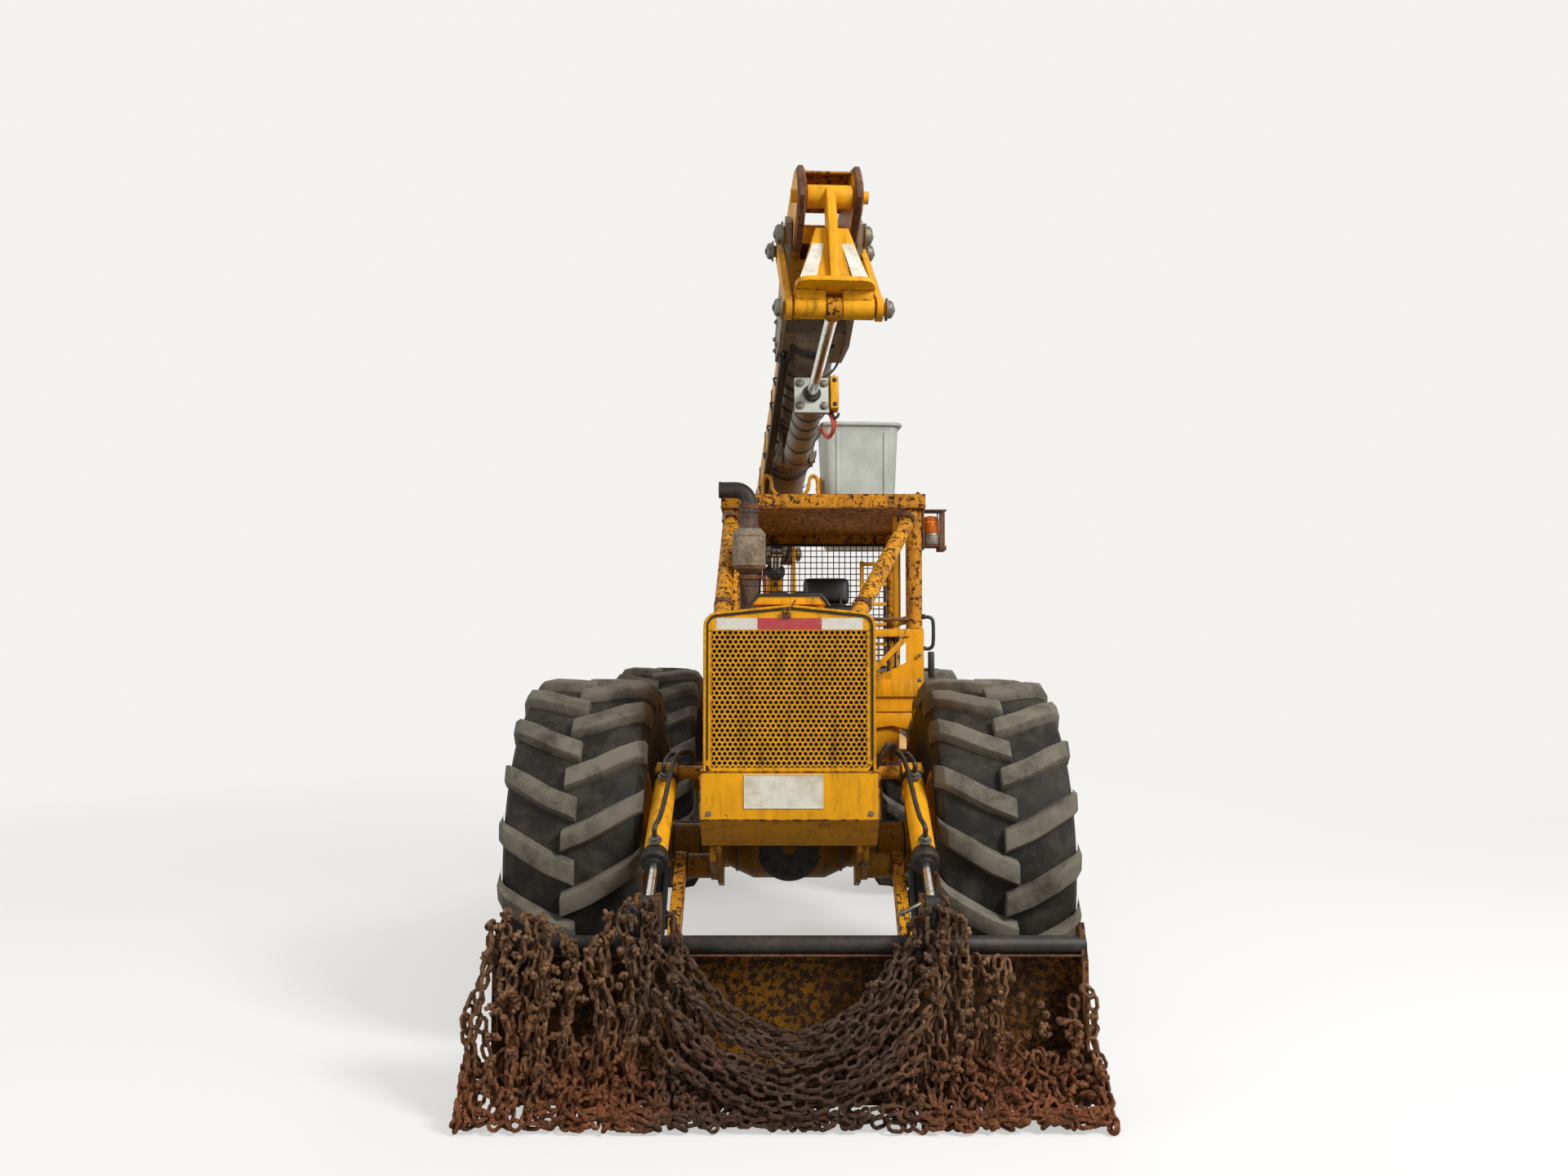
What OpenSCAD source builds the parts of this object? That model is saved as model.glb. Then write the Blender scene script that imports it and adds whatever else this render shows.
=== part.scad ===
// Articulated forest skidder that carries a folding aerial boom with a bucket.
// Millimetres. The nose points to -Y, +X is the operator's left, +Z is up.
// The origin lies on the ground, straight below the articulation pins.

/* [Wheels] */
// Distance between the front and rear axles
wheelbase = 2940; // [2900:1:3000]
// Distance between the middles of a left and a right tyre
track = 1870; // [1860:1:1900]
// Outer diameter of a tyre, over its lugs
tyre_d = 1590; // [1560:1:1610]
// Width of a tyre over its side walls
tyre_w = 600; // [560:1:610]
// Height of a tread lug
lug_h = 38; // [25:1:45]
// Width of a tread lug
lug_w = 70; // [50:1:85]
// Lugs on each half of a tread
lug_count = 18; // [14:1:20]
// Diameter of the rim at the tyre's bead
rim_d = 660; // [640:1:680]
// Diameter of the rotating hub
hub_d = 380; // [360:1:400]
// Diameter of the fixed spindle inside the hub
spindle_d = 140; // [130:1:150]
// Diameter of the wheel bolt circle
bolt_circle_d = 450; // [440:1:470]
// Wheel bolts on each rim
bolt_count = 10; // [8:1:12]

/* [Front frame] */
// Half the distance over the frame's side plates
frame_half_w = 324; // [310:1:330]
// Thickness of the frame's side plates
frame_t = 24; // [18:1:30]
// Height of the frame's lower edge
frame_bottom_z = 640; // [620:1:660]
// Height of the frame's upper edge
frame_top_z = 990; // [980:1:1000]
// Length from the pins to the nearer end of each frame's side plates
frame_gap_y = 330; // [320:1:360]
// Radius of an articulation pin
pin_r = 40; // [35:1:45]
// Thickness of an articulation lug
lug_plate_t = 40; // [35:1:45]
// Space between a lug and its tongue
tongue_gap = 6; // [5:1:8]

/* [Hood] */
// How far the grille's face lies in front of the front axle
nose_reach = 650; // [640:1:660]
// Half the width of the hood
hood_half_w = 370; // [360:1:376]
// Height of the hood's bottom edge
hood_bottom_z = 1212; // [1206:1:1220]
// Height of the hood's flat shoulder
hood_top_z = 1895; // [1880:1:1905]
// Extra height of the hood's ridge
hood_rise = 32; // [20:1:40]
// Radius of the hood's shoulders
hood_corner_r = 60; // [40:1:70]
// Thickness of the hood's sheet
hood_t = 8; // [6:1:10]
// Half the width of the box below the grille
nose_half_w = 386; // [380:1:392]
// Height of the nose box's bottom edge
nose_bottom_z = 1000; // [996:1:1010]
// Diameter of a hole in the grille
grille_hole_d = 30; // [14:1:32]
// Distance between the holes of the grille
grille_pitch = 39; // [36:0.5:60]

/* [Cab] */
// How far the cab's bulkhead lies in front of the pins
cab_front_y = 820; // [815:1:830]
// How far the cab reaches behind the pins
cab_rear_y = 530; // [500:1:540]
// The cab's right side, on the -X side
cab_right_x = -357; // [-360:1:-350]
// The cab's left side, on the +X side
cab_left_x = 736; // [730:1:745]
// Height of the roof's front edge
roof_front_z = 2577; // [2560:1:2580]
// Height of the roof's rear edge
roof_rear_z = 2490; // [2470:1:2495]
// Thickness of the roof over its folded edge
roof_t = 75; // [60:1:80]
// Diameter of the cab's pipes
post_d = 90; // [80:1:96]
// Height of the cab's floor
floor_z = 1180; // [1170:1:1190]
// Height of the top rail of the plate in front of the operator
dash_rail_z = 1843; // [1830:1:1850]

/* [Blade] */
// Half the width of the blade
blade_half_w = 1130; // [1100:1:1140]
// Height of the blade's top edge
blade_top_z = 600; // [590:1:606]
// Radius of the blade's hollow face
blade_face_r = 700; // [650:10:800]
// Thickness of the blade's plate
blade_t = 20; // [16:1:24]
// How far the blade's top edge lies in front of the front axle
blade_reach = 1170; // [1160:1:1180]
// Space between a front tyre and a push arm
arm_gap = 120; // [115:1:130]
// Height of the push arms' rear pins
arm_pin_z = 750; // [740:1:760]
// How far the push arms' rear pins lie in front of the front axle
arm_reach = 330; // [320:1:340]
// Space between a front tyre and a blade cylinder
ram_gap = 34; // [30:1:40]

/* [Boom] */
// Place of the turret's axis across the machine
turret_x = -130; // [-140:1:-120]
// How far the turret's axis lies behind the pins
turret_y = 1730; // [1720:1:1740]
// Height of the boom's heel pin
boom_pivot_z = 2450; // [2440:1:2470]
// Slope of the lower boom as it is stowed, in degrees
boom_slope = 13.2; // [12.8:0.1:13.6]
// Turn of the stowed boom towards the left, in degrees
boom_yaw = 4; // [3:0.5:5]
// Diameter of the lower boom's tube
boom_d = 260; // [250:1:264]
// Length from the boom's heel pin to the elbow pin
boom_len = 4160; // [4140:1:4180]
// Width of the upper boom's box section
upper_w = 170; // [160:1:180]
// Height of the upper boom's box section
upper_h = 190; // [170:1:200]

/* [Bucket] */
// Width of the bucket at its rim
bucket_rim_w = 660; // [640:1:670]
// Width of the bucket's body at the top
bucket_top_w = 600; // [590:1:610]
// Width of the bucket's body at the bottom
bucket_bottom_w = 520; // [500:1:540]
// Height of the bucket's rim
bucket_rim_z = 3530; // [3510:1:3540]
// Depth of the bucket
bucket_depth = 990; // [960:1:1000]
// Thickness of the bucket's wall
bucket_t = 14; // [10:1:18]
// Place of the bucket's middle across the machine
bucket_x = 564; // [560:1:570]
// How far the bucket's middle lies behind the pins
bucket_y = 2380; // [2370:1:2390]

/* [Hidden] */
$fn = 40;

fit = 0.3;
play = 5;
eps = 1;
axle_y = wheelbase / 2;
nose_y = axle_y + nose_reach;
blade_y = axle_y + blade_reach;
arm_pin_y = axle_y + arm_reach;
tyre_inner_x = track / 2 - tyre_w / 2;
arm_w = 50;
arm_x = tyre_inner_x - arm_gap - arm_w / 2;
ram_x = tyre_inner_x - ram_gap - 49;
axle_z = tyre_d / 2;
tyre_r = tyre_d / 2;
paint = "goldenrod";
steel = "silver";
rust = "saddlebrown";

// Maps a drawing of (y, z) to a plate that spans t along +X from x0
module yz_plate(x0, t) {
    translate([x0, 0, 0]) rotate([90, 0, 90]) linear_extrude(height = t) children();
}

// Maps a drawing of (x, z) to a plate that spans t along +Y from y0
module xz_plate(y0, t) {
    translate([0, y0 + t, 0]) rotate([90, 0, 0]) linear_extrude(height = t) children();
}

// Maps a drawing of (forward, up) in a boom's plane to a plate that spans t from w0
module boom_plate(w0, t) {
    translate([w0 + t, 0, 0]) rotate([90, 0, -90]) linear_extrude(height = t) children();
}

// Cylinder along X from x0 to x1
module x_cyl(x0, x1, y, z, r) {
    translate([x0, y, z]) rotate([0, 90, 0]) cylinder(h = x1 - x0, r = r);
}

// Box between two corners
module block(low, high) {
    translate(low) cube(high - low);
}

// Round bar from p to q
module bar(p, q, r) {
    d = q - p;
    translate(p) rotate([0, acos(d[2] / norm(d)), atan2(d[1], d[0])])
        cylinder(h = norm(d), r = r);
}

// Places a child at both sides, mirrored in the machine's middle plane
module both_sides() {
    children();
    mirror([1, 0, 0]) children();
}

// Turns a child about the X axis through a point of the (y, z) plane
module turned(y, z, a) {
    translate([0, y, z]) rotate([a, 0, 0]) children();
}

function arc(cx, cy, r, a0, a1, n) =
    [for (i = [0:n]) [cx + r * cos(a0 + (a1 - a0) * i / n), cy + r * sin(a0 + (a1 - a0) * i / n)]];

// Wheels
crown_r = tyre_r - lug_h;
shoulder_r = crown_r - 45;
bead_r = rim_d / 2;
bead_x = 225;
side_x = tyre_w / 2;

// Revolves a drawing of (along the axle, radius) about the X axis
module revolved() {
    rotate([90, 0, 90]) rotate_extrude($fn = 64) rotate(90) mirror([0, 1]) children();
}

// Half section of the carcass below the lugs
module tyre_section() {
    polygon(concat(
        [[6 - bead_x, bead_r], [-bead_x - 3, bead_r + 26], [-side_x, bead_r + 190],
         [-side_x, shoulder_r - 90], [-side_x + 18, shoulder_r]],
        [for (i = [-2:2]) [i * (side_x - 45) / 2, crown_r - 26 * pow(i / 2, 2)]],
        [[side_x - 18, shoulder_r], [side_x, shoulder_r - 90],
         [side_x, bead_r + 190], [bead_x + 3, bead_r + 26], [bead_x - 6, bead_r]]));
}

// One lug, a slanted bar from the middle of the tread out to its shoulder
lug_run = 150;
module lug_bar() {
    translate([0, 0, shoulder_r - 60]) linear_extrude(height = 200)
        polygon([[-18, 0], [-18, lug_w * 0.6], [side_x, lug_run + lug_w], [side_x + 20, lug_run + lug_w],
                 [side_x + 20, lug_run], [side_x - 60, lug_run - 15], [30, -lug_w * 0.4]]);
}

module tyre_lugs() {
    intersection() {
        revolved() polygon(concat([[-side_x - 6, shoulder_r - 40]],
            [for (i = [-2:2]) [i * (side_x + 6) / 2, tyre_r - 22 * pow(i / 2, 2)]],
            [[side_x + 6, shoulder_r - 40]]));
        union() {
            for (i = [0:lug_count - 1]) rotate([i * 360 / lug_count, 0, 0]) lug_bar();
            for (i = [0:lug_count - 1]) rotate([(i + 0.5) * 360 / lug_count, 0, 0])
                mirror([1, 0, 0]) lug_bar();
        }
    }
}

module tyre(side, y) {
    color("dimgray") translate([side * track / 2, y, axle_z]) {
        revolved() tyre_section();
        tyre_lugs();
    }
}

hub_r = hub_d / 2;
spindle_r = spindle_d / 2;
hub_in = 190;
disc_x = 40;
disc_t = 22;
cap_x = 120;
spindle_in = 70;
bolt_r = 12;

// Rim with its disc, bolted to the hub that turns on the axle's spindle
module rim(side, y) {
    color(paint) translate([side * track / 2, y, axle_z]) mirror([side < 0 ? 1 : 0, 0, 0])
        difference() {
            union() {
                revolved() polygon([[-bead_x - 14, bead_r - 14], [-bead_x - 14, bead_r + 22],
                    [-bead_x - 4, bead_r + 22], [-bead_x + 4, bead_r - fit], [bead_x - 4, bead_r - fit],
                    [bead_x + 4, bead_r + 22], [bead_x + 14, bead_r + 22],
                    [bead_x + 14, bead_r - 14], [bead_x - 40, bead_r - 24], [-bead_x + 40, bead_r - 24]]);
                revolved() polygon([[disc_x, 0], [disc_x, hub_r + 60], [disc_x - 90, bead_r - 20],
                    [disc_x - 64, bead_r - 20], [disc_x + disc_t, hub_r + 50], [disc_x + disc_t, 0]]);
                revolved() polygon([[-hub_in, 0], [-hub_in, hub_r - 30], [-hub_in + 30, hub_r],
                    [disc_x, hub_r], [disc_x, 0]]);
                revolved() polygon([[disc_x, 0], [disc_x, hub_r - 40], [cap_x - 20, hub_r - 50],
                    [cap_x, hub_r - 80], [cap_x, 0]]);
                for (i = [0:bolt_count - 1]) rotate([(i + (side < 0 ? 0.5 : 0)) * 360 / bolt_count, 0, 0])
                    x_cyl(disc_x + disc_t - eps, disc_x + disc_t + 30, bolt_circle_d / 2, 0, bolt_r);
            }
            x_cyl(-hub_in - 5, spindle_in, 0, 0, spindle_r + 0.05);
        }
}

axle_tube_r = 105;
axle_end_x = track / 2 - hub_in - play;
saddle_x = frame_half_w - frame_t;
saddle_z = 920;
spindle_end_x = track / 2 + spindle_in - 20;

// Axle with its bowl, saddle pads and the spindles that carry the wheels
module axle(y) {
    color(paint) translate([0, y, axle_z]) {
        revolved() polygon([[-axle_end_x, 0], [-axle_end_x, 150], [-axle_end_x + 30, 150],
            [-axle_end_x + 60, axle_tube_r], [10 - saddle_x, axle_tube_r], [-170, 160], [170, 160],
            [saddle_x - 10, axle_tube_r], [axle_end_x - 60, axle_tube_r], [axle_end_x - 30, 150],
            [axle_end_x, 150], [axle_end_x, 0]]);
        x_cyl(-spindle_end_x, spindle_end_x, 0, 0, spindle_r);
        both_sides() block([saddle_x - 30, -90, 0], [frame_half_w + 20, 90, saddle_z - axle_z]);
    }
}

module front_axle() { axle(-axle_y); }

module rear_axle() {
    axle(axle_y);
    color("gray") bar([0, axle_y - 150, shaft_z], [0, 60, shaft_z], shaft_r);
}

// Frames
lug_low_z = frame_bottom_z - lug_plate_t;
lug_reach = 110;
front_end_y = axle_y + 515;
rear_plate_t = 24;
rear_end_y = axle_y + 1470 - rear_plate_t;
beam_low_z = 870;
cross_y = 700;
cross_t = 20;

// Side plate of a frame half; dir is -1 for the front half and 1 for the rear half
module frame_side(end_y, dir) {
    yz_plate(saddle_x, frame_t) mirror([dir < 0 ? 1 : 0, 0])
        polygon([[frame_gap_y, frame_bottom_z], [frame_gap_y, frame_top_z], [end_y, frame_top_z],
                 [end_y, frame_bottom_z + 200], [end_y - 160, frame_bottom_z + 40],
                 [axle_y + 230, frame_bottom_z], [axle_y + 190, saddle_z], [axle_y - 190, saddle_z],
                 [axle_y - 230, frame_bottom_z]]);
}

// Outline of an articulation lug, drawn towards +Y
module lug_outline(r, half_w, depth) {
    circle(r = r);
    polygon([[-r, 0], [r, 0], [half_w, depth], [-half_w, depth]]);
}

arm_pin_r = 30;
ram_pin_r = 25;
ram_top_y = axle_y + 400;
ram_top_z = 1180;
ram_eye_y = blade_y - 40;
ram_eye_z = 744;
ram_r = 49;
steer_x = 230;
steer_z = 880;
steer_foot_y = 610;
steer_eye_x = 150;
steer_eye_y = 200;
steer_pin_r = 20;
steer_eye_h = 48;
ear_t = 22;

// Front half of the frame, with the outer lugs and the two pins
module front_frame() {
    color(paint) {
        both_sides() frame_side(front_end_y, -1);
        for (z = [lug_low_z, frame_top_z]) translate([0, 0, z])
            linear_extrude(height = lug_plate_t) mirror([0, 1]) {
                lug_outline(lug_reach, saddle_x, frame_gap_y + 80);
                translate([-frame_half_w, frame_gap_y]) square([2 * frame_half_w, 140]);
            }
        for (z = [lug_low_z - 12, frame_top_z - lug_plate_t - tongue_gap - 6])
            translate([0, 0, z]) cylinder(h = lug_plate_t * 2 + tongue_gap + 24, r = pin_r);
        difference() {
            block([-saddle_x, -cross_y, frame_bottom_z], [saddle_x, -cross_y + cross_t, frame_top_z]);
            translate([0, -cross_y - eps, shaft_z]) rotate([-90, 0, 0])
                cylinder(h = cross_t + 2 * eps, r = shaft_r + 20);
        }
        block([-saddle_x, 250 - axle_y, frame_bottom_z], [saddle_x, -480, frame_bottom_z + 16]);
        block([-saddle_x, -1180, beam_low_z], [saddle_x, -1110, frame_top_z]);
        block([-saddle_x, -front_end_y, beam_low_z], [saddle_x, -front_end_y + 30, frame_top_z]);
        both_sides() {
            for (z = [steer_z - steer_eye_h / 2 - fit - ear_t, steer_z + steer_eye_h / 2 + fit])
                translate([steer_x, -steer_foot_y, z]) {
                    cylinder(h = ear_t, r = 36);
                    translate([-36, steer_foot_y - cross_y, 0]) cube([72, cross_y - steer_foot_y, ear_t]);
                }
            translate([steer_x, -steer_foot_y, steer_z - 55]) cylinder(h = 110, r = steer_pin_r);
            block([frame_half_w - eps, -axle_y - 220, frame_top_z - 10], [hood_half_w, -480, frame_top_z]);
            translate([0, -arm_pin_y, 0]) yz_plate(frame_half_w, 30) polygon([[-175, 800], [-175, 1150],
                [-120, 1250], [-20, 1250], [100, 980], [100, 700], [-20, 690]]);
            x_cyl(frame_half_w, ram_x + ram_r + 7, -ram_top_y, ram_top_z, ram_pin_r);
            x_cyl(frame_half_w + 30, ram_x - ram_r - play, -ram_top_y, ram_top_z, ram_pin_r + 5);
            x_cyl(frame_half_w, arm_x + arm_w / 2 + 20, -arm_pin_y, arm_pin_z, arm_pin_r);
            x_cyl(frame_half_w + 30, arm_x - arm_w / 2 - play, -arm_pin_y, arm_pin_z, arm_pin_r + 25);
        }
    }
}

shaft_z = 770;
seat_gap = 0.3;
shaft_r = 42;
box_top_z = beam_low_z;

// Gearbox and the front half of the driveshaft with its joint
module front_shaft() {
    color("gray") {
        block([-170, -1080, frame_bottom_z + 16], [170, -cross_y, box_top_z]);
        bar([0, 160 + seat_gap - axle_y, shaft_z], [0, -1079, shaft_z], shaft_r);
        bar([0, -cross_y, shaft_z], [0, -70, shaft_z], shaft_r);
        translate([0, -70, shaft_z]) sphere(r = 62);
    }
}

tongue_r = 100;

// Rear half of the frame, with the tongues between the front lugs
module rear_frame() {
    low = frame_bottom_z + tongue_gap;
    high = frame_top_z - lug_plate_t - tongue_gap;
    color(paint) {
        both_sides() frame_side(rear_end_y, 1);
        difference() {
            for (z = [low, high]) translate([0, 0, z]) linear_extrude(height = lug_plate_t)
                lug_outline(tongue_r, 280, frame_gap_y + 50);
            translate([0, 0, low - eps]) cylinder(h = high - low + lug_plate_t + 2, r = pin_r + 0.05);
        }
        both_sides() {
            translate([steer_eye_x, steer_eye_y, low + lug_plate_t - eps])
                cylinder(h = steer_z - steer_eye_h / 2 - fit - low - lug_plate_t + eps, r = steer_pin_r);
            translate([steer_eye_x, steer_eye_y, steer_z + steer_eye_h / 2 + fit])
                cylinder(h = high - steer_z - steer_eye_h / 2 - fit + eps, r = steer_pin_r);
        }
        difference() {
            block([-saddle_x, frame_gap_y + 50, frame_bottom_z], [saddle_x, frame_gap_y + 74, frame_top_z]);
            translate([0, frame_gap_y + 40, shaft_z]) rotate([-90, 0, 0]) cylinder(h = 60, r = shaft_r + 20);
        }
        block([-saddle_x, 1110, beam_low_z], [saddle_x, 1180, frame_top_z]);
        block([-saddle_x, 1900, beam_low_z], [saddle_x, 1980, frame_top_z]);
        difference() {
            block([-plate_half_w, rear_end_y, 700], [plate_half_w, rear_end_y + rear_plate_t, 1150]);
            translate([0, rear_end_y - eps, 900]) rotate([-90, 0, 0]) cylinder(h = 40, r = 45);
            for (x = [-90, 90], z = [810, 990])
                translate([x, rear_end_y - eps, z]) rotate([-90, 0, 0]) cylinder(h = 40, r = 14);
        }
    }
}

// Steering cylinders, drawn along +X from the foot pin
steer_len = norm([steer_eye_x - steer_x, steer_eye_y + steer_foot_y]);
steer_dir = atan2(steer_eye_y + steer_foot_y, steer_eye_x - steer_x);
steer_barrel_len = 550;
steer_rod_r = 22;

module at_steer_foot() {
    translate([steer_x, -steer_foot_y, steer_z]) rotate([0, 0, steer_dir]) children();
}

module steer_barrel() {
    at_steer_foot() color(paint) difference() {
        union() {
            translate([0, 0, -steer_eye_h / 2]) cylinder(h = steer_eye_h, r = 34);
            rotate([0, 90, 0]) cylinder(h = 90, r = 20);
            rotate([0, 90, 0]) translate([0, 0, 70]) cylinder(h = steer_barrel_len - 70, r = 45);
        }
        translate([0, 0, -60]) cylinder(h = 120, r = steer_pin_r + 0.05);
        rotate([0, 90, 0]) translate([0, 0, 110]) cylinder(h = steer_barrel_len, r = steer_rod_r + 0.05);
    }
}

module steer_rod() {
    at_steer_foot() color(steel) {
        rotate([0, 90, 0]) translate([0, 0, 300]) cylinder(h = steer_len - 300, r = steer_rod_r);
        translate([steer_len, 0, -steer_eye_h / 2]) cylinder(h = steer_eye_h, r = 36);
    }
}

// Nose, grille and hood
hood_front_y = nose_y - 12;
sheet_t = 10;
box_back_y = front_end_y + 10;
chin_z = 873;
box_front_y = front_end_y + seat_gap;

module nose_box() {
    color(paint) {
        block([-nose_half_w, -nose_y, nose_bottom_z], [nose_half_w, -nose_y + sheet_t, hood_bottom_z]);
        block([-nose_half_w, -box_back_y, 900], [nose_half_w, -box_front_y, hood_bottom_z]);
        yz_plate(-nose_half_w, 2 * nose_half_w) polygon([[-nose_y, nose_bottom_z],
            [-nose_y + sheet_t, nose_bottom_z], [-box_front_y, chin_z + 12], [-box_front_y, chin_z],
            [-box_front_y - 6, chin_z]]);
        both_sides() yz_plate(nose_half_w - sheet_t, sheet_t) polygon([[-nose_y, hood_bottom_z],
            [-nose_y, nose_bottom_z], [-box_front_y, chin_z + 2], [-box_front_y, hood_bottom_z]]);
        block([-nose_half_w, -nose_y, hood_bottom_z - sheet_t], [nose_half_w, -box_front_y, hood_bottom_z]);
    }
}

// Front outline of the hood in (x, z), made smaller by inset
module hood_outline(inset) {
    w = hood_half_w - inset;
    top = hood_top_z - inset;
    r = hood_corner_r - inset;
    polygon(concat([[w, hood_bottom_z]], arc(w - r, top - r, r, 0, 84, 7), [[0, top + hood_rise]],
                   arc(r - w, top - r, r, 96, 180, 7), [[-w, hood_bottom_z]]));
}

hood_split_z = hood_top_z - hood_corner_r;

grille_edge = 30;
grille_low_z = hood_bottom_z + 44;

// Middles of the holes in one row of the grille
function grille_row(z, shift) =
    [for (x = [-hood_half_w + grille_edge + shift:grille_pitch:hood_half_w - grille_edge]) [x, z]];

// Perforated sheet with a plain border
module grille() {
    step = grille_pitch * sin(60);
    rows = floor((hood_top_z - grille_edge - grille_low_z) / step);
    color(paint) xz_plate(-nose_y, 12) difference() {
        hood_outline(0);
        for (i = [0:rows]) for (p = grille_row(grille_low_z + i * step, (i % 2) * grille_pitch / 2))
            translate(p) circle(d = grille_hole_d, $fn = 13);
    }
}

module hood_top() {
    color(paint) difference() {
        xz_plate(-hood_front_y, hood_front_y - cab_front_y - 0.3) intersection() {
            difference() {
                hood_outline(0);
                hood_outline(hood_t);
            }
            translate([-nose_half_w, hood_split_z + seat_gap]) square([2 * nose_half_w, 200]);
        }
        translate([stack_x, -stack_y, 1800]) cylinder(h = 200, r = stack_r + 8);
    }
}

module hood_sides() {
    color(paint) both_sides() yz_plate(hood_half_w - hood_t, hood_t)
        polygon([[-hood_front_y, hood_bottom_z], [-hood_front_y, hood_split_z],
                 [-cab_front_y, hood_split_z], [-cab_front_y, frame_top_z], [-axle_y - 30, frame_top_z],
                 [-axle_y - 210, hood_bottom_z]]);
}

module hood_solid() {
    xz_plate(-hood_front_y, hood_front_y - cab_front_y) hood_outline(0);
}

engine_top_z = 1640;
module engine() {
    color("dimgray") block([-210, -front_end_y + 10, frame_top_z], [210, -1110, engine_top_z]);
}

stack_x = -200;
stack_y = 1320;
stack_r = 45;
muffler_r = 86;
muffler_low_z = 2098;
muffler_high_z = 2354;
elbow_z = 2466;
elbow_r = 70;
outlet_x = 80;
stack_foot_z = engine_top_z + seat_gap;

module exhaust() {
    color(rust) translate([stack_x, -stack_y, 0]) {
        rotate_extrude() polygon([[0, stack_foot_z], [stack_r, stack_foot_z], [stack_r, muffler_low_z],
            [muffler_r, muffler_low_z + 36], [muffler_r, muffler_high_z - 36],
            [stack_r, muffler_high_z], [stack_r, elbow_z], [0, elbow_z]]);
        translate([-elbow_r, 0, elbow_z]) rotate([90, 0, 0]) rotate_extrude(angle = 90)
            translate([elbow_r, 0]) circle(r = stack_r - 4);
        translate([-elbow_r, 0, elbow_z + elbow_r]) rotate([0, -90, 0])
            cylinder(h = outlet_x, r = stack_r - 4);
    }
}

// Cab
roof_over = 10;
roof_y0 = -850;
roof_y1 = 550;
function roof_z(y) = roof_front_z + (y - roof_y0) / (roof_y1 - roof_y0) * (roof_rear_z - roof_front_z);

// Side section of the roof; drop lowers its top and inset pulls in its ends
module roof_section(drop, inset, low) {
    polygon([[roof_y0 + inset, roof_z(roof_y0 + inset) - drop], [roof_y1 - inset, roof_z(roof_y1 - inset) - drop],
             [roof_y1 - inset, roof_z(roof_y1 - inset) - low], [roof_y0 + inset, roof_z(roof_y0 + inset) - low]]);
}

module cab_roof() {
    color(paint) difference() {
        yz_plate(cab_right_x - roof_over, cab_left_x - cab_right_x + 2 * roof_over)
            roof_section(0, 0, roof_t);
        yz_plate(cab_right_x - roof_over + hood_t, cab_left_x - cab_right_x + 2 * (roof_over - hood_t))
            roof_section(hood_t, hood_t, roof_t + 20);
    }
}

post_r = post_d / 2;
post_right_x = cab_right_x + post_r;
post_left_x = cab_left_x - post_r;
post_front_y = -cab_front_y + 20 + post_r;
post_rear_y = cab_rear_y - post_r;
rail_r = 24;
brace_r = 42;
brace_top_z = 2500;
brace_foot_x = 322;

module cab_posts() {
    color(paint) difference() {
        union() {
            for (x = [post_right_x, post_left_x], y = [post_front_y, post_rear_y])
                bar([x, y, floor_z], [x, y, roof_front_z], post_r);
            bar([post_right_x, post_front_y, brace_top_z], [-brace_foot_x, -axle_y - 170, 1850], brace_r);
            bar([post_left_x, post_front_y, brace_top_z], [brace_foot_x - 22, -axle_y - 170, 1850], brace_r);
            for (z = [1560, 1900]) bar([post_left_x, post_front_y, z], [post_left_x, post_rear_y, z], rail_r);
            bar([post_right_x, post_front_y, 1560], [post_right_x, post_rear_y, 1560], rail_r);
            bar([post_right_x, post_rear_y, 1560], [post_left_x, post_rear_y, 1560], rail_r);
        }
        yz_plate(cab_right_x - 100, 1400) polygon([[-1000, roof_z(-1000) - hood_t - seat_gap],
            [700, roof_z(700) - hood_t - seat_gap],
            [700, 3000], [-1000, 3000]]);
        hood_solid();
        yz_plate(-hood_half_w, 2 * hood_half_w) polygon([[-2100, 1700], [-2100, 1900], [-1000, 1900], [-1000, 1700]]);
        translate([600, -axle_y, axle_z]) rotate([0, 90, 0]) cylinder(h = 200, r = tyre_r + 12);
    }
}

module cab_floor() {
    color(paint) {
        translate([0, 0, floor_z - 12]) linear_extrude(height = 12) polygon([[cab_right_x, -cab_front_y],
            [600, -cab_front_y], [600, -700], [cab_left_x, -660], [cab_left_x, cab_rear_y],
            [cab_right_x, cab_rear_y]]);
        both_sides() block([saddle_x, -800, frame_top_z], [frame_half_w, -480, floor_z - 12]);
        block([cab_right_x, -800, floor_z - 60], [cab_left_x - 140, -740, floor_z - 12]);
        block([cab_right_x, -520, floor_z - 60], [cab_left_x, -460, floor_z - 12]);
    }
}

plate_t = 10;
module cab_front_plate() {
    color(paint) difference() {
        xz_plate(-cab_front_y, plate_t) difference() {
            polygon([[hood_half_w, floor_z], [600, floor_z], [600, 1300], [cab_left_x, 1360],
                     [cab_left_x, dash_rail_z], [cab_right_x, dash_rail_z], [cab_right_x, floor_z]]);
            polygon([[430, dash_rail_z - 20], [640, dash_rail_z - 20], [640, 1660], [430, 1560]]);
            translate([-hood_half_w + hood_t, floor_z - eps]) square([2 * (hood_half_w - hood_t), 440]);
        }
    }
}

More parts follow.
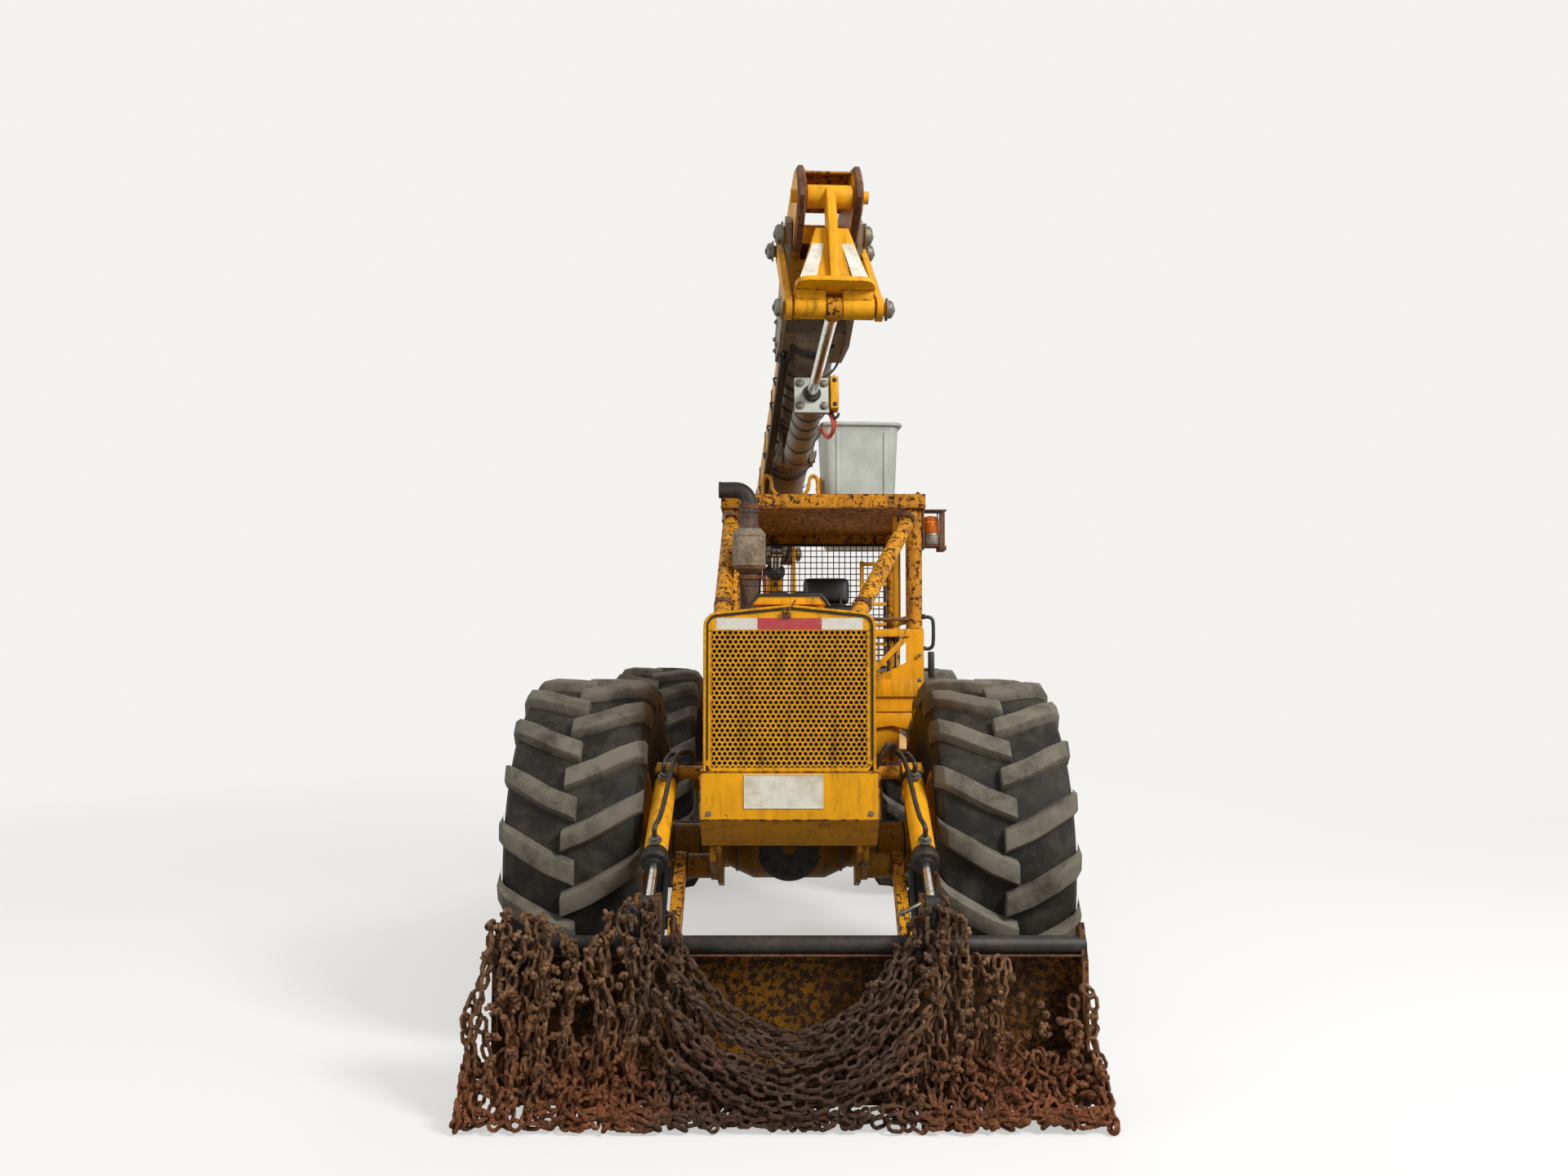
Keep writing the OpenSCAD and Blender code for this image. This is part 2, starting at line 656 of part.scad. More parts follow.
mesh_pitch = 76;
mesh_r = 5;
module cab_rear_screen() {
    y = post_rear_y;
    low_x = post_right_x + post_r + seat_gap;
    high_x = post_left_x - post_r - seat_gap;
    color("dimgray") {
        difference() {
            block([low_x, y - 12, 1600], [high_x, y + 12, 2420]);
            block([low_x + 20, y - 20, 1620], [high_x - 20, y + 20, 2400]);
        }
        for (z = [1620 + mesh_pitch:mesh_pitch:2390]) bar([low_x + 10, y, z], [high_x - 10, y, z], mesh_r);
        for (x = [low_x + mesh_pitch:mesh_pitch:high_x - 30]) bar([x, y, 1610], [x, y, 2410], mesh_r);
    }
}

seat_x = 250;
module seat() {
    color("black") {
        block([seat_x - 150, -60, floor_z], [seat_x + 150, 260, 1500]);
        block([seat_x - 230, -120, 1500], [seat_x + 230, 300, 1610]);
        yz_plate(seat_x - 220, 440) polygon([[190, 1610], [300, 1610], [380, 2010], [300, 2020]]);
        yz_plate(seat_x - 150, 300) polygon([[304, 2020], [378, 2010], [400, 2200], [340, 2210]]);
    }
}

module dash() {
    color("black") {
        block([-200, -cab_front_y + plate_t, floor_z], [180, -600, 1700]);
        yz_plate(-210, 400) polygon([[-810, 1700], [-810, 1990], [-700, 2010], [-560, 1760], [-560, 1700]]);
        bar([20, -600, 1800], [20, -440, 1870], 22);
        translate([20, -440, 1870]) rotate([-24, 0, 0]) rotate_extrude() translate([190, 0]) circle(r = 16);
        for (a = [0, 120, 240]) translate([20, -440, 1870]) rotate([-24, 0, 0]) rotate([0, 0, a])
            bar([0, 0, 0], [190, 0, 0], 10);
    }
}

// Two treads below the cab's open left side: each has its inner edge, its reach and its height
step_treads = [[36, 104, 800], [116, 64, 1020]];
step_y0 = -450;
step_y1 = 150;
module cab_step() {
    color("dimgray") {
        for (s = step_treads) block([cab_left_x - s[0], step_y0, s[2]], [cab_left_x + s[1], step_y1, s[2] + 22]);
        for (y = [step_y0 + 18, step_y1 - 42])
            block([cab_left_x - 30, y, step_treads[0][2] + 1], [cab_left_x - 6, y + 24, floor_z - 12 - seat_gap]);
    }
}

cradle_y = -320;
cradle_x = 13;
cradle_gap = 24;
cradle_top_z = 2750;

module boom_cradle() {
    w = boom_d / 2 + cradle_gap;
    base = roof_z(cradle_y - 30);
    color(paint) difference() {
        union() {
            block([cradle_x - 190, cradle_y - 30, base - 20], [cradle_x + 280, cradle_y + 30, base + 30]);
            for (y = [-22, 22], s = [-1, 1])
                bar([cradle_x + s * w, cradle_y + y, base], [cradle_x + s * w, cradle_y + y, cradle_top_z], 18);
            for (y = [-22, 22]) bar([cradle_x - w, cradle_y + y, cradle_top_z - 90],
                [cradle_x + w, cradle_y + y, cradle_top_z - 90], 18);
        }
        yz_plate(cab_right_x, 1200) roof_section(0, 0, 100);
    }
}

beacon_x = 790;
module beacon() {
    y = -700;
    color("orange") {
        block([cab_left_x + roof_over, y - 40, 2440], [cab_left_x + roof_over + 12, y + 40, 2520]);
        block([cab_left_x + roof_over, y - 70, 2300], [beacon_x + 70, y + 70, 2308]);
        block([cab_left_x + roof_over, y - 40, 2300], [cab_left_x + roof_over + 12, y + 40, 2500]);
        block([cab_left_x + roof_over, y - 60, 2492], [beacon_x + 80, y + 60, 2500]);
        translate([beacon_x, y, 2308]) cylinder(h = 60, r = 62);
        translate([beacon_x, y, 2368]) cylinder(h = 80, r1 = 58, r2 = 46);
    }
}

module hand_loop() {
    y = post_front_y;
    color("black") {
        for (z = [1740, 1910]) bar([cab_left_x + seat_gap, y, z], [790, y, z], 10);
        bar([790, y, 1732], [790, y, 1918], 10);
        block([770, y - 12, 1560], [800, y + 12, 1732]);
    }
}

// Blade with its arms and cylinders
face_z = (blade_top_z + 12) / 2;
face_depth = sqrt(pow(blade_face_r, 2) - pow(blade_top_z - face_z, 2));
face_y = -blade_y - face_depth;
blade_back_y = face_y + blade_face_r + blade_t;

// Side section of the hollow plate
module blade_section() {
    intersection() {
        translate([face_y, face_z]) difference() {
            circle(r = blade_face_r + blade_t, $fn = 120);
            circle(r = blade_face_r, $fn = 120);
        }
        translate([-blade_y - 40, 12]) square([400, blade_top_z - 12]);
    }
}

pipe_r = 33;
ear_gap = 58;
module blade() {
    color(paint) {
        yz_plate(-blade_half_w, 2 * blade_half_w) blade_section();
        x_cyl(-blade_half_w, blade_half_w, -blade_y - 10, blade_top_z + 8, pipe_r);
        yz_plate(-blade_half_w, 2 * blade_half_w)
            polygon([[-blade_y - 22, 8], [-blade_y - 22, 150], [-blade_y + 5, 150], [-blade_y + 20, 8]]);
        both_sides() {
            yz_plate(blade_half_w - 18, 18) polygon([[-blade_y - 70, 20], [-blade_y - 60, 560],
                [-blade_y, 690], [-blade_y + 60, 660], [blade_back_y, 500], [blade_back_y, 60]]);
            for (s = [-1, 1]) yz_plate(ram_x + (s < 0 ? -ear_gap / 2 - ear_t : ear_gap / 2), ear_t)
                polygon([[-blade_y, blade_top_z - 60], [-blade_y, 700], [-ram_eye_y - 20, 790],
                         [-ram_eye_y + 24, 790], [-ram_eye_y + 45, 740], [blade_back_y + 10, 440],
                         [blade_back_y - 20, 430]]);
        }
    }
}

module blade_arms() {
    color(paint) both_sides() difference() {
        union() {
            yz_plate(arm_x - arm_w / 2, arm_w) polygon([[blade_back_y, 170], [blade_back_y + 2, 420],
                [-2300, 500], [-1860, 790], [-1860, 700], [-2300, 330]]);
            x_cyl(arm_x - arm_w / 2, arm_x + arm_w / 2, -arm_pin_y, arm_pin_z, arm_pin_r + 35);
        }
        x_cyl(arm_x - arm_w, arm_x + arm_w, -arm_pin_y, arm_pin_z, arm_pin_r + 0.05);
        translate([0, face_y, face_z]) rotate([0, 90, 0])
            cylinder(h = 1200, r = blade_face_r + blade_t, $fn = 120);
    }
}

// Cylinders of the blade, drawn along +X from the top pin
ram_len = norm([ram_eye_y - ram_top_y, ram_top_z - ram_eye_z]);
ram_dir = atan2(ram_top_z - ram_eye_z, ram_eye_y - ram_top_y);
ram_barrel_len = 590;
ram_rod_r = 19;
ram_eye_w = ear_gap - 2 * fit;

// Places a child drawn along -Y from the top pin of a blade cylinder
module at_ram_top() {
    translate([ram_x, -ram_top_y, ram_top_z]) rotate([ram_dir, 0, 0]) children();
}

module blade_ram_barrels() {
    color(paint) both_sides() at_ram_top() difference() {
        union() {
            x_cyl(4 - ram_r, ram_r - 4, 0, 0, 45);
            translate([0, -36, 0]) rotate([90, 0, 0]) cylinder(h = ram_barrel_len - 36, r = ram_r);
        }
        x_cyl(-ram_r - 5, ram_r + 5, 0, 0, ram_pin_r + 0.05);
        translate([0, -100, 0]) rotate([90, 0, 0]) cylinder(h = ram_barrel_len, r = ram_rod_r + 0.05);
    }
}

module blade_ram_rods() {
    color(steel) both_sides() at_ram_top() {
        translate([0, -380, 0]) rotate([90, 0, 0]) cylinder(h = ram_len - 380, r = ram_rod_r);
        x_cyl(-ram_eye_w / 2, ram_eye_w / 2, -ram_len, 0, 38);
    }
}

module tyre_chains() {
    back = blade_y + 10 + pipe_r + seat_gap;
    color(rust) difference() {
        yz_plate(-blade_half_w + 20, 2 * blade_half_w - 40) polygon([[-blade_y - 300, 4],
            [-blade_y - 280, 60], [-blade_y - 160, 260], [-blade_y - 80, 560], [-blade_y - 60, 640],
            [-back, 640], [-back, 4]]);
        translate([0, -blade_y - 360, 620]) rotate([-90, 0, 0]) cylinder(h = 400, r = 380);
    }
}

// Rear deck, pedestal, tank and tool box
deck_z = 1250;
deck_t = 12;
deck_y0 = 960;
deck_half_w = tyre_inner_x - 45;
plate_half_w = tyre_inner_x - 75;
module rear_deck() {
    color(paint) {
        block([-deck_half_w, deck_y0, deck_z - deck_t], [deck_half_w, rear_end_y, deck_z]);
        both_sides() {
            block([saddle_x, deck_y0, frame_top_z], [frame_half_w, 1180, deck_z - deck_t]);
            block([saddle_x, 1900, frame_top_z], [frame_half_w, rear_end_y, deck_z - deck_t]);
        }
        block([-plate_half_w, rear_end_y, 1150], [plate_half_w, rear_end_y + rear_plate_t, deck_z + 60]);
    }
}

column_half_w = 220;
column_top_z = 1700;
ring_r = 290;
spigot_r = 150;
module pedestal() {
    color(paint) translate([turret_x, turret_y, 0]) {
        block([-300, -300, deck_z], [300, 300, deck_z + 24]);
        block([-column_half_w, -column_half_w, deck_z + 24], [column_half_w, column_half_w, column_top_z]);
        translate([0, 0, column_top_z]) cylinder(h = 30, r = ring_r);
        translate([0, 0, column_top_z]) cylinder(h = 70, r = spigot_r);
        for (a = [0:90:270]) rotate([0, 0, a]) translate([0, 0, 0])
            yz_plate(-10, 20) polygon([[column_half_w, deck_z + 24], [295, deck_z + 24], [column_half_w, 1600]]);
    }
}

module oil_tank() {
    color(paint) block([230, 1080, deck_z], [deck_half_w - 10, 1500, deck_z + 210]);
}

module tool_box() {
    color(paint) block([5 - deck_half_w, 2100, deck_z], [-200, rear_end_y - 66, deck_z + 260]);
}

// Turret: everything from here is drawn in the boom's own frame
cheek_in = 165;
cheek_t = 24;
heel_pin_r = 45;
lift_foot_f = 220;
lift_foot_z = 1850;
lift_pin_r = 30;

module at_turret() {
    translate([turret_x, turret_y, 0]) rotate([0, 0, boom_yaw]) children();
}

module turret() {
    color(paint) at_turret() {
        difference() {
            translate([0, 0, column_top_z + 30 + fit]) cylinder(h = 50, r = ring_r - 5);
            translate([0, 0, column_top_z]) cylinder(h = 70 + fit, r = spigot_r + 0.05);
        }
        for (s = [-1, 1]) boom_plate(s < 0 ? -cheek_in - cheek_t : cheek_in, cheek_t)
            polygon([[-190, column_top_z + 80 + fit], [230, column_top_z + 80 + fit], [290, 1850], [270, 1920],
                     [90, 2330], [90, 2500], [50, 2540], [-60, 2540], [-110, 2490], [-190, 2100]]);
        x_cyl(-cheek_in - 40, cheek_in + 40, 0, boom_pivot_z, heel_pin_r);
        x_cyl(-cheek_in - 30, cheek_in + 30, -lift_foot_f, lift_foot_z, lift_pin_r);
        block([-cheek_in, 150, column_top_z + 80 + fit], [cheek_in, 174, 2150]);
    }
}

// Frame of the stowed lower boom: +X across, -Y along the boom, +Z above it
module at_boom() {
    at_turret() translate([0, 0, boom_pivot_z]) rotate([-boom_slope, 0, 0]) children();
}

boom_r = boom_d / 2;
boom_wall = 12;
tube_end = 3660;
heel_w = 2 * cheek_in - 10;
lift_eye_u = 720;
lift_eye_v = -210;
elbow_u = boom_len - 60;
elbow_v = 140;
idler_u = 3950;
idler_v = 150;
push_u = 4350;
push_v = 160;
rod_u = 4380;
rod_v = -370;
elbow_foot_u = 2450;
elbow_foot_v = -215;
elbow_barrel_r = 70;
elbow_foot_x = elbow_barrel_r + play;
elbow_pin_r = 35;
fork_in = 142;
fork_t = 22;
idler_in = 168;
idler_t = 26;
idler_pin_r = 25;
elbow_eye_w = 60;

module lower_boom() {
    color("tan") at_boom() {
        difference() {
            union() {
                translate([0, -120, 0]) rotate([90, 0, 0]) cylinder(h = tube_end - 120, r = boom_r);
                x_cyl(-heel_w / 2, heel_w / 2, 0, 0, 85);
                for (s = [-1, 1]) boom_plate(s * 130 - 12, 24) polygon([[-60, -60], [-60, 60], [0, 85],
                    [600, 60], [600, -60], [0, -85]]);
                for (s = [-1, 1]) boom_plate(s < 0 ? -fork_in - fork_t : fork_in, fork_t)
                    polygon([[3300, -60], [3300, 60], [3600, 130], [3850, 215], [4100, 230], [4190, 140],
                             [4100, 50], [3850, -90], [3600, -130]]);
                translate([-fork_in, -tube_end, -90]) cube([2 * fork_in, 300, 180]);
                x_cyl(-idler_in - idler_t - 14, -fork_in, -idler_u, idler_v, idler_pin_r);
                x_cyl(fork_in, idler_in + idler_t + 14, -idler_u, idler_v, idler_pin_r);
            }
            translate([0, -119, 0]) rotate([90, 0, 0]) cylinder(h = tube_end - 160, r = boom_r - boom_wall);
            x_cyl(-heel_w, heel_w, 0, 0, heel_pin_r + 0.05);
            x_cyl(-200, 200, -elbow_u, elbow_v, elbow_pin_r + 0.05);
        }
        for (s = [-1, 1]) {
            boom_plate(s * 52 - 11, ear_t) polygon([[lift_eye_u - 160, -100], [lift_eye_u - 40, lift_eye_v - 40],
                [lift_eye_u + 40, lift_eye_v - 40], [lift_eye_u + 200, -100]]);
            boom_plate(s * (elbow_foot_x + ear_t / 2) - ear_t / 2, ear_t) polygon([[elbow_foot_u - 120, -72],
                [elbow_foot_u - 40, elbow_foot_v - 40], [elbow_foot_u + 40, elbow_foot_v - 40],
                [elbow_foot_u + 120, -72]]);
        }
        x_cyl(-elbow_foot_x - ear_t - 12, elbow_foot_x + ear_t + 12, -elbow_foot_u, elbow_foot_v, 28);
        difference() {
            boom_plate(-20, 40) polygon([[560, 100], [560, 360], [640, 360], [640, 100]]);
            translate([0, -120, 0]) rotate([90, 0, 0]) cylinder(h = 1000, r = boom_r - 2);
        }
    }
}

// Lift cylinder, drawn along -Y from its foot in the turret's frame
eye_f = lift_eye_u * cos(boom_slope) - lift_eye_v * sin(boom_slope);
eye_z = boom_pivot_z + lift_eye_u * sin(boom_slope) + lift_eye_v * cos(boom_slope);
lift_len = norm([eye_f - lift_foot_f, eye_z - lift_foot_z]);
lift_dir = atan2(eye_z - lift_foot_z, eye_f - lift_foot_f);
lift_barrel_len = 590;
lift_rod_r = 32;

module at_lift_foot() {
    at_turret() translate([0, -lift_foot_f, lift_foot_z]) rotate([-lift_dir, 0, 0]) children();
}

module lift_barrel() {
    color(paint) at_lift_foot() difference() {
        union() {
            x_cyl(-60, 60, 0, 0, 50);
            translate([0, -40, 0]) rotate([90, 0, 0]) cylinder(h = lift_barrel_len - 40, r = 62);
        }
        x_cyl(-70, 70, 0, 0, lift_pin_r + 0.05);
        translate([0, -70, 0]) rotate([90, 0, 0]) cylinder(h = lift_barrel_len, r = lift_rod_r + 0.05);
    }
}

module lift_rod() {
    color(steel) at_lift_foot() {
        translate([0, -80, 0]) rotate([90, 0, 0]) cylinder(h = lift_len - 80, r = lift_rod_r);
        x_cyl(-41 + fit, 41 - fit, -lift_len, 0, 46);
    }
}

// Cylinder and links of the elbow
ram_slope = atan2(rod_v - elbow_foot_v, rod_u - elbow_foot_u);
elbow_len = norm([rod_v - elbow_foot_v, rod_u - elbow_foot_u]);
gland_at = 990;
elbow_rod_r = 25;
// The rod is out when the boom is stowed, so its inner end lies just inside the gland
elbow_rod_tail = 955;

module at_elbow_foot() {
    at_boom() translate([0, -elbow_foot_u, elbow_foot_v]) rotate([-ram_slope, 0, 0]) children();
}

module elbow_barrel() {
    color(rust) at_elbow_foot() difference() {
        union() {
            x_cyl(4 - elbow_barrel_r, elbow_barrel_r - 4, 0, 0, 50);
            translate([0, -36, 0]) rotate([90, 0, 0]) cylinder(h = gland_at - 36, r = elbow_barrel_r);
            translate([-82, -gland_at, -92]) cube([164, 26, 172]);
        }
        x_cyl(-elbow_foot_x, elbow_foot_x, 0, 0, 28.05);
        translate([0, -90, 0]) rotate([90, 0, 0]) cylinder(h = gland_at, r = elbow_rod_r + 0.05);
    }
}

module elbow_rod() {
    color(steel) at_elbow_foot() {
        translate([0, -elbow_rod_tail, 0]) rotate([90, 0, 0]) cylinder(h = elbow_len - elbow_rod_tail, r = elbow_rod_r);
        x_cyl(-elbow_eye_w / 2, elbow_eye_w / 2, -elbow_len, 0, 42);
    }
}

// Dog-bone links at both sides of the elbow, with the stub pins of their lower ends
module idler_links() {
    color(paint) at_boom() both_sides() {
        difference() {
            union() {
                x_cyl(idler_in, idler_in + idler_t, -idler_u, idler_v, 52);
                x_cyl(idler_in, idler_in + idler_t, -rod_u, rod_v, 48);
                boom_plate(idler_in, idler_t) polygon([[idler_u - 34, idler_v - 28],
                    [idler_u + 34, idler_v + 28], [rod_u + 30, rod_v + 24], [rod_u - 30, rod_v - 24]]);
            }
            x_cyl(idler_in - 10, idler_in + idler_t + 10, -idler_u, idler_v, idler_pin_r + 0.05);
        }
        x_cyl(elbow_eye_w / 2 + 3, idler_in + idler_t + 14, -rod_u, rod_v, idler_pin_r);
    }
}

link_w = 158;
module push_link() {
    gap = elbow_eye_w / 2 + 3;
    color(paint) at_boom() difference() {
        union() {
            both_sides() {
                x_cyl(gap, link_w, -rod_u, rod_v, 40);
                boom_plate(60, 14) polygon([[rod_u - 40, rod_v + 20], [rod_u + 60, rod_v + 60],
                    [rod_u + 10, rod_v + 330], [rod_u - 20, rod_v + 330]]);
                translate([gap, -rod_u - 38, rod_v + 20]) cube([link_w - gap, 76, 34]);
            }
            x_cyl(-94, 94, -push_u, push_v, 44);
            boom_plate(-16, 32) polygon([[push_u - 30, push_v - 20], [push_u + 40, push_v],
                [rod_u + 70, rod_v + 70], [rod_u - 40, rod_v + 70]]);
            translate([0, -rod_u, rod_v + 52]) linear_extrude(height = 20) polygon([[-link_w, 40],
                [-link_w, -60], [-90, -120], [90, -120], [link_w, -60], [link_w, 40]]);
        }
        x_cyl(-link_w - 10, link_w + 10, -rod_u, rod_v, idler_pin_r + 0.05);
        x_cyl(-100, 100, -push_u, push_v, 26);
        // Slot in which the rod's eye moves as the elbow unfolds
        boom_plate(-gap - play, 2 * (gap + play)) polygon([[rod_u + 40, rod_v + 40], [rod_u + 38, rod_v + 60],
            [rod_u + 30, rod_v + 78], [rod_u + 22, rod_v + 96], [rod_u + 12, rod_v + 116], [rod_u, rod_v + 136],
            [rod_u - 16, rod_v + 152], [rod_u - 36, rod_v + 166], [rod_u - 60, rod_v + 176],
            [rod_u - 160, rod_v + 176], [rod_u - 160, rod_v + 40]]);
    }
}

tip_u = -492;
tip_v = 526;
beam_u = 3700;
beam_v = 300;
beam_slope = atan2(tip_v - beam_v, beam_u - tip_u);
beam_len = norm([tip_v - beam_v, beam_u - tip_u]);
head_in = 98;
beam_wall = 10;
head_t = 38;
tip_shaft_r = 30;

module upper_boom() {
    color(paint) at_boom() difference() {
        union() {
            for (s = [-1, 1]) boom_plate(s < 0 ? -head_in - head_t : head_in, head_t)
                polygon([[3400, 235], [3400, 400], [3900, 395], [4250, 345], [4350, 290], [4402, 190],
                         [4400, 130], [4350, 100], [4200, 75], [4100, 70], [4020, 120], [3960, 210]]);
            translate([0, -beam_u, beam_v]) rotate([beam_slope, 0, 0]) {
                translate([-upper_w / 2, 0, -upper_h / 2]) cube([upper_w, beam_len, upper_h]);
                translate([-head_in - 4, -100, 5 - upper_h / 2]) cube([2 * head_in + 8, 400, upper_h - 10]);
            }
            x_cyl(-70, 70, -tip_u, tip_v, 90);
            x_cyl(-fork_in - fork_t - 12, fork_in + fork_t + 12, -elbow_u, elbow_v, elbow_pin_r);
            x_cyl(-head_in - head_t, -head_in, -elbow_u, elbow_v, 56);
            x_cyl(head_in, head_in + head_t, -elbow_u, elbow_v, 56);
            both_sides() x_cyl(head_in, head_in + head_t + 24, -push_u, push_v, 26);
        }
        x_cyl(-120, 120, -tip_u, tip_v, tip_shaft_r + 0.05);
        translate([0, -beam_u, beam_v]) rotate([beam_slope, 0, 0])
            translate([beam_wall - upper_w / 2, -101, beam_wall - upper_h / 2])
                cube([upper_w - 2 * beam_wall, beam_len - 30, upper_h - 2 * beam_wall]);
    }
}

// The tip of the stowed upper boom, level, with +X across the boom
module at_tip() {
    at_boom() translate([0, -tip_u, tip_v]) rotate([boom_slope, 0, 0]) children();
}

bucket_w = 750;
frame_w = bucket_w - bucket_top_w / 2 - 60;
module level_sheave() {
    color("gray") at_tip() {
        x_cyl(-110, frame_w + 46, 0, 0, tip_shaft_r);
        x_cyl(95, 125, 0, 0, 120);
        x_cyl(-125, -95, 0, 0, 50);
    }
}

module bucket_frame() {
    inner = bucket_w - bucket_top_w / 2 - 4;
    color(paint) at_tip() difference() {
        union() {
            x_cyl(frame_w - 40, frame_w + 50, 0, 0, 60);
            block([inner - 16, -130, -230], [inner, 130, 260]);
        }
        x_cyl(0, frame_w + 46 + fit, 0, 0, tip_shaft_r + 0.05);
    }
}

// Rounded block of the bucket between two heights; grow widens it
module bucket_form(grow, low, high) {
    c = 70;
    hull() {
        for (sx = [-1, 1], sy = [-1, 1]) {
            translate([sx * (bucket_bottom_w / 2 - c + grow), sy * (bucket_bottom_w / 2 - c + grow), low])
                cylinder(h = 1, r = c, $fn = 20);
            translate([sx * (bucket_top_w / 2 - c + grow), sy * (bucket_top_w / 2 - c + grow), high - 1])
                cylinder(h = 1, r = c, $fn = 20);
        }
    }
}

module bucket() {
    top = bucket_rim_z - 2850;
    low = top - bucket_depth;
    color("gainsboro") at_tip() translate([bucket_w, 0, 0]) difference() {
        union() {
            bucket_form(0, low, top - 2);
            translate([-bucket_rim_w / 2, -bucket_rim_w / 2, top - 28]) cube([bucket_rim_w, bucket_rim_w, 28]);
            block([-120, -bucket_top_w / 2 - 40, -60], [120, -bucket_top_w / 2 + 60, 40]);
            block([-bucket_top_w / 2 - 3.7, -110, -210], [60 - bucket_top_w / 2, 110, 240]);
        }
        bucket_form(-bucket_t, low + bucket_t, top + 40);
    }
}

front_frame();
front_axle();
engine();
nose_box();
grille();
hood_sides();
hood_top();
exhaust();
cab_floor();
cab_posts();
cab_roof();
cab_front_plate();
cab_rear_screen();
seat();
dash();
cab_step();
boom_cradle();
beacon();
hand_loop();
front_shaft();
tyre(1, -axle_y);  // tyre_front_left
tyre(-1, -axle_y);  // tyre_front_right
tyre(1, axle_y);  // tyre_rear_left
tyre(-1, axle_y);  // tyre_rear_right
rim(1, -axle_y);  // rim_front_left
rim(-1, -axle_y);  // rim_front_right
rim(1, axle_y);  // rim_rear_left
rim(-1, axle_y);  // rim_rear_right
blade();
blade_arms();
tyre_chains();
blade_ram_barrels();
blade_ram_rods();
rear_frame();
rear_axle();
rear_deck();
pedestal();
oil_tank();
tool_box();
steer_barrel();  // steer_barrel_left
mirror([1, 0, 0]) steer_barrel();  // steer_barrel_right
steer_rod();  // steer_rod_left
mirror([1, 0, 0]) steer_rod();  // steer_rod_right
turret();
lower_boom();
lift_barrel();
lift_rod();
elbow_barrel();
elbow_rod();
idler_links();
push_link();
upper_boom();
level_sheave();
bucket_frame();
bucket();
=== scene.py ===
"""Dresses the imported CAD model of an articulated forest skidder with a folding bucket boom."""
import math
import random
from functools import partial

import bpy
import numpy as np
from bpy.props import FloatProperty, FloatVectorProperty, IntProperty, PointerProperty
from mathutils import Matrix, Vector


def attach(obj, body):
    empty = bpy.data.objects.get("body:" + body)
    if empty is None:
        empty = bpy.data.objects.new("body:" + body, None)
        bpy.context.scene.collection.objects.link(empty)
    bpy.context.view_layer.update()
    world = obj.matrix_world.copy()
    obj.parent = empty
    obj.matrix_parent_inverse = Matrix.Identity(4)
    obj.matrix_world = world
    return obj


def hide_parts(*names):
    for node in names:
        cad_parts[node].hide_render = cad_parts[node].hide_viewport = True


bl_info = {
    "name": "Forest Skidder Dresser",
    "version": (1, 0, 0),
    "blender": (4, 5, 0),
    "location": "3D View > Sidebar > Skidder",
    "description": "Builds the looks of an old articulated skidder with a bucket boom around its CAD frame",
    "category": "Object",
}

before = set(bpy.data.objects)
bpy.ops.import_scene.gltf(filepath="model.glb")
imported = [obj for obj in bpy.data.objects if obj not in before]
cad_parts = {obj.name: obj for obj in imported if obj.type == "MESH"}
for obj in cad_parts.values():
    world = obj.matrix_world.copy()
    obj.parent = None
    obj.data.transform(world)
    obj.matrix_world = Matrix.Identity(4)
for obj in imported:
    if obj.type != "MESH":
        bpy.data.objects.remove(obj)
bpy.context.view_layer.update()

# Sizes that several pieces share, in metres
AXLE_Y = 1.47
AXLE_Z = 0.795
TRACK_X = 0.935
TURRET = Vector((-0.13, 1.73, 2.45))
BOOM_SLOPE = math.radians(13.2)
BOOM_YAW = math.radians(4.0)
HOSE = 0.0105
SIDES = (1, -1)
AXIS_X, AXIS_Y, AXIS_Z = (1, 0, 0), (0, 1, 0), (0, 0, 1)


# Sizes and colours that a user may change
def linear(code):
    """Linear RGBA of an sRGB hex colour; a colour that is linear already passes through."""
    if not isinstance(code, str):
        return tuple(code)
    parts = [int(code[i:i + 2], 16) / 255 for i in (1, 3, 5)]
    return tuple(c / 12.92 if c <= 0.04045 else ((c + 0.055) / 1.055) ** 2.4 for c in parts) + (1.0,)


def colour(name, description, code):
    return FloatVectorProperty(name=name, description=description, subtype="COLOR", size=4, min=0.0, max=1.0,
                               default=linear(code))


def length(name, description, metres):
    return FloatProperty(name=name, description=description, subtype="DISTANCE", unit="LENGTH", min=0.0005,
                         default=metres)


def power(name, description, watts):
    return FloatProperty(name=name, description=description, default=watts, min=0.0, unit="POWER")


class SkidderFinishes(bpy.types.PropertyGroup):
    """Colours of the machine's finishes."""
    enamel: colour("Enamel", "Sound golden yellow machine enamel", "#e9a30c")
    enamel_faded: colour("Faded enamel", "The same enamel where the sun has dulled it", "#d08f12")
    grime: colour("Grime", "Oil and mud that has run down the sheet", "#2a2013")
    rubber: colour("Tyre rubber", "Carbon black tyre compound between the lugs", "#211f1b")
    dust: colour("Dust", "Dry mud dust on the faces of the lugs", "#6f695d")
    chain: colour("Chain", "Dry tan scale on the tyre chains", "#8a674a")
    chain_rust: colour("Chain rust", "Fresh orange rust low in the heap", "#8b451f")
    # The chain heap is laid darker grey-brown towards its middle.
    chain_dark: colour("Chain dark", "Darker grey-brown links in the middle of the heap", "#4b3e35")
    gel_coat: colour("Gel coat", "Pale grey gel coat of the bucket", "#b9beb5")


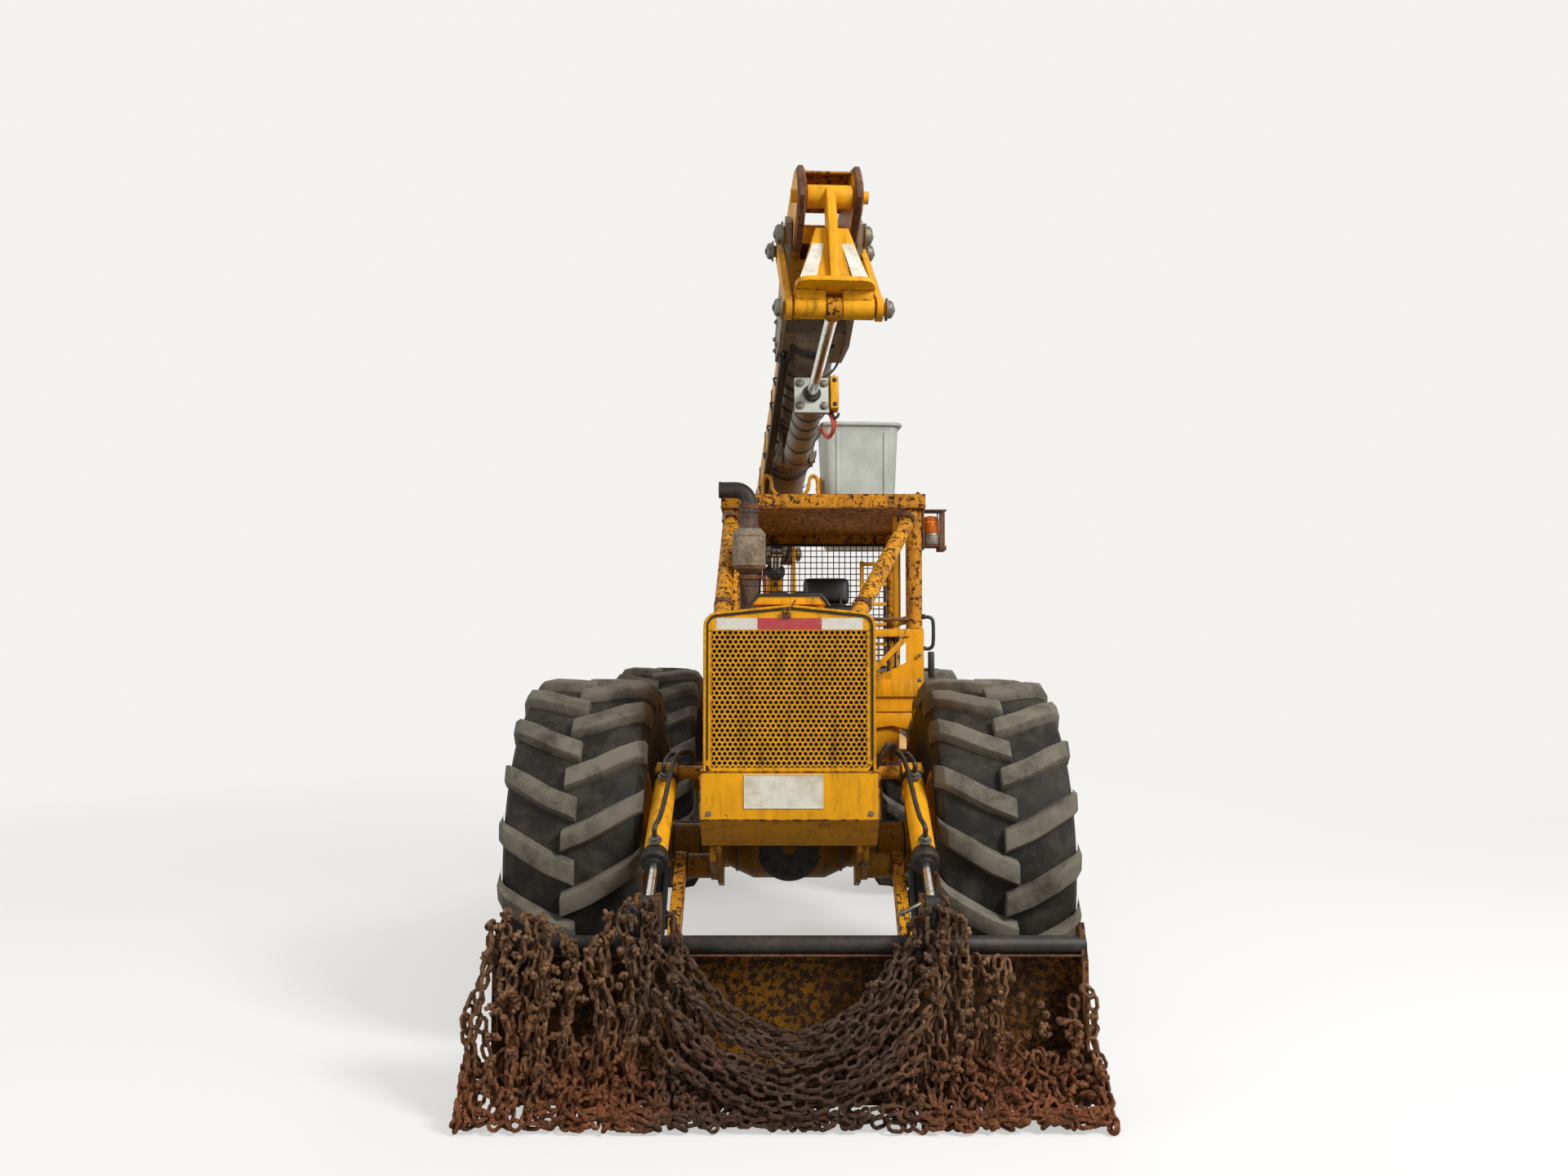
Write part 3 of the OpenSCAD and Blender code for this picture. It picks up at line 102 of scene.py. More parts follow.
class SkidderSizes(bpy.types.PropertyGroup):
    """Sizes and counts of the pieces that repeat."""
    lug_count: IntProperty(name="Lugs", description="Lugs in each of a tyre's two rows", default=18, min=14,
                           max=20)
    link_length: length("Link length", "Outside length of one chain link", 0.070)
    link_width: length("Link width", "Outside width of one chain link", 0.051)
    link_wire: length("Link wire", "Radius of the bar that a link is made of", 0.0082)
    hanging_runs: IntProperty(name="Hanging chains", default=38, min=20, max=60,
                              description="Chains in each layer that hangs over the blade")
    heap_runs: IntProperty(name="Heaped chains", description="Short lengths of chain heaped on the ground",
                           default=95, min=20, max=140)
    grille_pitch: length("Grille pitch", "Distance between the grille's holes", 0.0232)
    grille_hole: length("Grille hole", "Radius of one hole of the grille", 0.0085)
    screen_pitch: length("Screen pitch", "Distance between the rear screen's wires", 0.038)
    screen_wire: length("Screen wire", "Radius of one wire of the rear screen", 0.0034)
    hose: length("Hose radius", "Radius of the hoses along the upper boom", HOSE)


class SkidderStage(bpy.types.PropertyGroup):
    """Floor and lamps of the plain studio."""
    floor: colour("Floor", "Pale studio floor and backdrop", "#f3f2ef")
    ground: colour("Ground", "How much of the light the ground gives back", "#8f8a80")
    key: power("Key lamp", "Power of the large lamp at the front left of the machine", 1150.0)
    fill: power("Fill lamp", "Power of the lamp at the machine's right", 240.0)
    rim: power("Back lamp", "Power of the lamp behind the machine", 420.0)


# Nodes and materials
def fill(made, inputs):
    """Gives a node's inputs their values, or links where the value is another node's output."""
    for key, value in inputs.items():
        if isinstance(value, bpy.types.NodeSocket):
            made.id_data.links.new(value, made.inputs[key])
        else:
            made.inputs[key].default_value = value


def node(tree, kind, inputs, out=0, **settings):
    """Adds a shader node with its settings and links, and hands back one of its outputs."""
    made = tree.nodes.new("ShaderNode" + kind)
    for key, value in settings.items():
        setattr(made, key, value)
    fill(made, inputs)
    return made.outputs[out]


def start(name):
    """A new material: itself, a function that adds nodes to it, its shader and its Object coordinates."""
    made = bpy.data.materials.new(name)
    made.use_nodes = True
    add = partial(node, made.node_tree)
    return made, add, made.node_tree.nodes["Principled BSDF"], add("TexCoord", {}, "Object")


def enamel(name, body, dark, rust, grime, wear=0.5):
    """Machine enamel, brushed on thick: it fades in clouds, chips to rust at edges and holds oily grime."""
    made, add, shader, where = start(name)
    clouds = add("TexNoise", {"Vector": where, "Scale": 2.2, "Detail": 5.0, "Roughness": 0.65})
    cloudy = add("MapRange", {"Value": clouds, "From Min": 0.35, "From Max": 0.7})
    base = add("Mix", {0: cloudy, 6: linear(body), 7: linear(dark)}, 2, data_type="RGBA")
    fine = add("TexNoise", {"Vector": where, "Scale": 38.0, "Detail": 8.0, "Roughness": 0.72,
                            "Distortion": 0.4})
    # A rounded normal leans away from the plain one on corners, which rub bare
    rounded = add("Bevel", {"Radius": 0.006}, "Normal", samples=3)
    plain = add("NewGeometry", {}, "Normal")
    lean = add("VectorMath", {0: rounded, 1: plain}, "Value", operation="DOT_PRODUCT")
    edges = add("MapRange", {"Value": lean, "From Min": 0.995, "From Max": 0.9})
    chipped = add("Math", {0: fine, 1: add("Math", {0: edges, 1: 0.2}, operation="MULTIPLY")})
    chips = add("MapRange", {"Value": chipped, "From Min": 0.70 - 0.10 * wear,
                             "From Max": 0.73 - 0.10 * wear})
    flakes = add("TexNoise", {"Vector": where, "Scale": 90.0, "Detail": 6.0, "Roughness": 0.6})
    rusty = add("Mix", {0: flakes, 6: linear(rust), 7: linear("#2a1a12")}, 2, data_type="RGBA")
    worn = add("Mix", {0: chips, 6: base, 7: rusty}, 2, data_type="RGBA")
    drawn = add("Mapping", {"Vector": where, "Scale": (9.0, 9.0, 1.1)})
    streaks = add("TexNoise", {"Vector": drawn, "Scale": 2.4, "Detail": 7.0, "Roughness": 0.7,
                               "Distortion": 0.3})
    blotch = add("TexNoise", {"Vector": where, "Scale": 6.5, "Detail": 7.0, "Roughness": 0.7})
    dirty = add("Math", {0: add("MapRange", {"Value": streaks, "From Min": 0.47, "From Max": 0.72}),
                         1: add("MapRange", {"Value": blotch, "From Min": 0.35, "From Max": 0.62})},
                operation="MULTIPLY")
    share = add("Math", {0: dirty, 1: 0.86}, operation="MULTIPLY")
    rough = add("Math", {0: add("Math", {0: chips, 1: 0.35}, operation="MULTIPLY"),
                         1: add("Math", {0: clouds, 1: 0.35}, operation="MULTIPLY")})
    height = add("Math", {0: add("Math", {0: blotch, 1: 0.5}, operation="MULTIPLY"), 1: chips},
                 operation="SUBTRACT")
    fill(shader, {
        "Base Color": add("Mix", {0: share, 6: worn, 7: linear(grime)}, 2, data_type="RGBA"),
        "Roughness": add("Math", {0: rough, 1: 0.34}, use_clamp=True), "Specular IOR Level": 0.22,
        "Normal": add("Bump", {"Height": height, "Distance": 0.0012, "Strength": 0.7})})
    return made


def rusted(name, pale, mid, dark, per_metre=45.0, metal=0.25, rough=0.78, deep=0.001):
    """Bare steel left outdoors: flaky brown oxide over darker scale, rough to the touch."""
    made, add, shader, where = start(name)
    grain = add("TexNoise", {"Vector": where, "Scale": per_metre, "Detail": 9.0, "Roughness": 0.7,
                             "Distortion": 0.3})
    patches = add("TexNoise", {"Vector": where, "Scale": per_metre * 0.16, "Detail": 5.0, "Roughness": 0.6})
    blend = add("Math", {0: add("Math", {0: grain, 1: 0.55}, operation="MULTIPLY"),
                         1: add("Math", {0: patches, 1: 0.45}, operation="MULTIPLY")})
    scale = add("ValToRGB", {"Fac": blend})
    stops = scale.node.color_ramp.elements
    stops.new(0.5)
    for stop, place, code in zip(stops, (0.36, 0.5, 0.64), (dark, mid, pale)):
        stop.position = place
        stop.color = linear(code)
    fill(shader, {
        "Base Color": scale, "Metallic": metal,
        "Roughness": add("Math", {0: grain, 1: 0.25, 2: rough - 0.15}, operation="MULTIPLY_ADD"),
        "Normal": add("Bump", {"Height": grain, "Distance": deep, "Strength": 0.8})})
    return made


def chained(name):
    """Forged chain left in the weather: dry tan scale above, orange rust below, darker grey-brown towards the
    middle.
    """
    made, add, shader, where = start(name)
    held = bpy.context.scene.skidder_finishes
    wave = add("TexNoise", {"Vector": where, "Scale": 3.2, "Detail": 4.0, "Roughness": 0.6})
    drift = add("Math", {0: add("Math", {0: wave, 1: 0.5}, operation="SUBTRACT"), 1: 0.9},
                operation="MULTIPLY")
    spot = add("SeparateXYZ", {"Vector": where}).node.outputs
    across = add("Math", {0: add("Math", {0: spot["X"], 1: drift})}, operation="ABSOLUTE")
    # The heap's colour turns darker grey-brown towards its middle, across x.
    middle = add("MapRange", {"Value": across, "From Min": 0.72, "From Max": 0.28})
    low = add("MapRange", {"Value": add("Math", {0: spot["Z"], 1: drift}), "From Min": 0.42,
                           "From Max": 0.12})
    cell = add("TexVoronoi", {"Vector": where, "Scale": 24.0}, "Color")
    each = add("SeparateColor", {"Color": cell}, "Red")
    grain = add("TexNoise", {"Vector": where, "Scale": 55.0, "Detail": 8.0, "Roughness": 0.72,
                             "Distortion": 0.3})
    pits = add("MapRange", {"Value": grain, "From Min": 0.54, "From Max": 0.36})
    shade = linear(held.chain)
    for factor, weight, code in ((low, 0.6, held.chain_rust), (middle, 0.88, held.chain_dark),
                                 (each, 0.6, "#3a2416")):
        part = add("Math", {0: factor, 1: weight}, operation="MULTIPLY")
        shade = add("Mix", {0: part, 6: shade, 7: linear(code)}, 2, data_type="RGBA")
    fill(shader, {
        "Base Color": add("Mix", {0: pits, 6: shade, 7: linear("#1d120b")}, 2, data_type="RGBA"),
        "Metallic": 0.12, "Specular IOR Level": 0.2,
        "Roughness": add("Math", {0: grain, 1: 0.25, 2: 0.6}, operation="MULTIPLY_ADD"),
        "Normal": add("Bump", {"Height": grain, "Distance": 0.0012, "Strength": 0.9})})
    return made


def rubber(name, clean, dust, reach=1.0):
    """Tyre compound, moulded and carbon black, with dry mud dust that settles on worn lug faces."""
    made, add, shader, where = start(name)
    film = add("TexNoise", {"Vector": where, "Scale": 7.0, "Detail": 8.0, "Roughness": 0.68,
                            "Distortion": 0.2})
    grit = add("TexNoise", {"Vector": where, "Scale": 160.0, "Detail": 4.0, "Roughness": 0.7})
    cover = add("Math", {0: film, 1: add("Math", {0: grit, 1: 0.25}, operation="MULTIPLY")})
    dusty = add("MapRange", {"Value": cover, "From Min": 0.78 - 0.3 * reach,
                             "From Max": 1.0 - 0.25 * reach})
    height = add("Math", {0: film, 1: add("Math", {0: grit, 1: 0.3}, operation="MULTIPLY")})
    fill(shader, {
        "Base Color": add("Mix", {0: dusty, 6: linear(clean), 7: linear(dust)}, 2, data_type="RGBA"),
        "Roughness": add("Math", {0: dusty, 1: 0.25, 2: 0.6}, operation="MULTIPLY_ADD"),
        "Specular IOR Level": 0.14,
        "Normal": add("Bump", {"Height": height, "Distance": 0.0015, "Strength": 0.6})})
    return made


def polished(name, tint, rough, scratch):
    """Ground and chromed steel rod: bright, with faint lengthwise wipes of oil."""
    made, add, shader, where = start(name)
    wipes = add("TexNoise", {"Vector": where, "Scale": 60.0, "Detail": 4.0, "Roughness": 0.6})
    dulled = add("MapRange", {"Value": wipes, "From Min": 0.5, "From Max": 0.75})
    fill(shader, {
        "Base Color": add("Mix", {0: dulled, 6: linear(tint), 7: linear(scratch)}, 2, data_type="RGBA"),
        "Metallic": 1.0, "Roughness": add("Math", {0: wipes, 1: 0.16, 2: rough}, operation="MULTIPLY_ADD")})
    return made


def moulded(name, tint, second, rough=0.45, per_metre=18.0, fine=0.0003):
    """Moulded or dipped plastic and rubber: even colour that greys in patches."""
    made, add, shader, where = start(name)
    patches = add("TexNoise", {"Vector": where, "Scale": per_metre, "Detail": 6.0, "Roughness": 0.65})
    greyed = add("MapRange", {"Value": patches, "From Min": 0.42, "From Max": 0.72})
    skin = add("TexNoise", {"Vector": where, "Scale": per_metre * 12, "Detail": 6.0, "Roughness": 0.6})
    fill(shader, {
        "Base Color": add("Mix", {0: greyed, 6: linear(tint), 7: linear(second)}, 2, data_type="RGBA"),
        "Roughness": add("Math", {0: patches, 1: 0.25, 2: rough - 0.08}, operation="MULTIPLY_ADD"),
        "Normal": add("Bump", {"Height": skin, "Distance": fine, "Strength": 0.5})})
    return made


def glass_fibre(name):
    """Hand-laid glass fibre with a pale grey gel coat: chalky, speckled, with black scuffs and run marks."""
    made, add, shader, where = start(name)
    coat = linear(bpy.context.scene.skidder_finishes.gel_coat)
    shaded = tuple(c * 0.8 for c in coat[:3]) + (1.0,)
    chalk = add("TexNoise", {"Vector": where, "Scale": 5.0, "Detail": 6.0, "Roughness": 0.6})
    chalky = add("MapRange", {"Value": chalk, "From Min": 0.4, "From Max": 0.65})
    base = add("Mix", {0: chalky, 6: coat, 7: shaded}, 2, data_type="RGBA")
    speck = add("TexVoronoi", {"Vector": where, "Scale": 120.0}, "Distance")
    dots = add("MapRange", {"Value": speck, "From Min": 0.30, "From Max": 0.2})
    spotted = add("Math", {0: dots, 1: 0.5}, operation="MULTIPLY")
    spots = add("Mix", {0: spotted, 6: base, 7: linear("#7f847c")}, 2, data_type="RGBA")
    drawn = add("Mapping", {"Vector": where, "Scale": (14.0, 14.0, 1.4)})
    runs = add("TexNoise", {"Vector": drawn, "Scale": 2.0, "Detail": 8.0, "Roughness": 0.7,
                            "Distortion": 0.4})
    marks = add("Math", {0: add("MapRange", {"Value": runs, "From Min": 0.60, "From Max": 0.80}), 1: 0.3},
                operation="MULTIPLY")
    fill(shader, {
        "Base Color": add("Mix", {0: marks, 6: spots, 7: linear("#4b4a42")}, 2, data_type="RGBA"),
        "Roughness": 0.62, "Normal": add("Bump", {"Height": dots, "Distance": 0.0004, "Strength": 0.5})})
    return made


def lens(name, tint):
    """Clear moulded acrylic, dyed through, for the warning lamp."""
    made, add, shader, where = start(name)
    haze = add("TexNoise", {"Vector": where, "Scale": 30.0, "Detail": 6.0, "Roughness": 0.6})
    fill(shader, {"Base Color": linear(tint), "Transmission Weight": 0.55, "IOR": 1.49,
                  "Roughness": add("Math", {0: haze, 1: 0.2, 2: 0.1}, operation="MULTIPLY_ADD")})
    return made


def tape(name):
    """Prismatic reflective tape: tiny cube corners in bands under a clear film, dulled by dust."""
    made, add, shader, where = start(name)
    along_tape = add("Math", {0: add("SeparateXYZ", {"Vector": where}, "X")}, operation="ABSOLUTE")
    red = add("MapRange", {"Value": along_tape, "From Min": 0.1395, "From Max": 0.1393})
    cells = add("TexVoronoi", {"Vector": where, "Scale": 110.0}, "Distance", feature="DISTANCE_TO_EDGE")
    lines = add("MapRange", {"Value": cells, "From Min": 0.08, "From Max": 0.02})
    film = add("TexNoise", {"Vector": where, "Scale": 24.0, "Detail": 6.0, "Roughness": 0.6})
    dusty = add("MapRange", {"Value": film, "From Min": 0.5, "From Max": 0.8})
    shade = add("Mix", {0: red, 6: linear("#d3d0c6"), 7: linear("#a81b22")}, 2, data_type="RGBA")
    for factor, weight, code in ((lines, 0.35, "#8c8078"), (dusty, 0.4, "#a08a70")):
        part = add("Math", {0: factor, 1: weight}, operation="MULTIPLY")
        shade = add("Mix", {0: part, 6: shade, 7: linear(code)}, 2, data_type="RGBA")
    fill(shader, {"Base Color": shade, "Roughness": 0.32, "Coat Weight": 0.4})
    return made


M = {}


def make_finishes():
    """All finishes of the machine, each named for what the real one is."""
    held = bpy.context.scene.skidder_finishes
    body, faded, grime = held.enamel, held.enamel_faded, held.grime
    M["paint"] = enamel("yellow_enamel_weathered", body, faded, "#6b3f1f", grime, 0.5)
    M["paint_rust"] = enamel("yellow_enamel_rusty", "#d69212", "#a8691a", "#4e2d1a", "#20160f", 1.75)
    M["paint_deep"] = enamel("yellow_enamel_oily", "#bd820f", "#6f4a15", "#45291a", "#15100b", 1.1)
    # Blade enamel: the heavy rust chips are real wear; the body is darkened to brown as painted shade of the
    # chain heap in front of it.
    M["blade"] = enamel("blade_enamel_scraped_painted_shade", "#8a5914", "#3d2814", "#34200f", "#1a120b", 2.2)
    M["boom"] = enamel("boom_tube_worn_enamel", "#8d8273", "#6d5f4d", "#4b3526", "#241d17", 1.0)
    M["steel"] = rusted("steel_plate_scuffed", "#8b7f70", "#5f5346", "#33291f", 30.0, 0.55, 0.55, 0.0006)
    M["rust"] = rusted("steel_rusted_brown", "#875a38", "#593620", "#2c180f")
    M["stack"] = rusted("exhaust_pipe_scaled", "#6d5446", "#4a362c", "#2a1c17", 60.0, 0.3, 0.7, 0.0006)
    M["muffler"] = rusted("muffler_grey_scale", "#9a8f7d", "#776855", "#4a3a2d", 55.0, 0.3, 0.66, 0.0005)
    M["chain"] = chained("forged_chain_rusted")
    M["cast"] = rusted("cast_iron_oily", "#3f3730", "#28231e", "#13100d", 30.0, 0.3, 0.6, 0.001)
    M["tyre"] = rubber("tyre_rubber_dusty", held.rubber, "#45413a", 0.7)
    M["lug"] = rubber("tyre_lug_dusty", "#35322c", held.dust, 1.25)
    M["rubber"] = moulded("hose_rubber_black", "#141311", "#322f2a", 0.5)
    M["trim"] = moulded("edge_trim_rubber_black", "#0f0e0d", "#262421", 0.55)
    M["vinyl"] = moulded("seat_vinyl_black", "#121213", "#262524", 0.42, 10.0)
    M["orange"] = moulded("hose_rubber_orange_red", "#b03a1c", "#7c2a16", 0.5)
    M["chrome"] = polished("rod_hard_chrome", "#d9d9d6", 0.1, "#8f8c84")
    M["zinc"] = polished("zinc_plated_fastener", "#7d786d", 0.46, "#45403a")
    M["wire"] = rusted("woven_wire_dark", "#3d342c", "#221d19", "#100e0c", 70.0, 0.3, 0.65, 0.0003)
    # Radiator core: its own black is deepened to near black, as painted shade seen through the grille's
    # holes.
    M["black"] = moulded("radiator_core_painted_shade", "#0c0b0a", "#1a1714", 0.7)
    M["shell"] = glass_fibre("bucket_glass_fibre")
    M["amber"] = lens("lamp_lens_amber", "#f07a10")
    M["red_lens"] = lens("lamp_lens_red", "#b3160f")
    M["tape"] = tape("reflective_tape_red_white")
    M["plate"] = moulded("blank_sign_plate_white", "#d8d4c6", "#b4a88f", 0.4, 14.0, 0.0001)
    M["patch"] = moulded("reflector_patch_white", "#dddad0", "#b9b09a", 0.3, 20.0, 0.0001)


def use(obj, *keys):
    """Gives an object its finishes, in slot order."""
    obj.data.materials.clear()
    for key in keys:
        obj.data.materials.append(M[key])


CAD_FINISH = {
    "engine": "cast", "exhaust": "stack", "cab_rear_screen": "wire", "seat": "vinyl", "dash": "vinyl",
    "beacon": "amber", "hand_loop": "rubber", "front_shaft": "cast", "tyre_chains": "chain",
    "blade_ram_rods": "chrome", "steer_rod_left": "chrome", "steer_rod_right": "chrome", "lift_rod": "chrome",
    "elbow_rod": "chrome", "lower_boom": "boom", "elbow_barrel": "boom", "level_sheave": "steel",
    "bucket": "shell", "front_frame": "paint_deep", "rear_frame": "paint_deep", "front_axle": "paint_deep",
    "rear_axle": "paint_deep", "nose_box": "paint", "blade": "blade", "blade_arms": "paint_rust",
    "cab_step": "paint_rust", "cab_posts": "paint_rust", "cab_roof": "paint_rust", "push_link": "paint_rust",
    "boom_cradle": "paint_rust", "lift_barrel": "paint", "oil_tank": "paint", "tool_box": "paint",
}


def finish_cad():
    """Every CAD node that stays gets its real finish."""
    for name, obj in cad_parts.items():
        key = CAD_FINISH.get(name, "tyre" if name.startswith("tyre_") else "paint")
        use(obj, key)


# Modelling helpers
def clear():
    """Deselects everything, so an operator acts on the new primitive alone."""
    if bpy.context.object and bpy.context.object.mode != "OBJECT":
        bpy.ops.object.mode_set(mode="OBJECT")
    for obj in bpy.context.selected_objects:
        obj.select_set(False)


def only(obj):
    """Makes an object the one that is selected and active."""
    clear()
    obj.select_set(True)
    bpy.context.view_layer.objects.active = obj
    return obj


def added(data):
    """A new object of a mesh or curve, selected alone."""
    obj = bpy.data.objects.new(data.name, data)
    bpy.context.scene.collection.objects.link(obj)
    return only(obj)


def mesh_of(points, faces=(), edges=()):
    """A new mesh object of points with faces or edges."""
    mesh = bpy.data.meshes.new("mesh")
    mesh.from_pydata(points, edges, faces)
    return added(mesh)


OUTWARDS = ("normals_make_consistent", {"inside": False})


def edited(obj, *steps):
    """Runs mesh operators, each on the whole object, in edit mode."""
    only(obj)
    bpy.ops.object.mode_set(mode="EDIT")
    for name, settings in steps:
        bpy.ops.mesh.select_all(action="SELECT")
        getattr(bpy.ops.mesh, name)(**settings)
    bpy.ops.object.mode_set(mode="OBJECT")
    return obj


def place_in_mesh(obj):
    """Moves an object's place, turn and size into its mesh."""
    obj.data.transform(obj.matrix_basis)
    obj.matrix_basis = Matrix.Identity(4)
    if obj.data.has_custom_normals:
        obj.data.attributes.remove(obj.data.attributes["custom_normal"])
    return obj


def moved(obj, way):
    """Moves an object's mesh by a matrix."""
    obj.data.transform(way)
    return obj


def apply(obj, kind, **settings):
    """Adds a modifier and applies it."""
    made = only(obj).modifiers.new("work", kind)
    for key, value in settings.items():
        setattr(made, key, value)
    bpy.ops.object.modifier_apply(modifier=made.name)
    return obj


def softened(obj, width, segments=2):
    """Rounds the corners as a real pressed, cast or cut edge is."""
    if width > 0:
        apply(obj, "BEVEL", width=width, segments=segments, limit_method="ANGLE", angle_limit=0.6)
    return obj


def block(low, high, bevel=0.003, turn=(0, 0, 0)):
    """A cuboid from corner to corner, with rounded edges."""
    clear()
    low, high = Vector(low), Vector(high)
    bpy.ops.mesh.primitive_cube_add(size=1, location=(low + high) / 2, rotation=turn)
    bpy.context.object.scale = high - low
    return softened(place_in_mesh(bpy.context.object), bevel)


def rod(p, q, radius, sides=20, bevel=0.0):
    """A round bar between two points."""
    clear()
    p, q = Vector(p), Vector(q)
    way = q - p
    bpy.ops.mesh.primitive_cylinder_add(vertices=sides, radius=radius, depth=way.length, location=(p + q) / 2,
                                        rotation=way.to_track_quat("Z", "Y").to_euler())
    return softened(place_in_mesh(bpy.context.object), bevel)


def nut(p, way, radius, height, sides=6):
    """A hexagon head with its washer and the end of its thread."""
    p, way = Vector(p), Vector(way).normalized()
    return join([rod(p, p + way * height * 0.2, radius * 1.45, 16),
                 rod(p, p + way * height, radius, sides, radius * 0.12),
                 rod(p, p + way * height * 1.35, radius * 0.5, 10)])


def join(parts):
    """One mesh object of several."""
    clear()
    for part in parts:
        part.select_set(True)
    bpy.context.view_layer.objects.active = parts[0]
    if len(parts) > 1:
        bpy.ops.object.join()
    return parts[0]


def plate(points, depth, bevel=0.002):
    """A flat plate: its outline in space, extruded by a vector."""
    flat = mesh_of([Vector(p) for p in points], [range(len(points))])
    push = ("extrude_region_move", {"TRANSFORM_OT_translate": {"value": depth}})
    return softened(edited(flat, push, OUTWARDS), bevel)


def pipe(points, radius, sides=12, closed=False, smooth=0):
    """A round tube along points; smooth rounds its path."""
    points = [Vector(p) for p in points]
    for _ in range(smooth):
        cut = [a.lerp(b, t) for a, b in zip(points, points[1:]) for t in (0.25, 0.75)]
        points = [points[0]] + cut[1:-1] + [points[-1]]
    curve = bpy.data.curves.new("pipe", "CURVE")
    curve.dimensions = "3D"
    curve.bevel_depth = radius
    curve.bevel_resolution = max(0, sides // 4 - 1)
    curve.use_fill_caps = not closed
    spline = curve.splines.new("POLY")
    spline.points.add(len(points) - 1)
    for held, point in zip(spline.points, points):
        held.co = (*point, 1)
    spline.use_cyclic_u = closed
    added(curve)
    bpy.ops.object.convert(target="MESH")
    return bpy.context.object


def turned(profile, centre, axis, steps=48):
    """A turned piece: (along, radius) points spun about an axis through centre."""
    centre, axis = Vector(centre), Vector(axis).normalized()
    side = axis.orthogonal().normalized()
    line = mesh_of([centre + axis * a + side * r for a, r in profile],
                   edges=[(i, i + 1) for i in range(len(profile) - 1)])
    return edited(line, ("spin", {"steps": steps, "angle": math.tau, "center": centre, "axis": axis}),
                  ("remove_doubles", {"threshold": 0.00005}), OUTWARDS)


def copies(template, places):
    """One mesh that holds a copy of the template at each place, a 4x4 matrix."""
    source = template.data
    count = len(source.vertices)
    points = np.zeros(count * 3)
    source.vertices.foreach_get("co", points)
    points = np.c_[points.reshape(-1, 3), np.ones(count)]
    every = [(points @ np.array(place).T)[:, :3] for place in places]
    faces = [tuple(v + number * count for v in face.vertices)
             for number in range(len(places)) for face in source.polygons]
    bpy.data.objects.remove(template)
    return mesh_of(np.concatenate(every).tolist(), faces)


def dress(made, name, key, body, slot, hides=(), angle=35):
    """Joins a piece's parts, names and smooths it, gives it its finish and makes it move with its body."""
    obj = only(join(made) if isinstance(made, list) else made)
    obj.name = name
    obj.data.name = name
    if angle:
        bpy.ops.object.shade_smooth_by_angle(angle=math.radians(angle))
    use(obj, key)
    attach(obj, body)
    if hides:
        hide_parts(*hides)
    return obj


def both(made):
    """A part and its mirror image across the middle, joined."""
    twin = made.copy()
    twin.data = made.data.copy()
    bpy.context.scene.collection.objects.link(twin)
    twin.data.transform(Matrix.Scale(-1, 4, AXIS_X))
    twin.data.flip_normals()
    return join([made, twin])


# Tyres and wheels
def tyre_body(side, y):
    """Carcass: bead, bulged side wall with its moulded steps, shoulder and crown."""
    half = [(0.219, 0.33), (0.229, 0.345), (0.228, 0.365), (0.236, 0.375), (0.245, 0.40), (0.262, 0.45),
            (0.275, 0.50), (0.278, 0.506), (0.284, 0.512), (0.293, 0.56), (0.297, 0.61), (0.296, 0.655),
            (0.288, 0.69), (0.270, 0.718), (0.235, 0.733), (0.16, 0.745), (0.08, 0.751), (0.0, 0.753)]
    outer = [(-a, r) for a, r in half] + [(a, r) for a, r in reversed(half[:-1])]
    inner = [(0.21, 0.334), (0.25, 0.45), (0.27, 0.60), (0.24, 0.68), (0.0, 0.71), (-0.24, 0.68),
             (-0.27, 0.60), (-0.25, 0.45), (-0.21, 0.334)]
    profile = outer + inner + [outer[0]]
    return turned(profile, (side * TRACK_X, y, AXLE_Z), AXIS_X, 96)


def lug_template():
    """One straight tractor lug at the top of the wheel: from past the middle out to the shoulder, tapered."""
    rows = [(-0.028, 0.0, 0.755, 0.794), (0.09, 0.048, 0.751, 0.7925), (0.19, 0.105, 0.738, 0.785),
            (0.268, 0.150, 0.712, 0.762), (0.300, 0.170, 0.668, 0.712), (0.301, 0.176, 0.635, 0.662)]
    points = []
    for along, run, foot, head in rows:
        base, top = (0.058, 0.041) if along < 0.25 else (0.052, 0.038)
        foot -= 0.01
        points += [(along, run - base, foot), (along, run - top, head), (along, run + top, head),
                   (along, run + base, foot)]
    faces = [(a, b, b + 4, a + 4) for i in range(0, 4 * len(rows) - 4, 4)
             for a, b in ((i, i + 1), (i + 1, i + 2), (i + 2, i + 3), (i + 3, i))]
    faces += [(3, 2, 1, 0), tuple(len(points) - 4 + k for k in range(4))]
    return softened(edited(mesh_of(points, faces), OUTWARDS), 0.007)


def make_tyre(side, y, end, hand):
    """A forestry drive tyre: carcass and two rows of long lugs that meet in a chevron, nose down in front."""
    body = f"wheel_{end}_{hand}"
    carcass = tyre_body(side, y)
    count = bpy.context.scene.skidder_sizes.lug_count
    lift = Matrix.Translation((side * TRACK_X, y, AXLE_Z))
    places = [lift @ Matrix.Rotation((i + offset) * math.tau / count, 4, "X")
              @ Matrix.Scale(mirror, 4, AXIS_X) for i in range(count)
              for mirror, offset in ((1, 0.0), (-1, 0.5))]
    lugs = edited(copies(lug_template(), places), OUTWARDS)
    use(carcass, "tyre")
    use(lugs, "lug")
    whole = only(join([carcass, lugs]))
    whole.name = f"forest_tyre_{end}_{hand}"
    bpy.ops.object.shade_smooth_by_angle(angle=math.radians(32))
    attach(whole, body)
    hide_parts(f"tyre_{end}_{hand}")


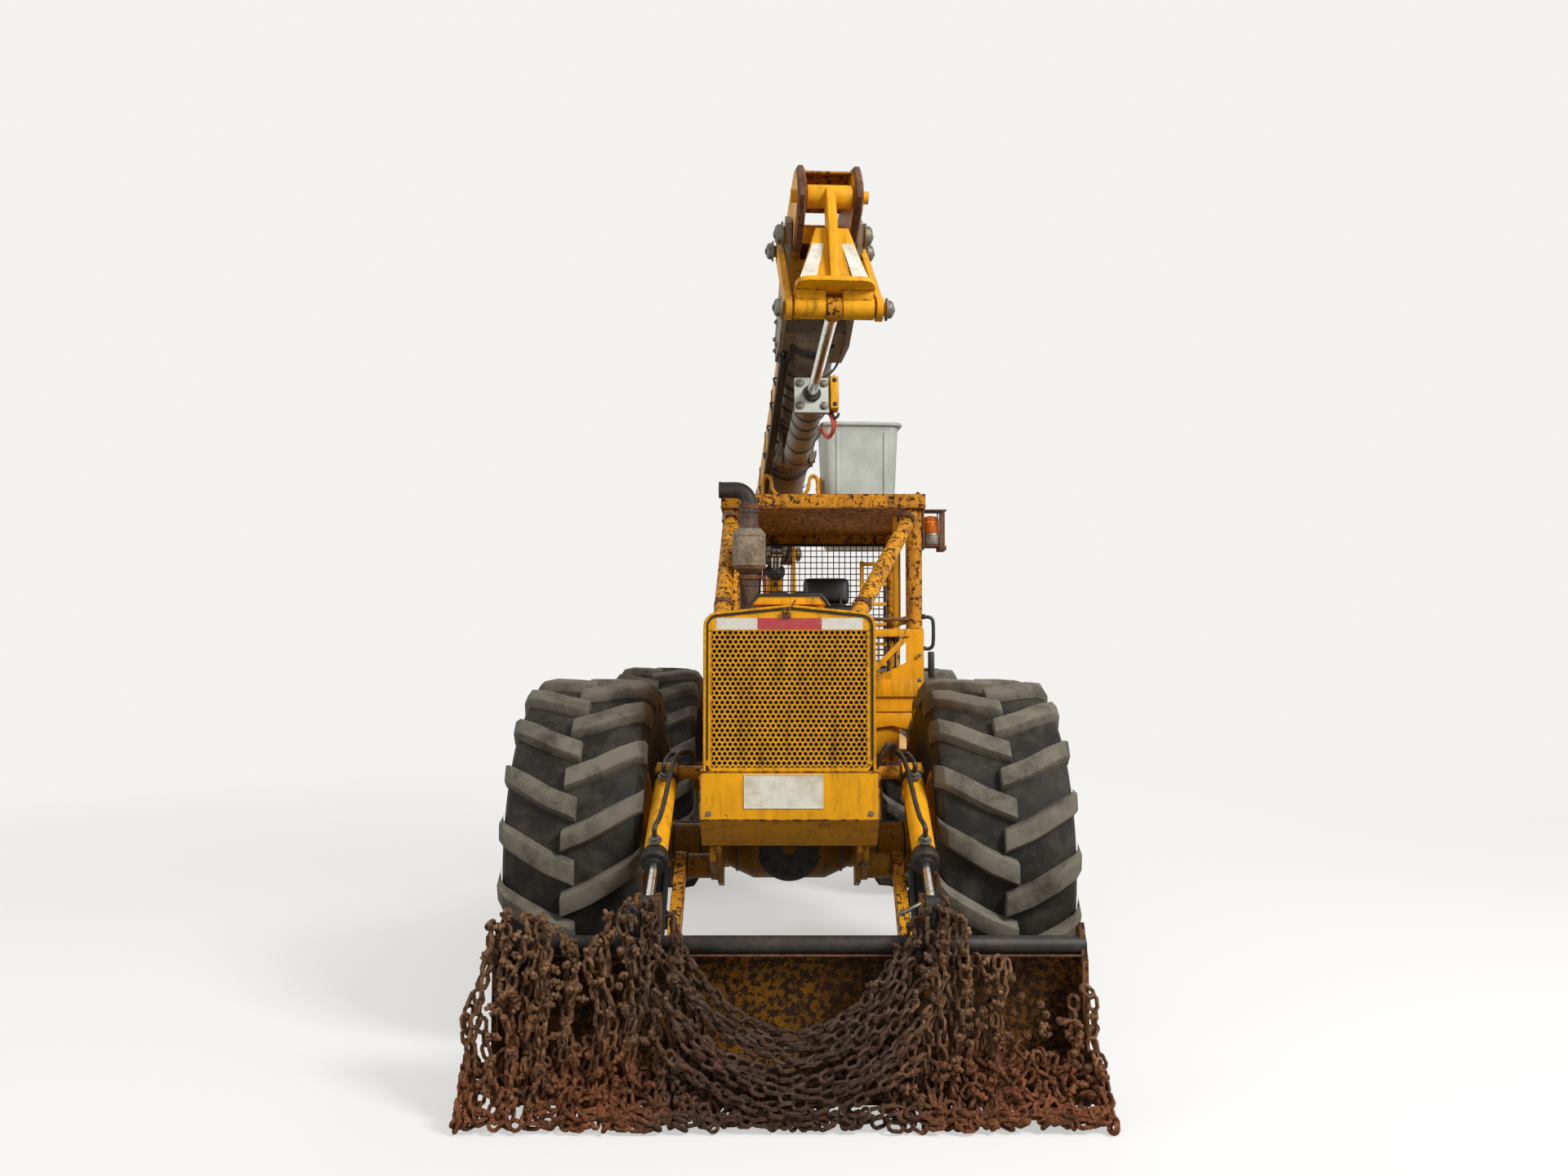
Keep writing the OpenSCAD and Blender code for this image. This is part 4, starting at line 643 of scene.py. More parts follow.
def make_wheels():
    """Tyres, and the lock ring and nuts of each rim."""
    for end, y in (("front", -AXLE_Y), ("rear", AXLE_Y)):
        for hand, side in (("left", 1), ("right", -1)):
            make_tyre(side, y, end, hand)
            centre = Vector((side * TRACK_X, y, AXLE_Z))
            parts = []
            for count, first, out, radius, size, height in ((10, 0, 0.0625, 0.225, 0.019, 0.018),
                                                            (8, 0.5, 0.125, 0.055, 0.008, 0.008)):
                for i in range(count):
                    a = (i + first) * math.tau / count
                    spot = centre + Vector((side * out, radius * math.cos(a), radius * math.sin(a)))
                    parts.append(nut(spot, (side, 0, 0), size, height))
            dress(parts, f"wheel_nuts_{end}_{hand}", "zinc", f"wheel_{end}_{hand}", "steel")
            dress(turned([(0.205, 0.322), (0.222, 0.327), (0.229, 0.318), (0.222, 0.309), (0.205, 0.312),
                          (0.205, 0.322)], centre, (side, 0, 0), 72),
                  f"rim_lock_ring_{end}_{hand}", "paint_deep", f"wheel_{end}_{hand}", "paint")


# Chains over the blade
def link_template():
    """One forged chain link lying along X: a stretched ring of round bar."""
    held = bpy.context.scene.skidder_sizes
    clear()
    bpy.ops.mesh.primitive_torus_add(major_radius=held.link_width / 2 - held.link_wire,
                                     minor_radius=held.link_wire, major_segments=10, minor_segments=5)
    obj = bpy.context.object
    stretch = (held.link_length - held.link_width) / 2
    for vertex in obj.data.vertices:
        vertex.co.x += stretch if vertex.co.x > 0.001 else (-stretch if vertex.co.x < -0.001 else 0)
    return place_in_mesh(obj)


def strand(points, pitch, rng, wobble=0.004, first=0.0):
    """Places for the links of a chain that follows points, each link a quarter turn from the last."""
    points = [Vector(p) for p in points]
    lengths = [0.0]
    for a, b in zip(points, points[1:]):
        lengths.append(lengths[-1] + (b - a).length)
    places = []
    at = first + pitch / 2
    number = rng.randint(0, 1)
    while at < lengths[-1]:
        k = max(i for i, held in enumerate(lengths) if held <= at)
        k = min(k, len(points) - 2)
        span = max(lengths[k + 1] - lengths[k], 1e-6)
        spot = points[k].lerp(points[k + 1], (at - lengths[k]) / span)
        along_way = (points[k + 1] - points[k]).normalized()
        turn = along_way.to_track_quat("X", "Z").to_matrix().to_4x4()
        roll = math.radians(45 + 90 * number) + rng.uniform(-0.35, 0.35)
        tilt = Matrix.Rotation(rng.uniform(-0.22, 0.22), 4, "Z")
        tilt = tilt @ Matrix.Rotation(rng.uniform(-0.22, 0.22), 4, "Y")
        shift = Vector((rng.uniform(-1, 1), rng.uniform(-1, 1), rng.uniform(-1, 1))) * wobble
        spot += shift
        spot.z = max(spot.z, 0.026)
        places.append(Matrix.Translation(spot) @ turn @ Matrix.Rotation(roll, 4, "X") @ tilt)
        number += 1
        at += pitch
    return places


HEAP_EDGE = [(-1.24, 0.30), (-1.19, 0.58), (-1.13, 0.72), (-1.04, 0.77), (-0.95, 0.76), (-0.88, 0.69),
             (-0.80, 0.64), (-0.74, 0.66), (-0.68, 0.76), (-0.60, 0.80), (-0.50, 0.80), (-0.44, 0.74),
             (-0.40, 0.60), (-0.34, 0.47), (-0.27, 0.39), (-0.15, 0.32), (-0.02, 0.29), (0.10, 0.32),
             (0.22, 0.41), (0.33, 0.53), (0.41, 0.66), (0.49, 0.77), (0.58, 0.80), (0.64, 0.78),
             (0.70, 0.64), (0.76, 0.55), (0.80, 0.62), (0.86, 0.64), (0.90, 0.47), (0.98, 0.40),
             (1.04, 0.36), (1.08, 0.48), (1.13, 0.52), (1.17, 0.2)]


def chain_top(x):
    """Height of the chain heap's upper edge over the blade."""
    for (a, low), (b, high) in zip(HEAP_EDGE, HEAP_EDGE[1:]):
        if a <= x <= b:
            return low + (high - low) * (x - a) / (b - a)
    return 0.2


def hang(x, top, layer, rng):
    """Path of one chain that hangs from the blade's edge, drifts sideways and folds on the ground."""
    lean = rng.uniform(-0.10, 0.10)
    sway, phase = rng.uniform(0.008, 0.030), rng.uniform(0, 6.3)
    out = 0.026 * layer
    foot = -2.85 - 0.035 * layer - rng.uniform(0, 0.04)
    knots = [(x, -2.665, top - 0.03)] if top > 0.6 else []
    knots += [(x + 0.1 * lean, -2.715 - out, top)]
    steps = 9
    for i in range(1, steps):
        t = i / steps
        z = top + (0.06 - top) * t
        y = -2.72 - out + (foot + 0.06 + 2.72 + out) * t ** 1.6
        knots.append((x + lean * t + sway * math.sin(phase + 7 * t), y + rng.uniform(-0.008, 0.008), z))
    knots += [(x + lean, foot, 0.034), (x + lean + rng.uniform(-0.08, 0.08), foot - 0.03, 0.03)]
    return [(min(1.16, max(-1.21, px)), max(-2.915, py), pz) for px, py, pz in knots]


def sag(x0, z0, x1, z1, low, y, rng, count=16):
    """Path of a chain slung between two points."""
    path = []
    for i in range(count + 1):
        t = i / count
        dip = (1 - (2 * t - 1) ** 2)
        z = z0 + (z1 - z0) * t
        path.append((x0 + (x1 - x0) * t, y - 0.05 * dip + rng.uniform(-0.006, 0.006),
                     z + (low - min(z0, z1)) * dip))
    return path


def make_chains():
    """Tyre chains heaped over the blade: hanging runs, slung runs in the middle and a heap on the ground."""
    held = bpy.context.scene.skidder_sizes
    rng = random.Random(7)
    pitch = held.link_length - 2.3 * held.link_wire
    groups = {"left": [], "right": [], "heap": []}
    for layer in range(2):
        for i in range(held.hanging_runs):
            x = -1.2 + i * 2.36 / (held.hanging_runs - 1) + rng.uniform(-0.02, 0.02)
            bare = 0.84 < x < 1.05 and rng.random() < 0.6
            if abs(x) < 0.36 or bare:
                continue
            top = chain_top(x) - 0.04 * rng.random() - (0.03 if layer == 0 else 0)
            run = strand(hang(x, top, layer, rng), pitch, rng)
            groups["left" if x < 0 else "right"] += run
    for k in range(10):
        spread = rng.uniform(-0.06, 0.06)
        low = 0.29 - 0.026 * k
        run = sag(-0.45 + spread, 0.66 - 0.045 * k, 0.49 + spread, 0.69 - 0.045 * k,
                  low + rng.uniform(-0.015, 0.015), -2.74 - 0.014 * k, rng)
        groups["heap"] += strand(run, pitch, rng)
    for _ in range(held.heap_runs):
        x, y = rng.uniform(-1.17, 1.08), rng.uniform(-2.90, -2.78)
        heading = rng.uniform(0, math.tau)
        path = []
        for _ in range(9):
            ceiling = min(chain_top(x) * 0.6, 0.30) * max(0.0, (y + 2.94) / 0.2)
            path.append((x, y, 0.026 + rng.uniform(0.2, 1.0) * ceiling))
            heading += rng.uniform(-0.9, 0.9)
            x = min(1.13, max(-1.20, x + 0.06 * math.cos(heading)))
            y = min(-2.76, max(-2.905, y + 0.035 * math.sin(heading)))
        groups["heap"] += strand(path, pitch, rng)
    for name, places in groups.items():
        dress(copies(link_template(), places), f"tyre_chain_{name}", "chain", "blade", "chain",
              hides=("tyre_chains",) if name == "heap" else (), angle=60)
    studs = []
    for _ in range(260):
        x = rng.choice((-1, 1)) * rng.uniform(0.3, 1.15)
        top = chain_top(x)
        z = rng.uniform(0.05, max(0.1, top))
        y = -2.755 - 0.13 * (1 - z / max(top, 0.2)) ** 1.4 - rng.uniform(0, 0.05)
        turn = Matrix.Rotation(rng.uniform(0, 6.3), 4, "Z") @ Matrix.Rotation(rng.uniform(0.6, 2.4), 4, "X")
        studs.append(Matrix.Translation((x, max(-2.92, y), z)) @ turn)
    peg = join([rod((0, 0, -0.022), (0, 0, 0.022), 0.0095, 8, 0.002),
                rod((0, 0, -0.005), (0, 0, 0.005), 0.015, 8)])
    dress(copies(peg, studs), "tyre_chain_studs", "chain", "blade", "chain")
    shackles = []
    for x, drop in ((-0.60, 0.66), (0.565, 0.67)):
        shackles += [pipe([(x - 0.026, -2.715, drop), (x - 0.028, -2.735, drop + 0.06),
                           (x - 0.02, -2.73, drop + 0.105), (x + 0.02, -2.73, drop + 0.105),
                           (x + 0.028, -2.735, drop + 0.06), (x + 0.026, -2.715, drop)], 0.012, 12,
                          smooth=2),
                     rod((x - 0.05, -2.70, drop), (x + 0.05, -2.70, drop), 0.011, 14, 0.002)]
    bolt = rod((0.43, -2.68, 0.735), (0.50, -2.66, 0.765), 0.008, 12, 0.002)
    dress(shackles, "chain_shackles", "cast", "blade", "chain")
    dress([bolt, nut((0.43, -2.68, 0.735), (-0.7, -0.2, -0.3), 0.012, 0.012)],
          "chain_hook_bolt", "zinc", "blade", "chain")


# Blade, its arms and cylinders
def make_blade():
    """Bolts of the blade's cutting edge, its weld beads and top pipe, and the pins of its cylinders."""
    dress([nut((x, -2.6665, 0.085), (0, -1, 0.12), 0.017, 0.014) for x in np.arange(-1.02, 1.03, 0.17)],
          "cutting_edge_bolts", "steel", "blade", "steel")
    dress([both(pipe([(1.112, -2.697, 0.05), (1.112, -2.698, 0.55), (1.112, -2.645, 0.675)], 0.006,
                     8)), pipe([(-1.11, -2.686, 0.575), (1.11, -2.686, 0.575)], 0.005, 8)],
          "blade_weld_beads", "rust", "blade", "rust")
    dress(rod((-1.131, -2.65, 0.608), (1.131, -2.65, 0.608), 0.0345, 36, 0.004),
          "blade_top_pipe", "cast", "blade", "cast")
    pins = []
    for side in SIDES:
        pins += [rod((side * 0.505, -2.6, 0.744), (side * 0.60, -2.6, 0.744), 0.024, 24, 0.004),
                 pipe([(side * 0.596, -2.6, 0.744), (side * 0.612, -2.607, 0.742),
                       (side * 0.618, -2.62, 0.73)], 0.004, 8),
                 nut((side * 0.6, -2.6, 0.744), (side, 0, 0), 0.019, 0.012)]
    dress(pins, "blade_cylinder_pins", "zinc", "blade", "steel")


def make_blade_rams():
    """Glands, hose ports, weld rings and hoses on the two blade cylinders."""
    glands, ports, hoses, eyes = [], [], [], []
    for side in SIDES:
        top, eye = Vector((side * 0.552, -1.87, 1.18)), Vector((side * 0.552, -2.6, 0.744))
        way = (eye - top).normalized()
        up = Vector((0, way.z, -way.y))
        for first, last, radius, sides, bevel in ((0.562, 0.612, 0.058, 32, 0.006),
                                                  (0.545, 0.565, 0.052, 32, 0.003),
                                                  (0.045, 0.085, 0.055, 32, 0.008),
                                                  (0.605, 0.625, 0.036, 24, 0.004)):
            glands.append(rod(top + way * first, top + way * last, radius, sides, bevel))
        for share in (0.11, 0.54):
            foot = top + way * share
            ports += [rod(foot, foot + up * 0.078, 0.017, 16, 0.002),
                      nut(foot + up * 0.062, up, 0.02, 0.022)]
        for share, drift in ((0.11, 0.0), (0.54, 0.012)):
            foot = top + way * share + up * 0.085
            inwards = Vector((-side, 0, 0))
            hoses.append(pipe([foot, foot + up * 0.05,
                               top + way * (share - 0.10) + up * 0.11 + inwards * 0.02,
                               top + way * 0.02 + up * (0.115 + drift) + inwards * (0.03 + drift),
                               (side * 0.46, -1.80, 1.26 + drift)], HOSE, 12, smooth=3))
        eyes.append(turned([(-0.0285, 0.026), (-0.0285, 0.040), (0.0285, 0.040), (0.0285, 0.026)], eye,
                           AXIS_X, 32))
    dress(glands, "blade_ram_glands", "cast", "blade_barrels", "cast")
    dress(ports, "blade_ram_ports", "zinc", "blade_barrels", "steel")
    dress(hoses, "blade_ram_hoses", "rubber", "blade_barrels", "black")
    dress(eyes, "blade_ram_eyes", "cast", "blade_rods", "cast")


# Nose, grille and hood
def perforated(low_x, low_z, pitch, columns, rows, hole, front, depth):
    """A sheet of staggered round holes, one six-sided cell for each hole, facing -Y."""
    points, faces = [], []
    step_z = pitch * math.sqrt(3) / 2
    outer_r = pitch / math.sqrt(3)
    for row in range(rows):
        for column in range(columns - (row % 2)):
            cx = low_x + (column + 0.5 + 0.5 * (row % 2)) * pitch
            cz = low_z + (row + 0.5) * step_z
            base = len(points)
            turns = [math.radians(30 * i) for i in range(12)]
            reaches = (outer_r * math.cos(math.radians(30)), outer_r)
            points += [(cx + reaches[i % 2] * math.cos(a), front, cz + reaches[i % 2] * math.sin(a))
                       for i, a in enumerate(turns)]
            points += [(cx + hole * math.cos(a), y, cz + hole * math.sin(a)) for y in (front, front + depth)
                       for a in turns]
            for i in range(12):
                j = (i + 1) % 12
                faces += [(base + k + i, base + k + j, base + k + 12 + j, base + k + 12 + i)
                          for k in (0, 12)]
    return edited(mesh_of(points, faces), ("remove_doubles", {"threshold": 0.0004}))


def hood_line(inset, low=1.212):
    """The hood's front outline in (x, z), from the lower left corner round to the lower right."""
    half, top, r = 0.37 - inset, 1.895 - inset, 0.06 - min(inset, 0.03)
    line = [(-half, low)]
    for i in range(7):
        a = math.radians(180 - 14 * i)
        line.append((-half + r + r * math.cos(a), top - r + r * math.sin(a)))
    line.append((0.0, top + 0.032))
    return line + [(-x, z) for x, z in reversed(line[:-1])]


def make_grille():
    """Perforated nose sheet with its plain border, lip, gasket and tape, and the radiator behind it, near
    black as painted shade seen through the holes.
    """
    front = -2.1215
    held = bpy.context.scene.skidder_sizes
    pitch = held.grille_pitch
    columns, rows = 30, 30
    low_x, low_z = -0.349, 1.2165
    high_x = low_x + columns * pitch
    high_z = low_z + rows * pitch * math.sqrt(3) / 2 + 0.003
    sheet = perforated(low_x, low_z, pitch, columns, rows, held.grille_hole, front, 0.003)
    edge = 0.366
    inner_l, inner_r = low_x + 0.012, high_x - 0.012
    low, top = low_z + 0.012, high_z - 0.004
    top_line = [(x, z) for x, z in hood_line(0.004) if z > high_z - 0.002]
    border = [[(-edge, high_z - 0.006)] + top_line + [(edge, high_z - 0.006)]]
    border += [[(a, low_z + 0.03), (b, low), (b, top), (a, top)]
               for a, b in ((-edge, inner_l), (inner_r, edge))]
    border += [[(-edge, low_z + 0.03), (-0.335, 1.2125), (0.335, 1.2125), (edge, low_z + 0.03),
                (inner_r, low), (inner_l, low)]]
    strips = [plate([(x, front - 0.0004, z) for x, z in line], (0, 0.003, 0), 0) for line in border]
    dress([sheet] + strips, "grille_sheet", "paint", "root", "paint", hides=("grille",), angle=20)
    for name, key, slot, y, line, radius in (("hood_front_lip", "paint", "paint", -2.126, hood_line(0.003),
                                              0.0065),
                                             ("hood_gasket", "trim", "black", -2.1245,
                                              hood_line(0.014, 1.26), 0.0042)):
        dress(pipe([(x, y, z) for x, z in line], radius, 8), name, key, "root", slot)
    # The core and tanks take the near-black finish, painted shade behind the grille's holes.
    core = [block((-0.345, -2.085, 1.25), (0.345, -2.04, 1.80), 0.004)]
    for i in range(47):
        x = -0.335 + i * 0.67 / 46
        core.append(block((x - 0.0012, -2.092, 1.26), (x + 0.0012, -2.083, 1.79), 0))
    dress(core, "radiator_core", "black", "root", "cast")
    dress([block((-0.35, -2.094, 1.795), (0.35, -2.03, 1.865), 0.01),
           block((-0.35, -2.094, 1.225), (0.35, -2.03, 1.285), 0.01)],
          "radiator_tanks", "black", "root", "cast")
    dress(moved(block((-0.343, -2.1232, 1.822), (0.291, -2.1219, 1.872), 0.0),
                Matrix.Translation((0.026, 0, 0))), "reflective_tape", "tape", "root", "paint", angle=0)


def make_nose():
    """Blank sign plate with its rim, folded edges and bolts of the lower nose box."""
    y = -2.1203
    dress(block((-0.197, y - 0.0022, 1.052), (0.146, y, 1.197), 0.0),
          "blank_sign_plate", "plate", "root", "paint", angle=0)
    dress(pipe([(-0.1955, y - 0.0028, 1.0535), (0.1445, y - 0.0028, 1.0535), (0.1445, y - 0.0028, 1.1955),
                (-0.1955, y - 0.0028, 1.1955)], 0.0022, 8, closed=True),
          "blank_sign_rim", "patch", "root", "paint")
    dress([both(pipe([(0.386, -2.119, 1.005), (0.386, -2.119, 1.207)], 0.004, 8)),
           pipe([(-0.385, -2.119, 1.003), (0.385, -2.119, 1.003)], 0.005, 8),
           pipe([(-0.385, -2.1195, 1.209), (0.385, -2.1195, 1.209)], 0.004, 8)],
          "nose_folds", "paint_rust", "root", "paint")
    bolts = [nut((x, -2.1205, 1.03), (0, -1, 0), 0.009, 0.007) for x in (-0.35, 0.35)]
    bolts += [nut((side * 0.3865, y2, 1.18), (side, 0, 0), 0.009, 0.007) for side in SIDES
              for y2 in (-2.09, -2.02)]
    dress(bolts, "nose_bolts", "zinc", "root", "steel")


def make_hood():
    """Air scoop with its black trim, latch, louvres, hinge rods and bolts of the hood."""
    z = 1.933
    dress(plate([(-0.165, -2.02, z), (-0.135, -2.02, z + 0.038), (0.135, -2.02, z + 0.038),
                 (0.165, -2.02, z)], (0, 0.42, 0), 0.006), "hood_scoop", "paint", "root", "paint")
    trim = pipe([(-0.178, -2.024, z - 0.006), (-0.158, -2.024, z + 0.024), (-0.138, -2.024, z + 0.044),
                 (0.138, -2.024, z + 0.044), (0.158, -2.024, z + 0.024), (0.178, -2.024, z - 0.006)],
                0.0065, 10)
    dress(trim, "hood_scoop_trim", "trim", "root", "black")
    latch = [pipe([(-0.012, -2.128, 1.885), (-0.008, -2.142, 1.90), (0.012, -2.13, 1.925),
                   (0.026, -2.12, 1.952)], 0.005, 8, smooth=2),
             block((-0.032, -2.134, 1.872), (0.006, -2.124, 1.896), 0.003),
             pipe([(-0.026, -2.133, 1.88), (-0.03, -2.145, 1.905), (-0.012, -2.137, 1.915)], 0.0035, 8,
                  smooth=2)]
    dress(latch, "hood_latch", "rust", "root", "rust")
    louvres = []
    for side in SIDES:
        for row in range(7):
            zz = 1.34 + row * 0.062
            lip = plate([(side * 0.3702, -1.95, zz), (side * 0.388, -1.95, zz - 0.012),
                         (side * 0.3702, -1.95, zz - 0.034)], (0, 0.30, 0), 0.002)
            louvres.append(lip)
    dress(louvres, "hood_louvres", "paint", "root", "paint")
    seams = []
    for side in SIDES:
        seams.append(pipe([(side * 0.371, -2.10, 1.832), (side * 0.371, -0.83, 1.832)], 0.004, 8))
        for y in (-1.9, -1.4, -0.95):
            seams.append(rod((side * 0.3725, y - 0.05, 1.836), (side * 0.3725, y + 0.05, 1.836), 0.008, 12,
                             0.002))
        for y in (-2.0, -1.65, -1.25, -0.9):
            seams.append(nut((side * 0.37, y, 1.26), (side, 0, 0), 0.009, 0.007))
    dress(seams, "hood_hinges_and_bolts", "paint_deep", "root", "paint")


# Cab
def mesh_panel(corners, pitch, radius):
    """Welded wire in a four-sided panel: corners run round, wires follow both directions."""
    a, b, c, d = (Vector(p) for p in corners)
    wires = []
    for p0, p1, q0, q1 in ((a, b, d, c), (a, d, b, c)):
        count = max(2, round((p1 - p0).length / pitch))
        for i in range(count + 1):
            t = i / count
            wires.append(rod(p0.lerp(p1, t), q0.lerp(q1, t), radius, 6))
    return join(wires)


def make_cab_mesh():
    """Rear screen of dark crimped wire in its frame, and the small triangular window's wire."""
    y = 0.4855
    held = bpy.context.scene.skidder_sizes
    frame_bars = [rod(p, q, 0.0095, 10)
                  for p, q in (((-0.262, y, 1.61), (0.641, y, 1.61)), ((-0.262, y, 2.41), (0.641, y, 2.41)),
                               ((-0.257, y, 1.605), (-0.257, y, 2.415)),
                               ((0.636, y, 1.605), (0.636, y, 2.415)))]
    net = mesh_panel([(-0.257, y, 1.61), (0.636, y, 1.61), (0.636, y, 2.41), (-0.257, y, 2.41)],
                     held.screen_pitch, held.screen_wire)
    dress(frame_bars + [net], "rear_screen_mesh", "wire", "root", "black", hides=("cab_rear_screen",))
    y = -0.826
    tri = []
    left, right, low, high = 0.376, 0.622, 1.555, 1.80
    for i in range(8):
        x = left + 0.014 + i * 0.032
        bottom = low + (high - low) * max(0.0, (x - left)) / (right - left)
        if bottom < high - 0.01:
            tri.append(rod((x, y, bottom), (x, y, high + 0.012), 0.0032, 6))
    for i in range(8):
        z = low + 0.02 + i * 0.0315
        reach = left + (right - left) * min(1.0, (z - low) / (high - low))
        if reach > left + 0.02:
            tri.append(rod((left, y + 0.004, z), (reach, y + 0.004, z), 0.0032, 6))
    dress(tri, "front_window_wire", "paint_deep", "root", "paint")


def make_cab_front():
    """Panels between the hood and the left post: window frame, plain ribs and the arched lower plate."""
    y = -0.8302
    ribs = [plate([(0.372, y, 1.80), (0.66, y, 1.80), (0.66, y, 1.843), (0.372, y, 1.843)], (0, -0.022, 0),
                  0.004),
            plate([(0.372, y, 1.548), (0.395, y, 1.53), (0.66, y, 1.795), (0.632, y, 1.812)],
                  (0, -0.007, 0), 0.002),
            plate([(0.372, y, 1.40), (0.374, y, 1.80), (0.388, y, 1.80), (0.388, y, 1.40)], (0, -0.008, 0),
                  0.002),
            plate([(0.45, y, 1.475), (0.72, y, 1.475), (0.72, y, 1.572), (0.45, y, 1.572)], (0, -0.008, 0),
                  0.006),
            plate([(0.372, y, 1.395), (0.736, y, 1.395), (0.736, y, 1.415), (0.372, y, 1.405)],
                  (0, -0.014, 0), 0.003)]
    dress(ribs, "cab_front_ribs", "paint", "root", "paint")
    arch = [(0.374, 1.39), (0.736, 1.39), (0.736, 1.16), (0.70, 1.24), (0.64, 1.30), (0.56, 1.32),
            (0.48, 1.31), (0.44, 1.27), (0.42, 1.20), (0.41, 1.0), (0.374, 1.0)]
    dress(plate([(x, -0.842, z) for x, z in arch], (0, -0.008, 0), 0.002),
          "cab_front_arch", "paint", "root", "paint")
    dress([nut((x, -0.838, z), (0, -1, 0), 0.008, 0.006)
           for x, z in ((0.40, 1.36), (0.55, 1.36), (0.71, 1.36), (0.71, 1.44), (0.71, 1.70), (0.395, 1.44),
                        (0.46, 1.482), (0.71, 1.482), (0.46, 1.565), (0.71, 1.565))],
          "cab_front_bolts", "zinc", "root", "steel")


def make_cab_body():
    """Weld collars, inner post, cross rod, ladder, roof lip, gussets, bolts and step grips of the cab."""
    collars = []
    for p, q in (((-0.312, -0.755, 2.53), (-0.318, -1.64, 1.85)),
                 ((0.691, -0.755, 2.53), (0.30, -1.64, 1.85))):
        for t in (0.14, 0.86):
            spot, way = Vector(p).lerp(Vector(q), t), (Vector(q) - Vector(p)).normalized()
            collars.append(turned([(-0.016, 0.0445), (-0.013, 0.0475), (0.013, 0.0475), (0.016, 0.0445)],
                                  spot, way, 32))
    dress(collars, "brace_weld_collars", "rust", "root", "rust")
    dress([rod((0.602, -0.70, 1.86), (0.602, -0.70, 2.47), 0.021, 20),
           rod((0.602, -0.70, 2.42), (0.69, -0.755, 2.5), 0.021, 20),
           rod((-0.312, -0.755, 2.14), (-0.255, -0.79, 2.14), 0.018, 16)],
          "cab_inner_post", "paint", "root", "paint")
    dress([rod((0.20, -0.87, 1.90), (0.664, -0.78, 1.895), 0.009, 12),
           rod((0.64, -0.78, 1.895), (0.668, -0.76, 1.895), 0.014, 12)],
          "cab_cross_rod", "rust", "root", "rust")
    rungs = []
    for i in range(6):
        z = 1.62 + i * 0.13
        rungs.append(block((0.47, 0.41, z), (0.642, 0.44, z + 0.022), 0.004))
    rungs += [block((0.47, 0.405, 1.60), (0.495, 0.445, 2.30), 0.004)]
    dress(rungs, "cab_side_ladder", "paint", "root", "paint")
    x0, x1 = -0.367, 0.746
    lip = [pipe([(x0 + 0.01, -0.846, 2.506), (x1 - 0.01, -0.846, 2.506)], 0.009, 10)]
    lip += [pipe([(x, -0.84, 2.508), (x, 0.54, 2.422)], 0.008, 10) for x in (x0 + 0.004, x1 - 0.004)]
    dress(lip, "roof_lip", "paint_rust", "root", "paint")
    gussets = []
    for x, way in ((-0.357, 1), (0.736, -1)):
        for y0, sign in ((-0.80, 1), (0.50, -1)):
            z = 2.49 if y0 < 0 else 2.40
            gussets.append(plate([(x + way * 0.045, y0, z), (x + way * 0.045, y0 + sign * 0.16, z - 0.005),
                                  (x + way * 0.045, y0, z - 0.16)], (way * 0.008, 0, 0), 0.001))
    dress(gussets, "roof_gussets", "paint_rust", "root", "paint")
    dress([nut((x, y, 2.5845 - 0.0621 * (y + 0.85)), (0, 0.062, 1), 0.011, 0.009)
           for x in (-0.33, 0.19, 0.71) for y in (-0.80, -0.1, 0.5)], "roof_bolts", "rust", "root", "rust")
    grips = []
    for low, high, z in ((0.705, 0.835, 0.822), (0.625, 0.795, 1.042)):
        for i in range(13):
            y = -0.43 + i * 0.0465
            grips.append(block((low, y, z - 0.001), (high, y + 0.010, z + 0.006), 0.0015))
    dress(grips, "step_grip_bars", "steel", "root", "paint")


def cushion(low, high, crown):
    """A padded vinyl cushion: a crowned closed form with its sides drawn in."""
    low, high = Vector(low), Vector(high)
    obj = apply(block(low, high, 0), "BEVEL", width=min(high - low) * 0.32, segments=3)
    apply(obj, "SUBSURF", levels=2, render_levels=2)
    mid = (low + high) / 2
    half = (high - low) / 2
    for vertex in obj.data.vertices:
        u = [(vertex.co[i] - mid[i]) / half[i] for i in range(3)]
        for i in range(3):
            if half[i] == min(half):
                rise = crown * (1 - u[(i + 1) % 3] ** 2) * (1 - u[(i + 2) % 3] ** 2)
                vertex.co[i] += rise if u[i] > 0 else -rise
    return obj


